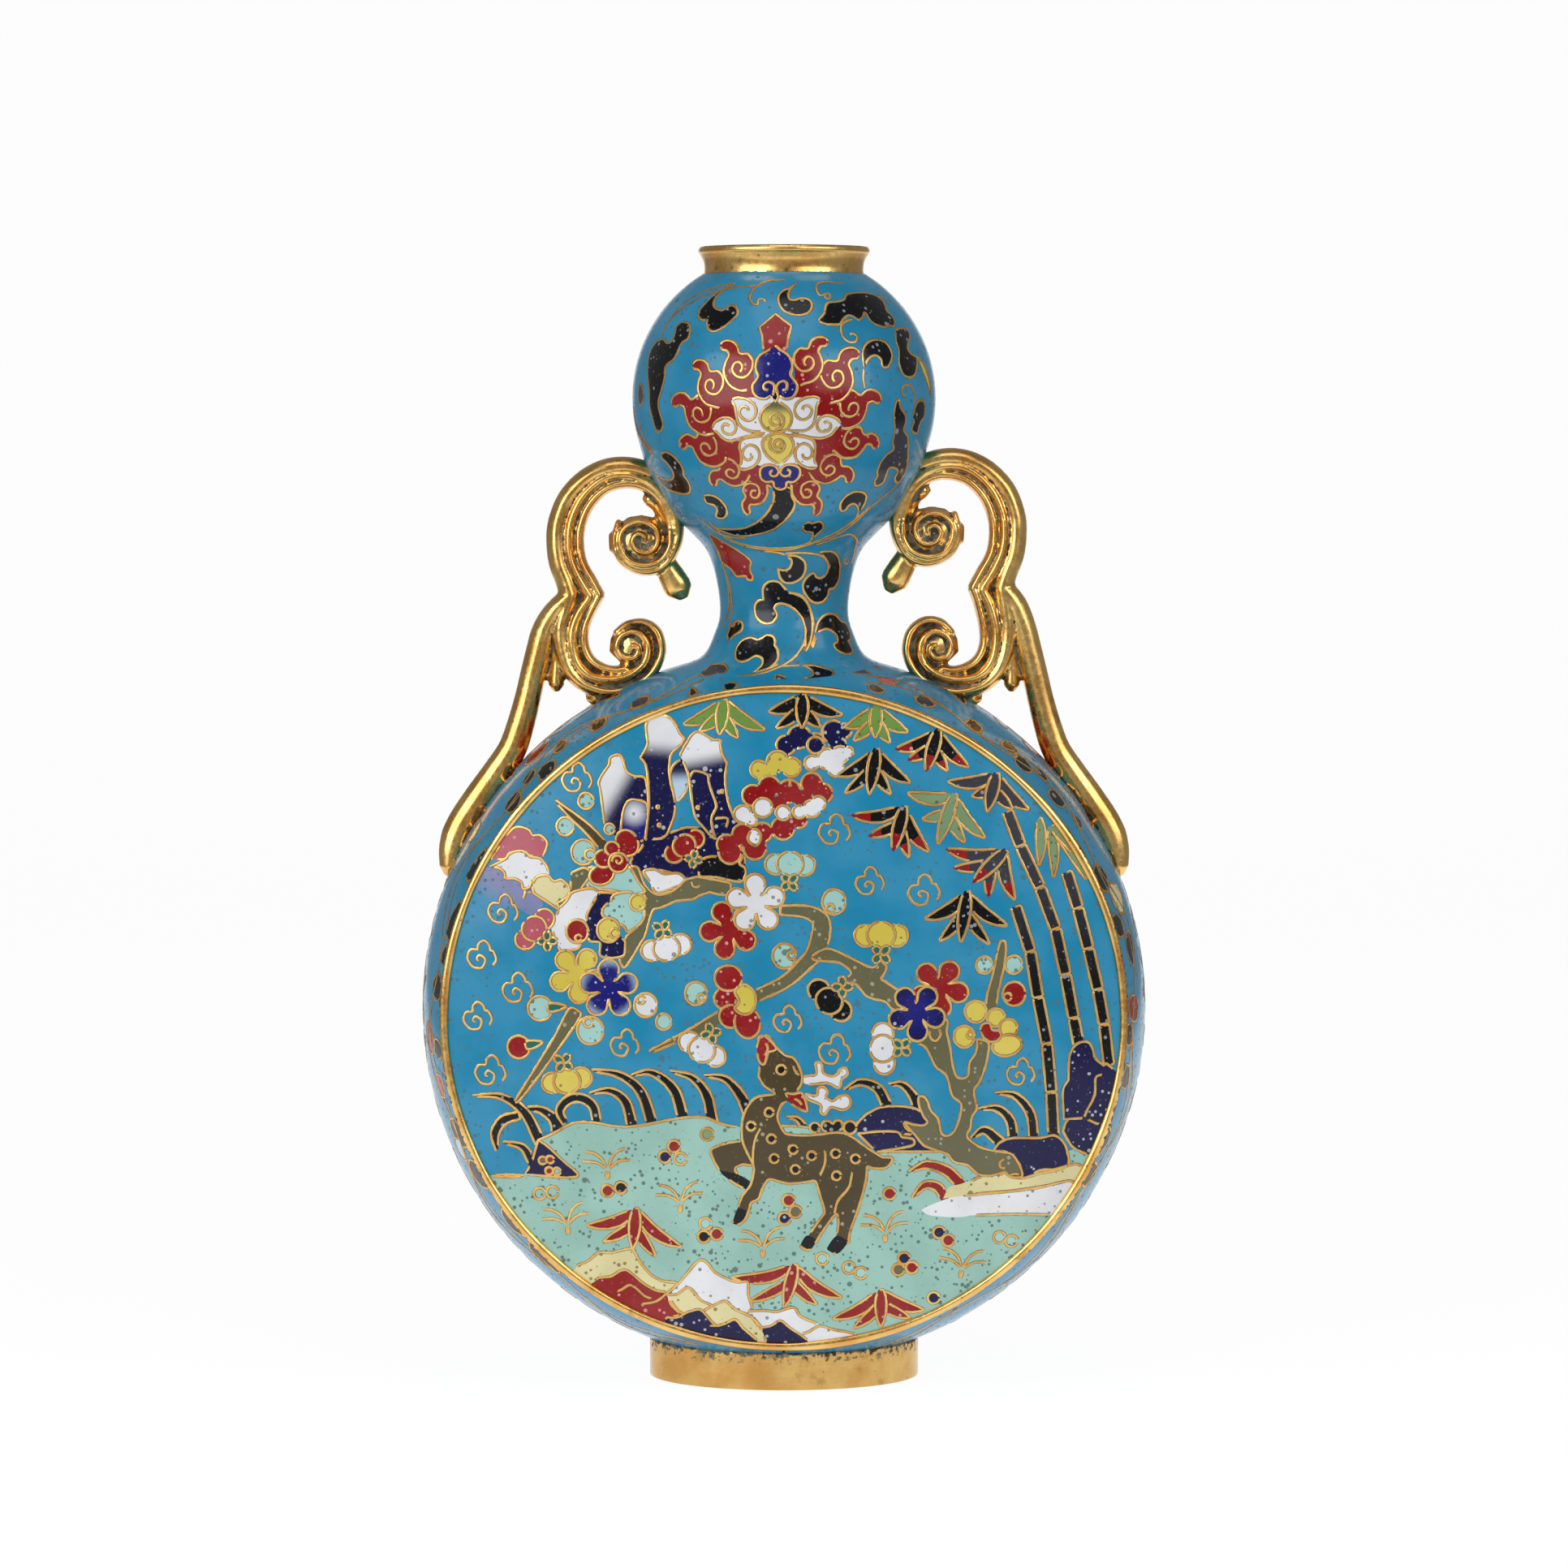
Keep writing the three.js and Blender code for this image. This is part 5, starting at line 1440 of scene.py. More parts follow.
def deer(m):
    """A dappled deer that looks back over its shoulder."""
    antlers = (
        [(3.8, -13.3), (4.1, -12.0), (5.9, -11.6), (7.0, -11.3), (6.8, -9.2), (7.5, -8.7), (8.3, -9.3),
         (8.5, -11.0), (10.3, -11.8), (11.6, -11.3), (12.0, -10.4), (13.2, -9.9), (13.9, -11.3),
         (12.6, -12.4), (12.3, -13.7), (11.6, -14.4), (9.4, -13.3), (6.5, -13.6)],
        [(4.7, -15.7), (7.1, -16.0), (7.3, -14.5), (8.5, -14.1), (9.5, -15.1), (9.1, -16.3), (10.5, -17.2),
         (11.7, -16.3), (13.5, -15.9), (14.5, -17.2), (14.0, -18.7), (12.3, -19.2), (10.0, -18.6),
         (8.9, -20.2), (7.9, -19.6), (7.9, -18.1), (5.3, -16.9)],
    )
    for antler in antlers:
        m.cell(smooth(antler, True, 3), "white")
    m.blob([(-9.1, -26.2), (-15.1, -27.4), (-15.6, -29.4), (-12.8, -33.8), (-7.5, -36.9), (-6.9, -35.3),
            (-9.8, -33.4), (-10.6, -32.0), (-9.0, -31.1), (-6.7, -30.9)], "fawn")
    m.cell(cornered([(-14.0, -32.4), (-12.8, -33.8), (-7.5, -36.9), (-6.9, -35.3), (-9.8, -33.4)]), "black",
           wire=False)
    m.cell(cornered(
        [(-5.3, -6.3), (-5.6, -4.2), (-4.7, -3.0), (-3.4, -3.2), (-2.0, -5.1), (0.1, -7.2), (2.1, -7.9),
         (3.7, -10.7), (3.8, -13.3), (2.4, -15.4)],
        [(0.9, -17.2), (-0.5, -18.0), (-1.4, -20.7), (-0.5, -23.1), (0.9, -24.5), (5.9, -24.7),
         (11.7, -24.1), (14.6, -25.0), (17.6, -27.2), (19.9, -28.7)],
        [(21.4, -29.6), (23.2, -29.6), (23.4, -30.5), (22.0, -31.9), (19.6, -32.0)],
        [(18.0, -31.5), (17.8, -34.4), (17.0, -37.9), (15.8, -41.8), (15.0, -43.9), (14.2, -46.3)],
        [(14.1, -48.2), (11.8, -50.8), (9.7, -50.2), (9.5, -49.3)],
        [(10.9, -47.9), (11.6, -46.0), (11.8, -43.9), (11.3, -42.0), (8.5, -45.7), (5.9, -49.8),
         (3.9, -49.5), (3.7, -48.6)],
        [(5.3, -46.8), (7.7, -43.3), (8.8, -41.5), (7.8, -37.9), (6.9, -34.9)],
        [(5.3, -34.9), (0.9, -35.3), (-2.9, -34.3)],
        [(-4.0, -35.2), (-4.7, -36.4), (-5.5, -38.6), (-7.2, -39.7), (-8.1, -42.7), (-9.6, -44.3),
         (-11.0, -44.2), (-11.0, -43.3)],
        [(-9.0, -37.9), (-7.2, -35.5), (-6.5, -31.9), (-7.6, -29.3), (-9.0, -26.0), (-9.1, -21.9),
         (-8.1, -18.9), (-6.3, -16.6), (-3.7, -15.9), (-2.0, -15.7), (-2.9, -14.8), (-4.3, -13.9)],
        [(-5.5, -11.9), (-5.2, -8.9)],
    ), "fawn")
    m.cell(cornered(
        [(-8.1, -42.7), (-9.6, -44.3), (-11.0, -44.2), (-11.0, -43.3), (-10.0, -40.9)],
        [(-8.2, -41.2)],
    ), "black", wire=False)
    m.cell(cornered([(7.0, -47.7), (5.9, -49.8), (3.9, -49.5), (3.7, -48.6), (5.0, -46.8)]), "black",
           wire=False)
    m.cell(cornered([(14.1, -48.2), (11.8, -50.8), (9.7, -50.2), (9.5, -49.3), (11.5, -46.9)]), "black",
           wire=False)
    m.cell(cornered(
        [(-5.9, -5.4), (-5.3, -3.4), (-4.3, -3.0), (-2.9, -4.1), (-1.7, -5.9)],
        [(-3.4, -6.6), (-4.3, -9.2), (-5.5, -8.3)],
    ), "red")
    m.curve([(-4.1, -3.9), (-3.5, -6.0), (-4.5, -7.8)])
    m.cell(cornered(
        [(0.4, -15.5), (2.1, -15.7), (3.8, -15.4)],
        [(4.7, -17.2), (5.0, -19.4), (3.0, -18.8)],
        [(0.9, -17.3)],
    ), "red")
    m.curve([(1.5, -16.3), (3.3, -17.3), (4.0, -18.5)])
    m.curve([(-4.6, -22.5), (-6.2, -25.4), (-6.8, -29.9), (-6.4, -31.9)])
    m.curve([(8.8, -27.2), (8.9, -30.8), (7.4, -34.3)])
    m.curve([(14.9, -32.0), (14.1, -36.1), (11.7, -39.1), (10.9, -42.1)])
    m.curve([(1.9, -9.0), (2.4, -10.7), (3.7, -12.0)])
    berries(m, 1.05, (-0.6, -10.4, "black"))
    spots = [(-3.2, -19.7), (-7.1, -22.7), (-2.7, -25.5), (2.0, -27.8), (-2.1, -29.8), (6.0, -29.2),
             (2.5, -32.2), (11.2, -28.7), (15.5, -29.9), (11.4, -33.6)]
    berries(m, 0.98, *[(x, y, "black") for x, y in spots])


def bamboo_leaves(m):
    """Fans of five leaves in green, black and slate, some with red tips."""
    plain = (
        ("leaf", [(-12.9, 69.6), (-21.6, 64.2), (-18.1, 62.8), (-13.9, 62.0), (-10.0, 61.3), (-4.2, 63.0)]),
        ("black", [(4.0, 70.7), (-3.2, 66.9), (-1.6, 63.4), (3.9, 63.4), (7.9, 63.5), (12.5, 66.2)]),
        ("leaf", [(20.0, 68.2), (13.2, 63.5), (15.1, 60.7), (19.7, 61.3), (22.8, 60.2), (26.7, 62.5)]),
        ("black", [(20.0, 59.0), (11.6, 53.1), (13.2, 49.4), (18.4, 49.2), (23.0, 49.2), (27.2, 51.6)]),
        ("sage", [(36.9, 49.2), (26.8, 49.4), (30.0, 43.8), (33.3, 38.5), (39.0, 38.7), (43.4, 39.7)]),
        ("slate", [(46.0, 53.6), (35.5, 51.8), (40.7, 48.6), (43.9, 45.3), (49.4, 45.8), (52.9, 45.6)]),
        ("black", [(39.6, 28.2), (30.6, 22.3), (33.7, 17.5), (38.2, 17.3), (44.4, 16.8), (48.2, 20.7)]),
    )
    for paint, (top, *tips) in plain:
        leaf_fan(m, top, tips, paint)
    tipped = (
        ("black", [(33.4, 63.0), (24.0, 58.8), (26.7, 56.4), (30.7, 53.9), (35.3, 54.1), (39.9, 54.9)]),
        ("black", [(26.0, 46.6), (14.4, 44.7), (18.1, 40.1), (23.5, 36.8), (27.0, 35.6), (31.2, 36.8)]),
        ("slate", [(48.1, 37.0), (34.9, 37.3), (36.5, 33.2), (40.7, 29.9), (44.2, 26.7), (49.9, 26.3)]),
    )
    for paint, (top, *tips) in tipped:
        leaf_fan(m, top, tips, paint, "red")
    for root, tip in (
        [(55.3, 43.7), (55.2, 33.7)],
        [(57.6, 42.0), (58.4, 31.1)],
        [(58.1, 42.0), (65.5, 30.5)],
        [(59.0, 41.2), (62.9, 36.1)],
    ):
        leaf(m, root, tip, 2.2, 0.04, "sage")


def meadow(m):
    """Grass, leaves and berries on the mint ground."""
    for tip_to_foot, widths in (
        ([(27.2, -32.8), (30.9, -31.3), (35.4, -32.7), (38.7, -36.1)], (0.4, 1.7, 2.1, 2.2)),
        ([(27.9, -38.5), (30.5, -35.8), (33.4, -36.3), (35.0, -39.1)], (0.4, 1.5, 1.9, 1.8)),
    ):
        blade(m, tip_to_foot, widths, "red")
    m.cell(cornered(
        [(29.8, -41.3), (31.4, -40.4), (34.1, -39.3), (36.1, -38.7)],
        [(40.4, -38.1), (40.4, -42.6), (32.3, -42.6)],
    ), "white", wire=False)
    m.cell(cornered([(34.5, -38.8), (35.9, -36.3), (38.1, -35.7), (40.4, -35.2)], [(40.4, -38.0)]), "cream",
           wire=False)
    for x, y, lean in (
        (-38.3, -32.7, 0),
        (-47.1, -45.1, 6),
        (-22.5, -39.9, 0),
        (-4.6, -49.9, 0),
        (22.0, -46.5, 0),
        (38.7, -54.8, -10),
    ):
        tuft(m, x, y, 1.05, lean)
    for top, *tips in (
        [(-32.1, -40.9), (-42.8, -44.9), (-39.2, -48.4), (-32.9, -49.9), (-28.0, -51.5), (-22.4, -49.4)],
        [(2.4, -53.2), (-11.3, -56.2), (-7.3, -61.5), (0.1, -62.8), (7.0, -62.2), (12.4, -60.7)],
        [(21.1, -59.0), (10.7, -65.5), (15.3, -67.6), (21.1, -67.4), (27.4, -65.4), (30.4, -63.7)],
    ):
        leaf_fan(m, top, tips, "red", width=2.5)
    size = 1.32
    berries(m, size, (-23.8, -27.2, "red"), (-25.8, -29.5, "navy"), (-22.4, -29.9, "mint"))
    berries(m, size, (-53.1, -38.0, "mint"), (-50.3, -37.6, "mint"))
    berries(m, size, (-38.3, -37.1, "red"), (-35.4, -36.4, "black"))
    berries(m, size, (-16.6, -24.5, "sage"))
    berries(m, size, (-17.0, -44.2, "seafoam"), (-17.4, -47.1, "black"), (-14.6, -46.5, "red"))
    berries(m, size, (1.0, -39.0, "red"), (2.5, -41.5, "olive"), (0.1, -43.0, "navy"))
    berries(m, size, (22.9, -37.6, "red"), (8.3, -52.0, "seafoam"), (32.6, -61.0, "navy"))
    berries(m, size, (33.7, -46.3, "navy"), (35.7, -48.1, "red"))
    berries(m, size, (46.9, -47.6, "seafoam"), (49.5, -48.5, "seafoam"))
    berries(m, size, (14.1, -54.0, "seafoam"), (16.7, -55.2, "seafoam"))
    berries(m, size, (26.1, -52.0, "navy"), (24.9, -54.5, "olive"), (27.8, -54.1, "red"))


def foothills(m):
    """Small mountains along the bottom."""
    m.cell(cornered(
        [(-44.9, -53.8), (-42.6, -52.8), (-40.3, -50.9), (-37.6, -50.9), (-33.5, -49.9)],
        [(-32.5, -50.6), (-31.3, -52.8), (-29.1, -55.6), (-26.4, -57.1), (-23.3, -57.6)],
        [(-25.5, -60.1), (-28.6, -61.2), (-33.1, -60.3), (-37.7, -58.5), (-43.1, -58.6), (-45.8, -55.8)],
    ), "cream")
    m.cell(cornered(
        [(-40.4, -56.6), (-37.6, -56.2), (-35.8, -55.0), (-34.2, -54.8), (-32.7, -55.9), (-30.4, -57.9),
         (-27.7, -59.3), (-25.5, -59.8)],
        [(-24.1, -62.1), (-21.8, -64.2)],
        [(-25.5, -65.4), (-28.7, -69.6), (-42.2, -60.4)],
    ), "red")
    m.curve([(-37.1, -59.9), (-35.4, -59.2), (-33.6, -58.1), (-32.1, -58.9), (-30.4, -60.5),
             (-28.6, -61.2)])
    m.curve([(-31.8, -62.4), (-29.1, -62.1), (-27.3, -61.4), (-25.4, -59.7)])
    m.cell(cornered(
        [(-25.6, -60.0), (-23.2, -57.9), (-20.9, -55.1), (-19.1, -52.9), (-17.8, -52.3), (-16.4, -53.2),
         (-15.1, -55.0), (-12.4, -56.5), (-10.1, -57.2), (-7.9, -57.2)],
        [(-7.8, -60.1), (-6.8, -64.5)],
        [(-10.1, -65.7), (-19.6, -65.8), (-24.1, -63.0)],
    ), "white")
    m.cell(cornered(
        [(-25.4, -60.2), (-23.2, -60.0), (-21.4, -58.6), (-20.0, -59.0), (-18.2, -61.3), (-15.8, -62.6)],
        [(-18.3, -64.1), (-21.9, -64.4), (-23.7, -63.0)],
    ), "cream")
    m.cell(cornered(
        [(-17.8, -63.9), (-15.5, -62.6), (-12.8, -61.5), (-10.6, -63.4), (-7.2, -65.0)],
        [(-5.6, -67.1), (-3.4, -68.5), (-0.7, -70.8)],
        [(-6.1, -72.2), (-15.1, -67.1)],
    ), "cream")
    m.cell(cornered(
        [(-25.6, -65.3), (-23.2, -65.3), (-21.0, -64.1), (-18.3, -63.5), (-16.5, -65.3), (-14.7, -67.1)],
        [(-12.8, -66.6), (-10.6, -65.7), (-8.8, -67.8), (-5.6, -71.3)],
        [(-10.6, -74.1), (-26.4, -69.5)],
    ), "navy")
    m.curve([(-16.9, -67.1), (-14.7, -67.1), (-12.8, -66.6)])
    m.cell(cornered(
        [(-7.8, -63.8), (-4.3, -63.6), (-1.6, -63.9), (2.0, -62.9), (3.8, -65.1), (8.4, -67.3)],
        [(6.1, -69.2), (3.4, -69.9), (-1.6, -69.4), (-4.7, -67.6)],
    ), "white")
    m.cell(cornered(
        [(3.1, -69.2), (5.3, -68.5), (7.8, -67.1), (10.7, -68.0), (15.7, -69.2)],
        [(14.8, -72.3), (4.4, -72.2)],
    ), "white")
    m.cell(cornered(
        [(-5.1, -67.6), (-2.8, -67.1), (-0.8, -65.9), (1.3, -67.6), (5.1, -70.5)],
        [(4.4, -73.6), (-1.9, -73.6)],
    ), "navy")


def front_panel():
    """The hillside with its deer, on the front."""
    m = roundel("front", -1)
    for part in HILLSIDE:
        part(m)
    return m


HILLSIDE = (peaks, drifting_clouds, stacked_clouds, grasses, hills, rocks_and_bamboo, prunus_tree, blossoms,
        deer, bamboo_leaves, meadow, foothills)


# ---- The band ------------------------------------------------------------------------------------

EDGE_LEAVES = [  # paint, width, then root and tip of each leaf beside the front ring
    ("black", 5.0, (-55.9, 15.8), (-52.7, 16.2)),
    ("black", 5.5, (-62.5, 21.1), (-57.5, 19.8)),
    ("black", 4.0, (-66.4, 18.5), (-63.0, 16.0)),
    ("black", 5.5, (-73.6, 20.7), (-68.6, 18.5)),
    ("black", 4.5, (-91.8, 21.0), (-83.5, 22.5)),
    ("black", 6.0, (-106.5, 21.6), (-97.2, 22.4)),
    ("black", 4.0, (-112.9, 21.9), (-108.3, 22.2)),
    ("black", 6.0, (-121.1, 19.0), (-115.2, 20.2)),
    ("red", 7.0, (-127.9, 16.1), (-134.7, 16.2)),
    ("black", 4.5, (-135.5, 20.8), (-131.0, 19.3)),
    ("rose", 5.5, (-139.6, 18.8), (-144.9, 19.5)),
    ("black", 6.5, (-150.1, 20.3), (-157.2, 23.3)),
    ("ice", 5.0, (-154.9, 18.1), (-160.7, 19.1)),
    ("black", 6.5, (-161.0, 22.2), (-168.5, 22.8)),
    ("black", 5.0, (-174.8, 23.8), (-182.5, 22.7)),
    ("black", 5.0, (-185.2, 23.0), (-194.8, 21.6)),
    ("red", 5.0, (-63.7, 8.8), (-56.8, 8.8)),
    ("cream", 4.0, (-85.3, 10.4), (-80.2, 10.0)),
    ("black", 5.0, (53.2, 16.0), (57.3, 15.4)),
    ("black", 5.5, (57.5, 18.1), (62.3, 17.3)),
    ("black", 4.0, (63.7, 14.5), (66.8, 15.5)),
    ("black", 5.5, (68.4, 17.9), (73.3, 16.8)),
    ("slate", 4.0, (77.0, 16.1), (80.1, 16.3)),
    ("black", 6.5, (89.0, 19.5), (95.4, 20.1)),
    ("cream", 8.5, (94.8, 15.1), (101.9, 15.0)),
    ("black", 5.5, (100.9, 21.6), (106.2, 19.3)),
    ("black", 5.0, (106.5, 15.4), (114.1, 17.4)),
    ("black", 5.0, (127.2, 22.9), (131.7, 19.7)),
    ("red", 7.0, (120.7, 19.0), (126.6, 17.5)),
    ("black", 5.0, (142.5, 21.1), (137.0, 21.7)),
    ("black", 6.0, (152.9, 21.4), (159.7, 22.7)),
    ("black", 6.5, (161.7, 20.8), (167.7, 20.0)),
    ("black", 5.0, (174.3, 23.6), (181.0, 23.9)),
    ("black", 5.0, (185.8, 24.7), (193.3, 23.8)),
    ("red", 5.0, (60.0, -0.6), (65.3, -0.3)),
    ("slate", 4.0, (-18.7, 14.5), (-14.2, 13.1)),
    ("black", 3.5, (-21.9, 21.4), (-20.4, 21.4)),
    ("slate", 4.5, (13.8, 11.1), (19.4, 14.1)),
    ("slate", 4.0, (16.1, -1.6), (21.5, 9.1)),
    ("rose", 3.5, (21.7, 14.5), (25.9, 15.1)),
    ("black", 3.0, (-13.9, 22.4), (-10.9, 21.9)),
    ("slate", 3.0, (19.8, 19.6), (23.4, 20.6)),
    ("black", 5.0, (-46.3, 18.0), (-42.4, 17.6)),
    ("black", 5.0, (43.7, 17.8), (47.5, 17.3)),
    ("slate", 4.5, (-35.7, 17.8), (-31.3, 17.7)),
    ("slate", 4.5, (30.9, 18.0), (35.4, 18.1)),
]


def edge_foliage(m):
    """Leaves and a waving double wire along both sides of the band."""
    for paint, width, root, tip in EDGE_LEAVES:
        for end in (1, -1):
            leaf(m, (root[0], root[1] * end), (tip[0], tip[1] * end), width, 0.14 * end, paint)
    for end in (1, -1):
        for first, last in ((-232, -18), (18, 232)):
            reach = np.linspace(first, last, 260)
            for t, wave, phase in ((18.4, 2.2, 0.0), (16.8, 3.4, 0.5)):
                m.line(np.stack([reach, end * (t + wave * np.sin(reach / 6.4 + phase))], 1))


def middle_scroll(m):
    """Flowers and curled leaves along the middle of the band."""
    for side in (-1, 1):
        for i in range(10):
            s = side * (40 + 20 * i)
            turn = 1 if i % 2 else -1
            m.curve([(s - 10, -8 * turn), (s - 5, -7 * turn), (s, 0), (s + 5, 7 * turn),
                     (s + 10, 8 * turn)])
            m.line(spiral(s + 7, 2.5 * turn, 4.6, 1.5, 90 * turn))
            leaf(m, (s - 3, -3 * turn), (s - 8, 7 * turn), 5.2, 0.25 * turn, "black")
            leaf(m, (s + 3, 4 * turn), (s + 2, -9 * turn), 5.0, -0.25 * turn, "black")
            if i % 3 == 1:
                blossom(m, s, 0, 7.2, 18 * i, "red" if i % 2 else "white")
                m.cell(oval(s, 0, 2.0, steps=14), "yellow")


def band():
    """The turquoise band around the body, open where the neck's flare stands on it."""
    half = math.pi * BODY_RX
    wide = DEPTH - 0.7
    edge = [(-half, -wide), (half, -wide), (half, wide), (-half, wide)]
    m = Mosaic("band", band_surface, body_core, np.array(edge, float), "turquoise")
    middle_scroll(m)
    edge_foliage(m)
    m.cells.append((oval(0, 0, FLARE_R - 0.3, steps=64), None))
    return m


# ---- The gourd -----------------------------------------------------------------------------------

FLAME_CURL = smooth([(0, 1), (0.12, 1.03), (0.26, 0.97), (0.39, 0.79), (0.42, 0.57), (0.33, 0.35),
                     (0.38, 0.24), (0.51, 0.1), (0.48, -0.16), (0.29, -0.34), (0.06, -0.38), (-0.11, -0.31),
                     (-0.21, -0.12), (-0.17, 0.09), (0, 0.19), (0.14, 0.12), (0.14, -0.04), (0.03, -0.13),
                     (-0.07, -0.12)])
FLAME_EDGE = [(0, 1), (-0.02, 0.84), (0.07, 0.69), (0.03, 0.51), (-0.17, 0.43), (-0.4, 0.26),
              (-0.52, -0.01), (-0.53, -0.3), (-0.4, -0.58)]
FLAME_BACK = 49  # points of the curl before it turns inwards
PETAL_CURL = smooth([(0, 1), (0.24, 0.88), (0.41, 0.64), (0.53, 0.28), (0.48, -0.1), (0.26, -0.34),
                     (-0.06, -0.4), (-0.33, -0.22), (-0.37, 0.11), (-0.2, 0.37), (0.07, 0.37), (0.19, 0.15),
                     (0.04, -0.06)])


def fitted(shape, eye, tip, side):
    """A shape drawn with its eye at (0, 0) and its tip at (0, 1), put between two other points."""
    way = np.array(tip) - eye
    return np.array(eye) + np.outer(shape[:, 0] * side, (way[1], -way[0])) + np.outer(shape[:, 1], way)


def flames(m, side, root, petals):
    """Red petals from the lowest up, each given by the eye of its curl, its tip and its tail."""
    roots = [petal[2] for petal in petals[1:]] + [root]
    for (eye, tip, tail), above in zip(petals, roots):
        curl = fitted(FLAME_CURL, eye, tip, side)
        edge = smooth([*fitted(np.array(FLAME_EDGE), eye, tip, side), tail])
        m.cell(np.vstack([edge, [above], curl[FLAME_BACK::-1]]), "red", wire=False)
        m.line(edge)
        m.line(curl)


def lotus(m):
    """A red lotus with white inner petals, two yellow pearls and dark blue buds."""
    m.cell([(-4.6, 9.7), (-5.1, 13.4), (-6.0, 15.7), (-2.2, 19.1), (1.8, 16.0), (1.0, 13.4), (0.6, 10.0)],
           "red")
    m.cell(oval(-1.8, -8.4, 15, 12), "red", wire=False)
    flames(m, 1, (-6.3, 1.7), [
        [(-7.9, -21.8), (-10.4, -27.2), (-3.1, -20.4)],
        [(-13.1, -16.7), (-19.0, -20.0), (-8.7, -17.3)],
        [(-18.7, -11.1), (-26.2, -11.1), (-13.7, -12.9)],
        [(-19.6, -3.5), (-27.2, -1.5), (-17.1, -7.9)],
        [(-16.6, 2.6), (-21.8, 7.0), (-13.4, -2.4)],
        [(-10.2, 6.4), (-15.2, 11.5), (-7.6, 1.7)],
    ])
    flames(m, -1, (2.4, 1.9), [
        [(6.1, -21.6), (9.2, -27.4), (1.6, -20.7)],
        [(11.0, -15.9), (17.2, -19.2), (6.2, -16.6)],
        [(16.3, -9.8), (23.0, -11.1), (10.9, -11.5)],
        [(15.3, -2.4), (22.6, -0.9), (13.3, -6.5)],
        [(11.7, 4.3), (17.9, 9.5), (10.2, -1.3)],
        [(5.3, 7.6), (10.4, 12.2), (3.3, 2.4)],
    ])
    m.cell([(-11.6, -0.7), (-9.9, -0.1), (-7.6, 0.0), (-5.4, 0.0), (-1.7, 0.4), (1.6, 0.0), (4.2, 0.0),
            (6.4, -0.1), (7.8, -0.4), (7.1, -1.8), (6.9, -3.9), (9.1, -3.9), (11.5, -4.6), (12.7, -5.9),
            (10.5, -8.1), (8.5, -8.8), (6.4, -9.0), (7.2, -11.1), (7.1, -13.6), (8.0, -15.2), (5.6, -15.1),
            (3.6, -14.5), (-1.9, -16.1), (-6.4, -14.7), (-8.9, -15.4), (-11.2, -15.4), (-10.2, -14.2),
            (-10.1, -12.0), (-10.3, -10.6), (-9.7, -9.4), (-12.3, -9.5), (-14.1, -8.8), (-15.2, -7.5),
            (-16.4, -6.8), (-15.3, -5.5), (-12.8, -4.4), (-10.5, -4.9), (-10.5, -3.9), (-10.8, -1.8)],
           "white", wire=False)
    for side, eye, tip, *edge in (
        (1, (-7.9, -3.2), (-11.6, -0.7), (-10.8, -1.8), (-10.5, -3.9), (-10.0, -5.7), (-8.3, -7.0),
         (-6.2, -7.4), (-4.2, -7.2)),
        (-1, (4.2, -3.0), (7.8, -0.4), (7.1, -1.8), (6.9, -3.9), (6.3, -5.9), (4.7, -7.1), (2.0, -7.2),
         (0.3, -6.9)),
        (1, (-12.3, -6.4), (-16.4, -6.8), (-15.2, -7.6), (-14.1, -8.8), (-12.3, -9.5), (-9.8, -8.8),
         (-6.5, -7.9), (-3.8, -7.7)),
        (-1, (8.8, -5.9), (12.7, -5.9), (11.6, -6.8), (10.5, -8.1), (8.5, -8.8), (6.2, -8.7), (3.0, -8.0),
         (0.7, -7.7)),
        (-1, (-7.7, -12.2), (-11.2, -15.4), (-10.2, -14.2), (-10.1, -12.0), (-10.3, -10.6), (-9.3, -9.0),
         (-6.5, -8.4), (-4.2, -8.3)),
        (1, (4.6, -11.9), (8.0, -15.2), (7.1, -13.6), (7.2, -11.1), (6.7, -9.4), (5.0, -8.6), (2.5, -8.3),
         (0.7, -8.1)),
    ):
        m.line(fitted(PETAL_CURL, eye, tip, side))
        m.curve([tip, *edge])
    m.cell(cornered(
        [(-1.8, -0.6), (-4.1, -2.2), (-5.2, -4.4), (-4.2, -6.6), (-1.9, -7.5), (0.7, -6.8), (1.7, -4.4),
         (0.7, -2.2)],
    ), fade("olive", "yellow", (-1.8, -1.8), (-1.8, -4.0)))
    m.line(spiral(-1.8, -4.9, 2.2, 1.9, 250))
    m.cell(cornered(
        [(-1.1, -14.8), (1.4, -12.6), (2.2, -10.4), (1.2, -8.4), (-1.3, -7.7), (-3.8, -8.4), (-4.9, -10.2),
         (-3.9, -12.7)],
    ), "yellow")
    m.line(spiral(-1.3, -10.3, 2.2, 1.9, 120))
    m.cell(cornered(
        [(-1.9, 11.3), (-0.6, 10.2), (0.7, 9.4), (1.6, 8.1), (1.8, 6.5), (1.4, 5.0), (2.0, 3.9), (2.8, 2.6),
         (2.7, 1.3), (1.8, 0.0), (0.3, -0.3), (-1.0, 0.3)],
        [(-1.8, -0.6), (-2.7, 0.3), (-4.1, -0.3), (-5.6, 0.0), (-6.6, 1.0), (-6.8, 2.6), (-6.1, 3.6),
         (-5.6, 4.7), (-6.2, 6.1), (-6.1, 7.8), (-5.4, 9.2), (-3.8, 10.1)],
    ), "cobalt")
    m.cell([(-1.8, 2.8), (-1.2, 0.0), (-1.8, -1.0), (-2.5, 0.0)], "black")
    m.curve([(-2.4, 0.5), (-2.0, 1.7), (-2.3, 2.9), (-3.5, 3.3), (-4.4, 2.6), (-4.1, 1.7), (-3.1, 1.6)])
    m.curve([(-1.2, 0.5), (-1.7, 1.7), (-1.2, 3.0), (-0.1, 3.5), (0.7, 2.8), (0.4, 1.7), (-0.6, 1.6)])
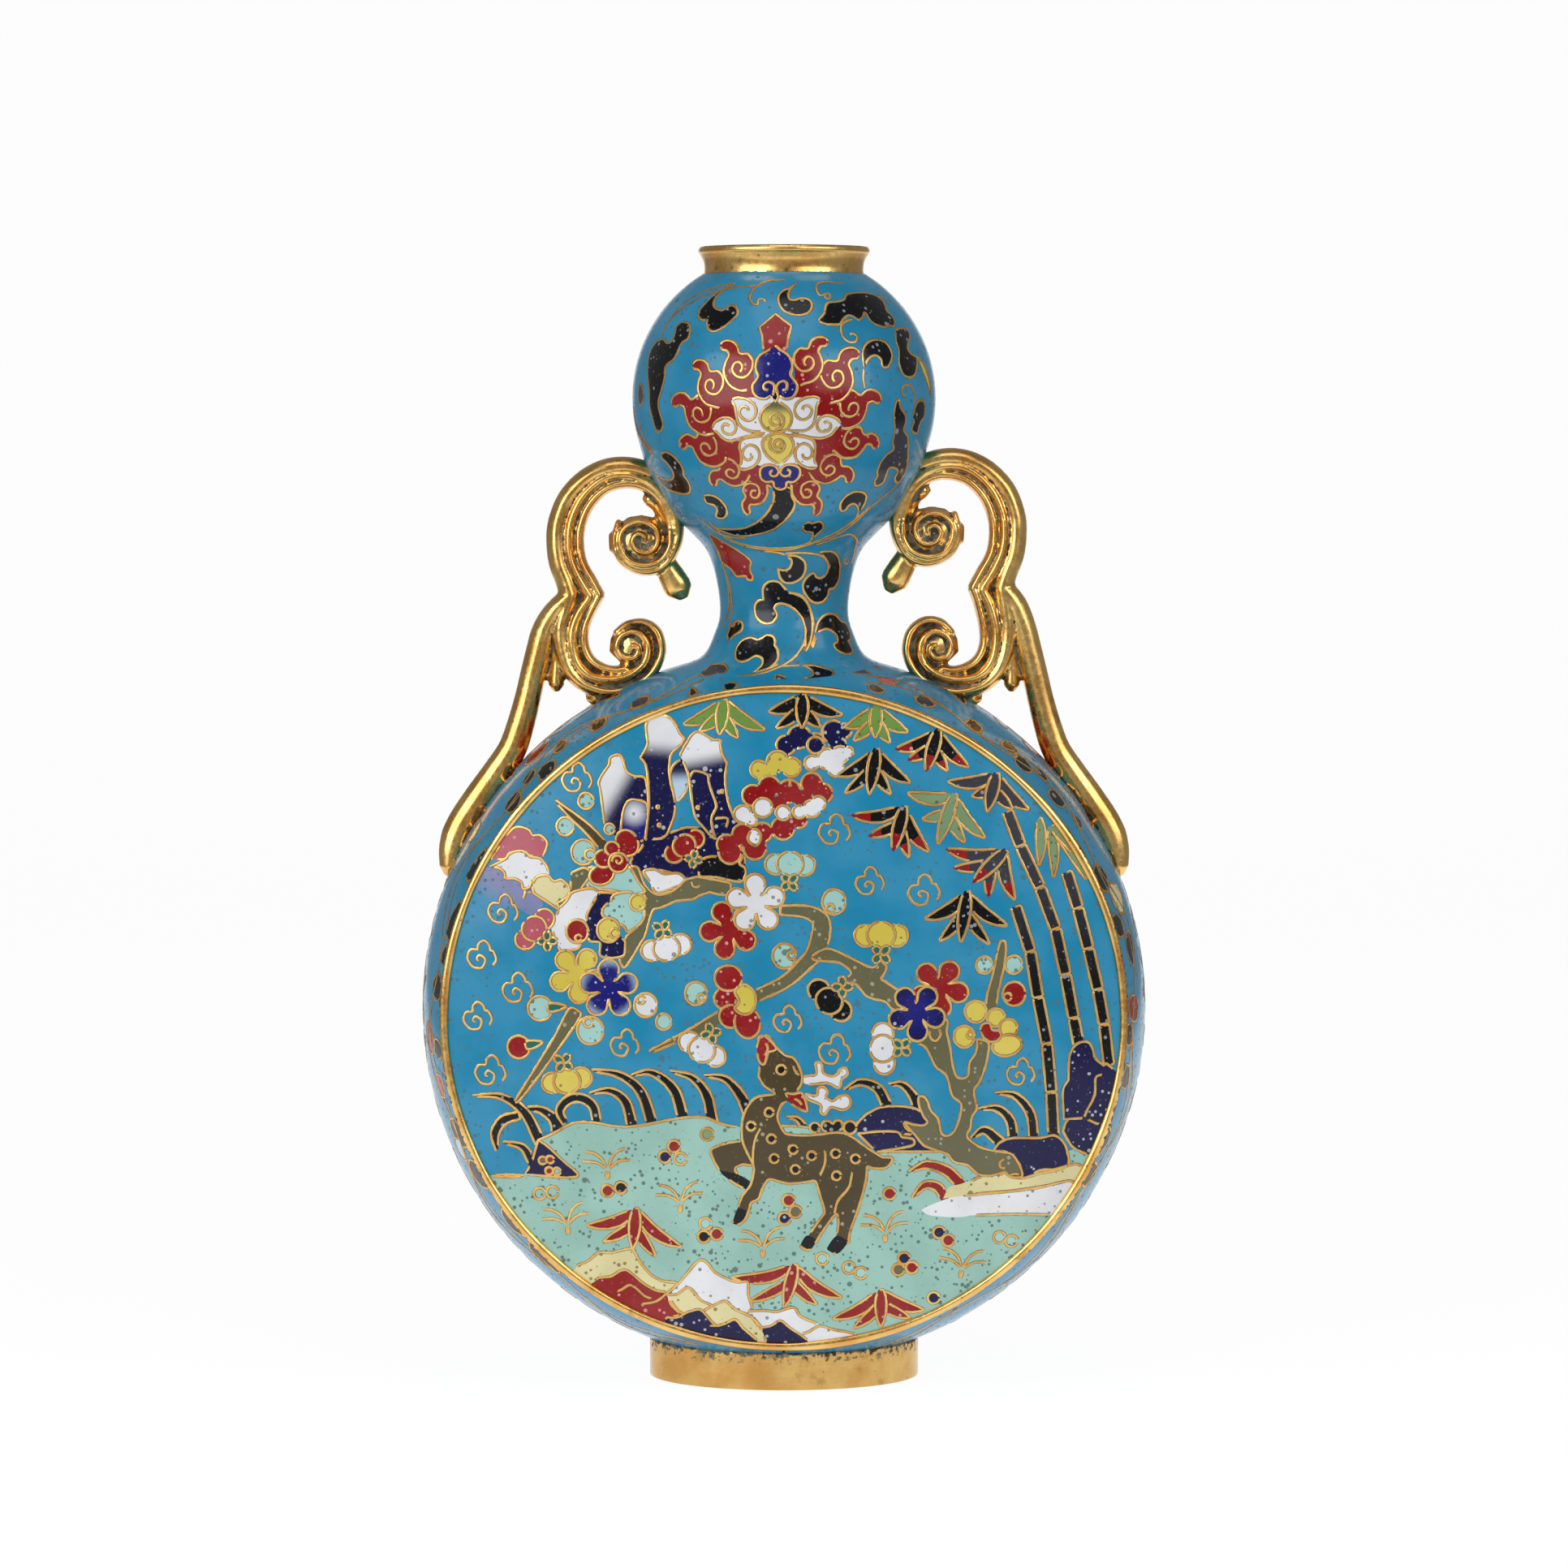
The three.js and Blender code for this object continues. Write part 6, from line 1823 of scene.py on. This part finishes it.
    m.blob([(-1.1, -16.2), (-0.3, -15.2), (1.0, -14.7), (2.8, -14.9), (3.8, -15.9), (3.7, -17.6),
            (2.4, -18.9), (0.8, -18.9), (0.4, -20.3), (-1.0, -20.8), (-2.4, -20.2), (-2.8, -18.8),
            (-4.4, -18.9), (-5.6, -18.1), (-5.8, -16.3), (-5.0, -15.1), (-3.3, -14.7), (-1.9, -15.2)],
           "cobalt")
    m.curve([(-1.9, -15.2), (-1.3, -16.2), (-1.9, -17.3), (-3.1, -17.3), (-3.3, -16.4), (-2.5, -16.0)])
    m.curve([(-0.2, -15.2), (-0.9, -16.5), (0.0, -17.4), (1.3, -17.1), (1.4, -16.1), (0.6, -15.8)])


def bulb_leaves(m):
    """Black leaves and vine curls around the lotus."""
    m.cell(cornered(
        [(-2.9, -20.4), (-2.7, -22.7), (-3.5, -24.7), (-5.3, -27.0), (-8.6, -29.3), (-13.3, -31.1),
         (-19.1, -31.6)],
        [(-25.7, -31.2), (-21.6, -32.7), (-17.2, -33.7), (-10.6, -33.3), (-4.4, -31.9), (-0.3, -29.3),
         (2.4, -26.2), (3.0, -24.1), (2.1, -22.4), (1.5, -20.4)],
    ), "black")
    m.blob([(-28.9, 17.2), (-26.3, 16.8), (-25.1, 15.4), (-24.7, 13.3), (-26.1, 12.4), (-26.8, 11.2),
            (-27.1, 9.6), (-28.0, 8.2), (-29.9, 7.1), (-30.2, 5.8), (-29.9, 4.4), (-30.6, 1.8),
            (-31.7, -0.4), (-31.8, -2.2), (-31.0, -4.4), (-30.8, -5.9), (-31.9, -7.1), (-33.5, -7.4),
            (-34.4, -6.1), (-34.8, -4.4), (-35.6, -2.1), (-35.8, 1.8), (-37.6, 5.8), (-38.7, 9.0),
            (-38.5, 11.3), (-36.4, 12.8), (-34.0, 13.1), (-31.9, 12.2), (-30.3, 12.6), (-30.0, 14.1),
            (-30.5, 16.1)], "black")
    m.cell(cornered(
        [(-17.1, 28.5), (-21.2, 26.0), (-22.9, 24.2), (-23.8, 22.3), (-24.7, 20.5), (-24.2, 18.8),
         (-22.5, 17.7), (-20.7, 17.7), (-20.4, 16.7), (-19.3, 15.3), (-17.8, 14.8), (-16.2, 15.2),
         (-14.6, 16.3), (-13.3, 17.7), (-12.4, 19.0), (-12.9, 20.6), (-14.5, 21.5), (-15.9, 21.1),
         (-17.1, 20.2), (-19.2, 20.7), (-20.7, 21.8), (-21.3, 23.7), (-20.2, 25.8)],
    ), "black")
    m.cell(cornered(
        [(4.6, 28.8), (1.7, 26.5), (0.1, 26.1), (-1.4, 24.7), (-1.7, 23.1), (-1.0, 21.1), (0.3, 19.7),
         (2.4, 18.9), (4.5, 18.8), (6.4, 19.5), (7.6, 20.9), (7.7, 22.3), (6.8, 23.3), (5.0, 23.6),
         (3.2, 23.0), (1.8, 23.1), (1.3, 24.5), (2.2, 26.5)],
    ), "black")
    m.blob([(8.8, 17.5), (10.6, 19.2), (11.5, 21.2), (12.8, 22.3), (15.8, 22.6), (18.1, 23.3), (19.9, 24.8),
            (24.9, 25.4), (29.4, 25.3), (32.4, 24.4), (33.7, 22.6), (32.3, 20.3), (33.2, 19.2),
            (33.2, 17.4), (31.6, 16.2), (29.6, 16.3), (27.8, 15.9), (25.2, 16.5), (23.7, 17.5),
            (23.1, 19.6), (21.6, 18.3), (19.9, 17.7), (18.7, 18.5), (17.3, 18.8), (15.4, 17.7),
            (14.3, 16.6), (12.0, 16.4), (10.2, 16.6)], "black")
    m.cell(cornered(
        [(18.6, 6.6), (18.5, 8.8), (19.0, 10.6), (20.5, 12.1), (22.6, 12.8), (25.1, 12.7), (26.7, 11.7),
         (27.4, 10.0), (26.9, 8.4), (25.5, 6.8), (24.2, 6.5), (23.6, 7.0), (23.6, 8.2), (22.7, 9.1),
         (21.2, 9.1), (19.6, 8.1)],
    ), "black")
    m.blob([(32.3, 15.4), (35.6, 15.8), (37.9, 15.2), (37.4, 13.7), (35.1, 12.2), (34.1, 10.8), (34.8, 9.7),
            (37.0, 9.0), (36.5, 7.2), (34.7, 5.1), (32.4, 4.4), (30.2, 4.9), (29.4, 6.2), (29.2, 8.0),
            (30.1, 10.3), (30.3, 13.1)], "black")
    m.blob([(28.0, -0.4), (28.7, -2.2), (30.3, -3.5), (31.0, -5.2), (30.7, -7.0), (33.0, -8.8),
            (34.3, -11.6), (35.9, -15.3), (36.1, -17.7), (35.2, -19.3), (32.5, -18.2), (32.4, -16.4),
            (30.5, -15.5), (28.3, -15.7), (28.3, -17.7), (28.3, -19.2), (26.5, -20.0), (25.1, -19.0),
            (25.2, -17.4), (24.6, -16.2), (24.9, -14.3), (26.4, -12.5), (28.5, -11.3), (27.6, -9.7),
            (27.4, -6.6), (26.6, -3.9), (27.0, -1.3)], fade("black", "slate", (27.9, -3.9), (28.9, -8.4)))
    m.blob([(33.5, -3.9), (34.1, -2.1), (35.4, -0.8), (37.4, -0.5), (39.0, -1.7), (39.1, -3.9),
            (37.7, -5.0), (37.0, -6.1), (36.7, -7.7), (34.1, -7.3), (33.9, -6.1), (34.3, -5.2)], "black")
    m.blob([(-34.0, -12.3), (-32.1, -11.9), (-29.9, -12.5), (-27.8, -14.1), (-27.0, -15.7), (-27.6, -17.4),
            (-27.0, -18.7), (-27.3, -20.5), (-28.7, -21.8), (-31.2, -22.1), (-35.4, -21.6), (-39.2, -20.6),
            (-41.2, -19.1), (-40.7, -17.5), (-37.6, -18.3), (-34.1, -18.5), (-31.9, -17.7), (-31.2, -16.2),
            (-32.4, -14.5), (-34.1, -13.4)], "black")
    m.blob([(-23.3, -22.5), (-21.4, -22.2), (-19.3, -22.7), (-17.8, -24.0), (-17.1, -25.5), (-17.6, -27.1),
            (-19.4, -28.2), (-21.6, -28.0), (-21.4, -27.1), (-20.4, -26.0), (-20.9, -24.8), (-22.2, -24.5),
            (-23.4, -24.0)], "black")
    m.blob([(6.5, -29.9), (7.7, -29.3), (9.1, -29.6), (10.9, -29.1), (12.5, -29.7), (13.4, -31.3),
            (12.4, -32.8), (11.3, -33.8), (10.4, -33.5), (10.1, -32.6), (8.6, -32.4), (7.0, -32.1),
            (6.2, -31.2)], "black")
    m.cell(cornered(
        [(23.6, -26.8), (22.6, -25.3), (20.8, -24.4), (19.3, -24.8), (18.5, -26.0), (17.2, -26.2),
         (16.3, -24.7), (16.5, -23.7), (17.4, -22.5), (19.3, -21.5), (21.5, -21.4), (23.6, -22.0),
         (24.6, -23.3), (24.5, -25.0)],
    ), "black")
    m.blob([(-41.6, 3.0), (-42.1, 0.5), (-40.8, -1.7), (-38.6, 0.1), (-39.5, 2.3)], "slate")
    m.blob([(-47.8, -1.7), (-46.3, -6.1), (-42.5, -9.8), (-38.2, -12.3), (-41.4, -11.2), (-46.1, -8.4),
            (-47.9, -5.2)], "yellow")
    m.blob([(37.7, 9.2), (40.7, 7.2), (42.5, 3.6), (43.1, 0.5), (40.8, 3.2), (38.7, 6.1)], "yellow")
    for vine in (
        [(-34.5, 13.1), (-35.6, 14.9), (-35.6, 17.4), (-33.2, 20.4), (-29.4, 23.0), (-24.6, 25.2),
         (-19.2, 26.5), (-12.4, 27.3), (-6.9, 27.4)],
        [(-35.6, 17.4), (-34.8, 20.9), (-31.7, 24.1), (-26.1, 26.7), (-17.4, 28.4)],
        [(-5.3, 22.3), (-5.9, 23.3), (-7.5, 23.1), (-7.4, 21.7), (-8.7, 22.0), (-10.2, 23.8), (-9.8, 26.0),
         (-8.1, 28.0), (-4.5, 29.3), (1.1, 29.6)],
        [(13.3, 24.4), (12.2, 24.1), (12.7, 23.3), (14.1, 24.0), (13.6, 25.1), (11.0, 24.3), (10.3, 25.9),
         (10.8, 27.5), (12.5, 28.5), (16.3, 28.8), (22.6, 28.3)],
        [(19.0, 17.9), (16.5, 17.4), (14.7, 16.4), (14.1, 14.9), (14.3, 13.4), (15.6, 12.3), (17.3, 12.4),
         (18.0, 13.5), (17.2, 14.3), (16.2, 14.0)],
        [(18.6, 7.0), (18.0, 3.9), (18.7, 0.6)],
        [(30.7, 1.0), (29.9, 0.4), (29.1, 1.1), (29.4, 2.3), (31.1, 2.8), (33.1, 2.0), (34.0, -0.8),
         (33.9, -3.9)],
        [(37.5, 9.0), (40.8, 7.4), (43.0, 4.1), (43.5, 0.5)],
        [(31.5, 24.4), (35.2, 24.0), (35.8, 22.1)],
        [(-48.7, -1.6), (-46.6, -6.4), (-42.8, -10.0), (-37.7, -12.5)],
        [(-42.5, -4.3), (-42.0, -8.4), (-38.1, -12.1)],
        [(10.5, -33.6), (10.1, -35.4), (7.1, -36.7)],
        [(23.5, -26.6), (23.7, -28.0), (22.9, -31.0), (18.9, -33.4)],
        [(-30.7, -27.5), (-28.1, -29.9), (-26.2, -32.5), (-21.0, -34.1), (-14.2, -34.3)],
        [(-26.3, -28.3), (-24.9, -31.4), (-22.7, -34.9), (-15.8, -36.9), (-7.2, -37.7), (3.0, -37.6),
         (11.9, -35.9), (19.8, -33.5), (23.8, -30.1), (27.1, -25.8), (32.3, -22.1), (35.7, -19.3)],
        [(-24.4, -32.7), (-20.3, -35.3), (-12.2, -36.9), (-2.0, -37.3), (6.3, -36.7), (13.1, -35.1),
         (19.6, -32.2), (23.5, -28.8), (27.7, -24.3)],
    ):
        m.curve(vine)


def neck_leaves(m):
    """Leaves, a red bud and vines on the waist and the flare below it."""
    m.cell(cornered(
        [(-30.7, -32.9), (-28.5, -34.2), (-25.6, -35.9), (-22.0, -37.5), (-18.6, -38.9), (-16.3, -40.0),
         (-15.5, -40.9), (-16.4, -41.8), (-16.6, -43.0), (-15.6, -44.0), (-16.3, -44.8), (-17.8, -44.9),
         (-19.0, -44.6), (-19.7, -44.0), (-23.6, -44.1), (-25.8, -43.9), (-28.3, -42.4), (-32.3, -41.3),
         (-34.4, -40.0), (-33.5, -37.2)],
    ), "red")
    m.cell(cornered(
        [(1.3, -39.2), (3.2, -40.2), (3.4, -41.2), (2.3, -42.2), (0.1, -42.6)],
        [(-2.9, -42.3), (-2.4, -43.6), (-1.3, -44.7), (0.6, -45.4), (3.5, -45.5), (6.6, -45.0),
         (9.1, -44.0), (10.2, -42.5), (9.8, -41.0), (7.9, -39.9), (5.0, -39.2)],
    ), "black")
    m.cell(cornered(
        [(16.0, -38.4), (20.1, -38.2), (22.8, -38.4), (26.2, -39.4), (28.8, -40.8), (30.3, -42.3),
         (31.0, -44.5), (29.8, -46.0), (27.8, -46.8)],
        [(24.6, -47.0), (24.6, -48.2), (22.6, -49.4), (19.1, -50.0), (14.9, -49.7), (12.1, -48.6),
         (9.9, -47.2), (9.5, -45.6), (10.8, -44.4), (13.0, -43.5)],
        [(14.7, -43.2), (16.5, -44.2), (19.1, -44.4), (21.7, -43.5), (22.3, -42.0), (21.1, -40.7),
         (18.7, -39.6)],
    ), "black")
    m.cell(cornered(
        [(2.0, -47.5), (-0.3, -46.2), (-2.7, -45.2), (-6.2, -45.0), (-9.0, -45.6), (-10.6, -46.6),
         (-10.9, -47.8)],
        [(-10.7, -49.2), (-13.2, -49.4), (-15.3, -50.3), (-15.7, -51.6), (-14.5, -53.1), (-11.6, -54.1),
         (-8.6, -54.4), (-5.7, -54.1), (-3.7, -53.0), (-3.7, -52.1)],
        [(-5.0, -51.1), (-3.6, -50.2), (-0.7, -50.0), (2.9, -50.6), (6.6, -51.8), (9.5, -53.4),
         (10.7, -55.6), (10.2, -57.2)],
        [(9.4, -60.5), (11.7, -59.0), (13.4, -57.2), (14.9, -54.6), (14.4, -52.5), (13.0, -50.5),
         (10.2, -48.9), (6.5, -48.0)],
    ), fade("slate", "black", (-9.1, -52.1), (-5.0, -49.0)))
    m.cell(cornered(
        [(-11.8, -66.1), (-9.9, -64.6), (-8.9, -63.4), (-9.2, -62.2), (-10.9, -61.6), (-12.8, -61.6),
         (-15.6, -62.7), (-18.3, -63.2), (-21.0, -62.8), (-22.7, -61.3), (-22.8, -59.7), (-20.8, -58.3),
         (-16.5, -57.6)],
        [(-12.7, -58.1), (-10.7, -57.7), (-8.4, -57.0), (-5.6, -57.2), (-4.2, -58.1)],
        [(-4.2, -59.1), (-2.8, -60.1), (-2.5, -61.6), (-3.4, -63.0), (-6.0, -64.5), (-9.1, -65.4)],
    ), "black")
    m.cell(cornered(
        [(15.9, -56.5), (17.5, -54.7), (20.0, -53.4), (23.8, -52.5), (27.9, -52.4), (31.9, -52.9),
         (34.8, -54.0), (40.8, -54.8), (42.0, -56.6), (39.6, -58.2)],
        [(36.3, -58.6), (37.3, -60.2), (35.8, -61.5), (31.4, -61.8), (28.1, -61.2), (25.4, -60.2),
         (25.0, -59.1), (27.7, -58.6), (28.4, -57.4), (25.9, -56.2), (22.5, -55.7), (18.9, -56.1)],
    ), "black")
    m.blob([(-29.5, -58.2), (-31.4, -57.4), (-31.4, -56.1), (-31.6, -55.1), (-28.7, -55.1), (-28.2, -54.3),
            (-25.8, -53.9), (-23.1, -54.4), (-22.3, -55.7), (-23.7, -56.5), (-26.4, -57.2), (-28.1, -58.1)],
           "black")
    m.cell(cornered(
        [(-33.1, -68.1), (-31.6, -67.8), (-31.9, -65.8), (-28.7, -64.8), (-25.6, -64.7), (-22.8, -65.7),
         (-22.2, -67.3), (-24.0, -68.1)],
        [(-28.9, -68.1), (-28.4, -68.1), (-30.5, -68.1)],
    ), "slate")
    m.cell(cornered(
        [(6.8, -67.7), (8.9, -67.4), (10.4, -66.7), (10.8, -65.5), (9.5, -64.4)],
        [(7.3, -63.8), (11.4, -63.9), (15.2, -64.7), (18.1, -65.9), (18.4, -67.2), (15.8, -68.0),
         (15.1, -68.1), (11.8, -68.1), (8.9, -68.1)],
    ), "black")
    m.blob([(-4.5, -68.1), (-3.3, -67.8), (-2.9, -66.5), (-0.5, -66.7), (1.0, -68.0), (0.0, -68.1),
            (-2.2, -68.1)], "slate")
    for vine in (
        [(-9.3, -38.1), (-4.2, -38.3), (-0.9, -38.7), (1.4, -39.3)],
        [(-0.3, -38.7), (6.7, -38.5), (13.2, -38.8), (18.0, -39.5), (21.3, -41.0)],
        [(12.2, -36.7), (16.5, -35.6), (20.6, -34.3), (24.3, -33.3), (27.2, -33.4), (31.3, -34.5),
         (34.7, -36.0), (38.0, -38.7), (41.0, -41.8)],
        [(-33.5, -37.2), (-33.7, -41.5), (-32.5, -43.9), (-31.5, -46.7), (-31.2, -49.8), (-31.2, -52.2),
         (-32.7, -53.7), (-32.8, -55.0)],
        [(-34.4, -40.0), (-33.2, -43.0), (-32.9, -45.5), (-33.5, -48.3), (-35.0, -51.7), (-37.4, -54.3),
         (-37.6, -55.9)],
        [(2.2, -47.5), (7.2, -48.0), (11.2, -49.1), (13.6, -50.9), (15.0, -52.8), (15.7, -55.0)],
        [(15.9, -56.5), (13.4, -58.7), (12.3, -59.9)],
        [(16.4, -57.3), (14.3, -58.7), (12.7, -59.9)],
        [(10.2, -57.2), (9.3, -58.7), (7.5, -59.9), (4.7, -61.6), (1.2, -63.1), (-2.7, -64.4),
         (-7.8, -66.0), (-13.3, -67.7)],
        [(-1.6, -64.1), (-5.8, -65.3), (-11.6, -66.9), (-18.3, -68.1)],
        [(-1.6, -64.1), (1.7, -63.8), (7.4, -63.8)],
        [(-11.8, -66.1), (-6.0, -64.6), (-1.7, -63.1)],
        [(34.4, -39.6), (32.2, -40.3), (32.9, -41.2), (35.6, -41.1), (35.8, -40.2)],
    ):
        m.curve(vine)


def gourd():
    """The same flower front and rear; the rear one is drawn at both ends of the unrolled surface."""
    half = math.pi * BULB_R
    top = EQUATOR_LONG + 1.0
    across = np.linspace(-half, half, 90)
    edge = [*[(x, GOURD_END) for x in across], *[(x, top) for x in across[::-1]]]
    m = Mosaic("gourd", gourd_surface, gourd_core, np.array(edge), "turquoise", 1.5)
    for shift in (-half, half, 0):
        m.shift = np.array([shift, 0])
        bulb_leaves(m)
        lotus(m)
        neck_leaves(m)
    return m


# ---- The rear roundel ----------------------------------------------------------------------------


def rear_panel():
    """The same hillside seen the other way round and in other colours."""
    m = roundel("rear", 1)
    facing = m.surface
    m.surface = lambda flat: facing(flat * (-1, 1))
    m.swaps = {"red": "yellow", "yellow": "rose", "rose": "red", "navy": "cobalt", "cobalt": "red"}
    for part in HILLSIDE:
        part(m)
    return m


# ---- The unseen metal ----------------------------------------------------------------------------


def dress_cad_nodes():
    """Copper sheets, pins and the base plate keep their CAD shape and get their materials."""
    for name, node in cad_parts.items():
        if name.endswith(("_copper", "_pin")) or name == "base_plate":
            node.data.materials.clear()
            node.data.materials.append(GILT_TURNED if name == "base_plate" else COPPER)


# ---- Studio --------------------------------------------------------------------------------------

EYE = Vector((0, -1.170, 0.210))  # the camera's place and the point that it looks at, in metres
AIM = Vector((0, 0, 0.1317))
FRAME, FOCAL = 1932, 6530  # the square picture's side and the focal length, in the same unit
SIDE_GLOW, BACK_GLOW = 0.22, 0.945  # light given off by the bowl at the sides and behind the flask
FLOOR_WHITE = 0.08  # share of light that the bowl throws back
BOWL_R, BOWL_BEND, BOWL_TOP = 1.4, 0.9, 2.6  # level radius, radius of the curve, height of the wall


def camera():
    """A camera without shift in front of the flask, slightly above its middle."""
    data = bpy.data.cameras.new("camera")
    data.angle = 2 * math.atan(FRAME / 2 / FOCAL)
    eye = bpy.data.objects.new("camera", data)
    eye.location = EYE
    eye.rotation_euler = (AIM - EYE).to_track_quat("-Z", "Y").to_euler()
    bpy.context.scene.collection.objects.link(eye)
    bpy.context.scene.camera = eye


def softbox(name, azimuth, elevation, distance, size, watts, aim=(0, 0, 0.13)):
    """A rectangular soft light. Azimuth runs from the front, positive to the right."""
    turn, lift = math.radians(azimuth), math.radians(elevation)
    data = bpy.data.lights.new(name, "AREA")
    data.shape, data.size, data.size_y = "RECTANGLE", *size
    data.energy = watts
    light = bpy.data.objects.new(name, data)
    way = Vector((math.sin(turn) * math.cos(lift), -math.cos(turn) * math.cos(lift), math.sin(lift)))
    light.location = Vector(aim) + way * distance
    light.rotation_euler = (-way).to_track_quat("-Z", "Y").to_euler()
    bpy.context.scene.collection.objects.link(light)


def studio():
    """A pale bowl, level under the flask and curving up into walls all around."""
    around = 96
    angles = np.linspace(0, 2 * np.pi, around, endpoint=False)
    profile = [(0.0, 0.0), (0.3, 0.0), (0.8, 0.0), (BOWL_R, 0.0)]
    for t in np.linspace(0.15, np.pi / 2, 10):
        profile.append((BOWL_R + BOWL_BEND * math.sin(t), BOWL_BEND - BOWL_BEND * math.cos(t)))
    profile.append((BOWL_R + BOWL_BEND, BOWL_TOP))
    rings = [np.stack([r * np.cos(angles), r * np.sin(angles), np.full(around, z)], 1) for r, z in profile]
    faces = []
    for start in range(0, around * (len(rings) - 1), around):
        for i in range(around):
            j = (i + 1) % around
            faces.append((start + i, start + j, start + around + j, start + around + i))
    mesh = bpy.data.meshes.new("studio_floor")
    mesh.from_pydata(np.vstack(rings).tolist(), [], faces)
    mesh.shade_smooth()
    floor = bpy.data.objects.new("studio_floor", mesh)
    bpy.context.scene.collection.objects.link(floor)
    nodes = Nodes("pale_floor")
    axes = nodes.add("ShaderNodeSeparateXYZ", {"Vector": nodes.place})
    behind = nodes.ramp(axes.outputs[1], -0.55, -0.25)
    wedge = nodes.math("ADD", nodes.math("MULTIPLY", axes.outputs[1], 0.165), 0.23)
    aside = nodes.math("SUBTRACT", nodes.math("ABSOLUTE", axes.outputs[0]), wedge)
    within = nodes.ramp(aside, 0.0, 0.2, 1.0, 0.0)
    below = nodes.ramp(axes.outputs[2], 0.55, 0.85, 1.0, 0.0)
    backdrop = nodes.math("MULTIPLY", nodes.math("MULTIPLY", behind, within), below)
    shine = nodes.ramp(backdrop, 0.0, 1.0, SIDE_GLOW, BACK_GLOW)
    nodes.set(Base_Color=opaque((FLOOR_WHITE,) * 3), Roughness=1.0, Specular_IOR_Level=0.0,
              Emission_Color=opaque((1, 1, 1)), Emission_Strength=shine)
    mesh.materials.append(nodes.material)
    world = bpy.data.worlds.new("studio")
    world.use_nodes = True
    world.node_tree.nodes["Background"].inputs["Color"].default_value = (1, 1, 1, 1)
    world.node_tree.nodes["Background"].inputs["Strength"].default_value = 0.2
    bpy.context.scene.world = world
    bpy.context.scene.view_settings.view_transform = "Standard"


# ---- Assembly ------------------------------------------------------------------------------------

camera()
studio()
softbox("left_box", azimuth=-42, elevation=17, distance=1.25, size=(1.0, 0.8), watts=8.2)
softbox("right_box", azimuth=46, elevation=24, distance=1.2, size=(1.0, 0.6), watts=4.8)
softbox("top_box", azimuth=5, elevation=66, distance=1.2, size=(0.8, 0.8), watts=2.6)
dress_cad_nodes()
mouth_collar()
foot_ring()
for facing, name in ((-1, "front"), (1, "rear")):
    border_ring(facing, name)
for facing, name in ((-1, "left"), (1, "right")):
    handle(facing, name)

for build in (front_panel, rear_panel, gourd, band):
    mosaic = build()
    mosaic.wire_piece()
    mosaic.cell_pieces()
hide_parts("bulb_enamel", "neck_enamel", "band_enamel", "front_panel_enamel",
            "rear_panel_enamel")
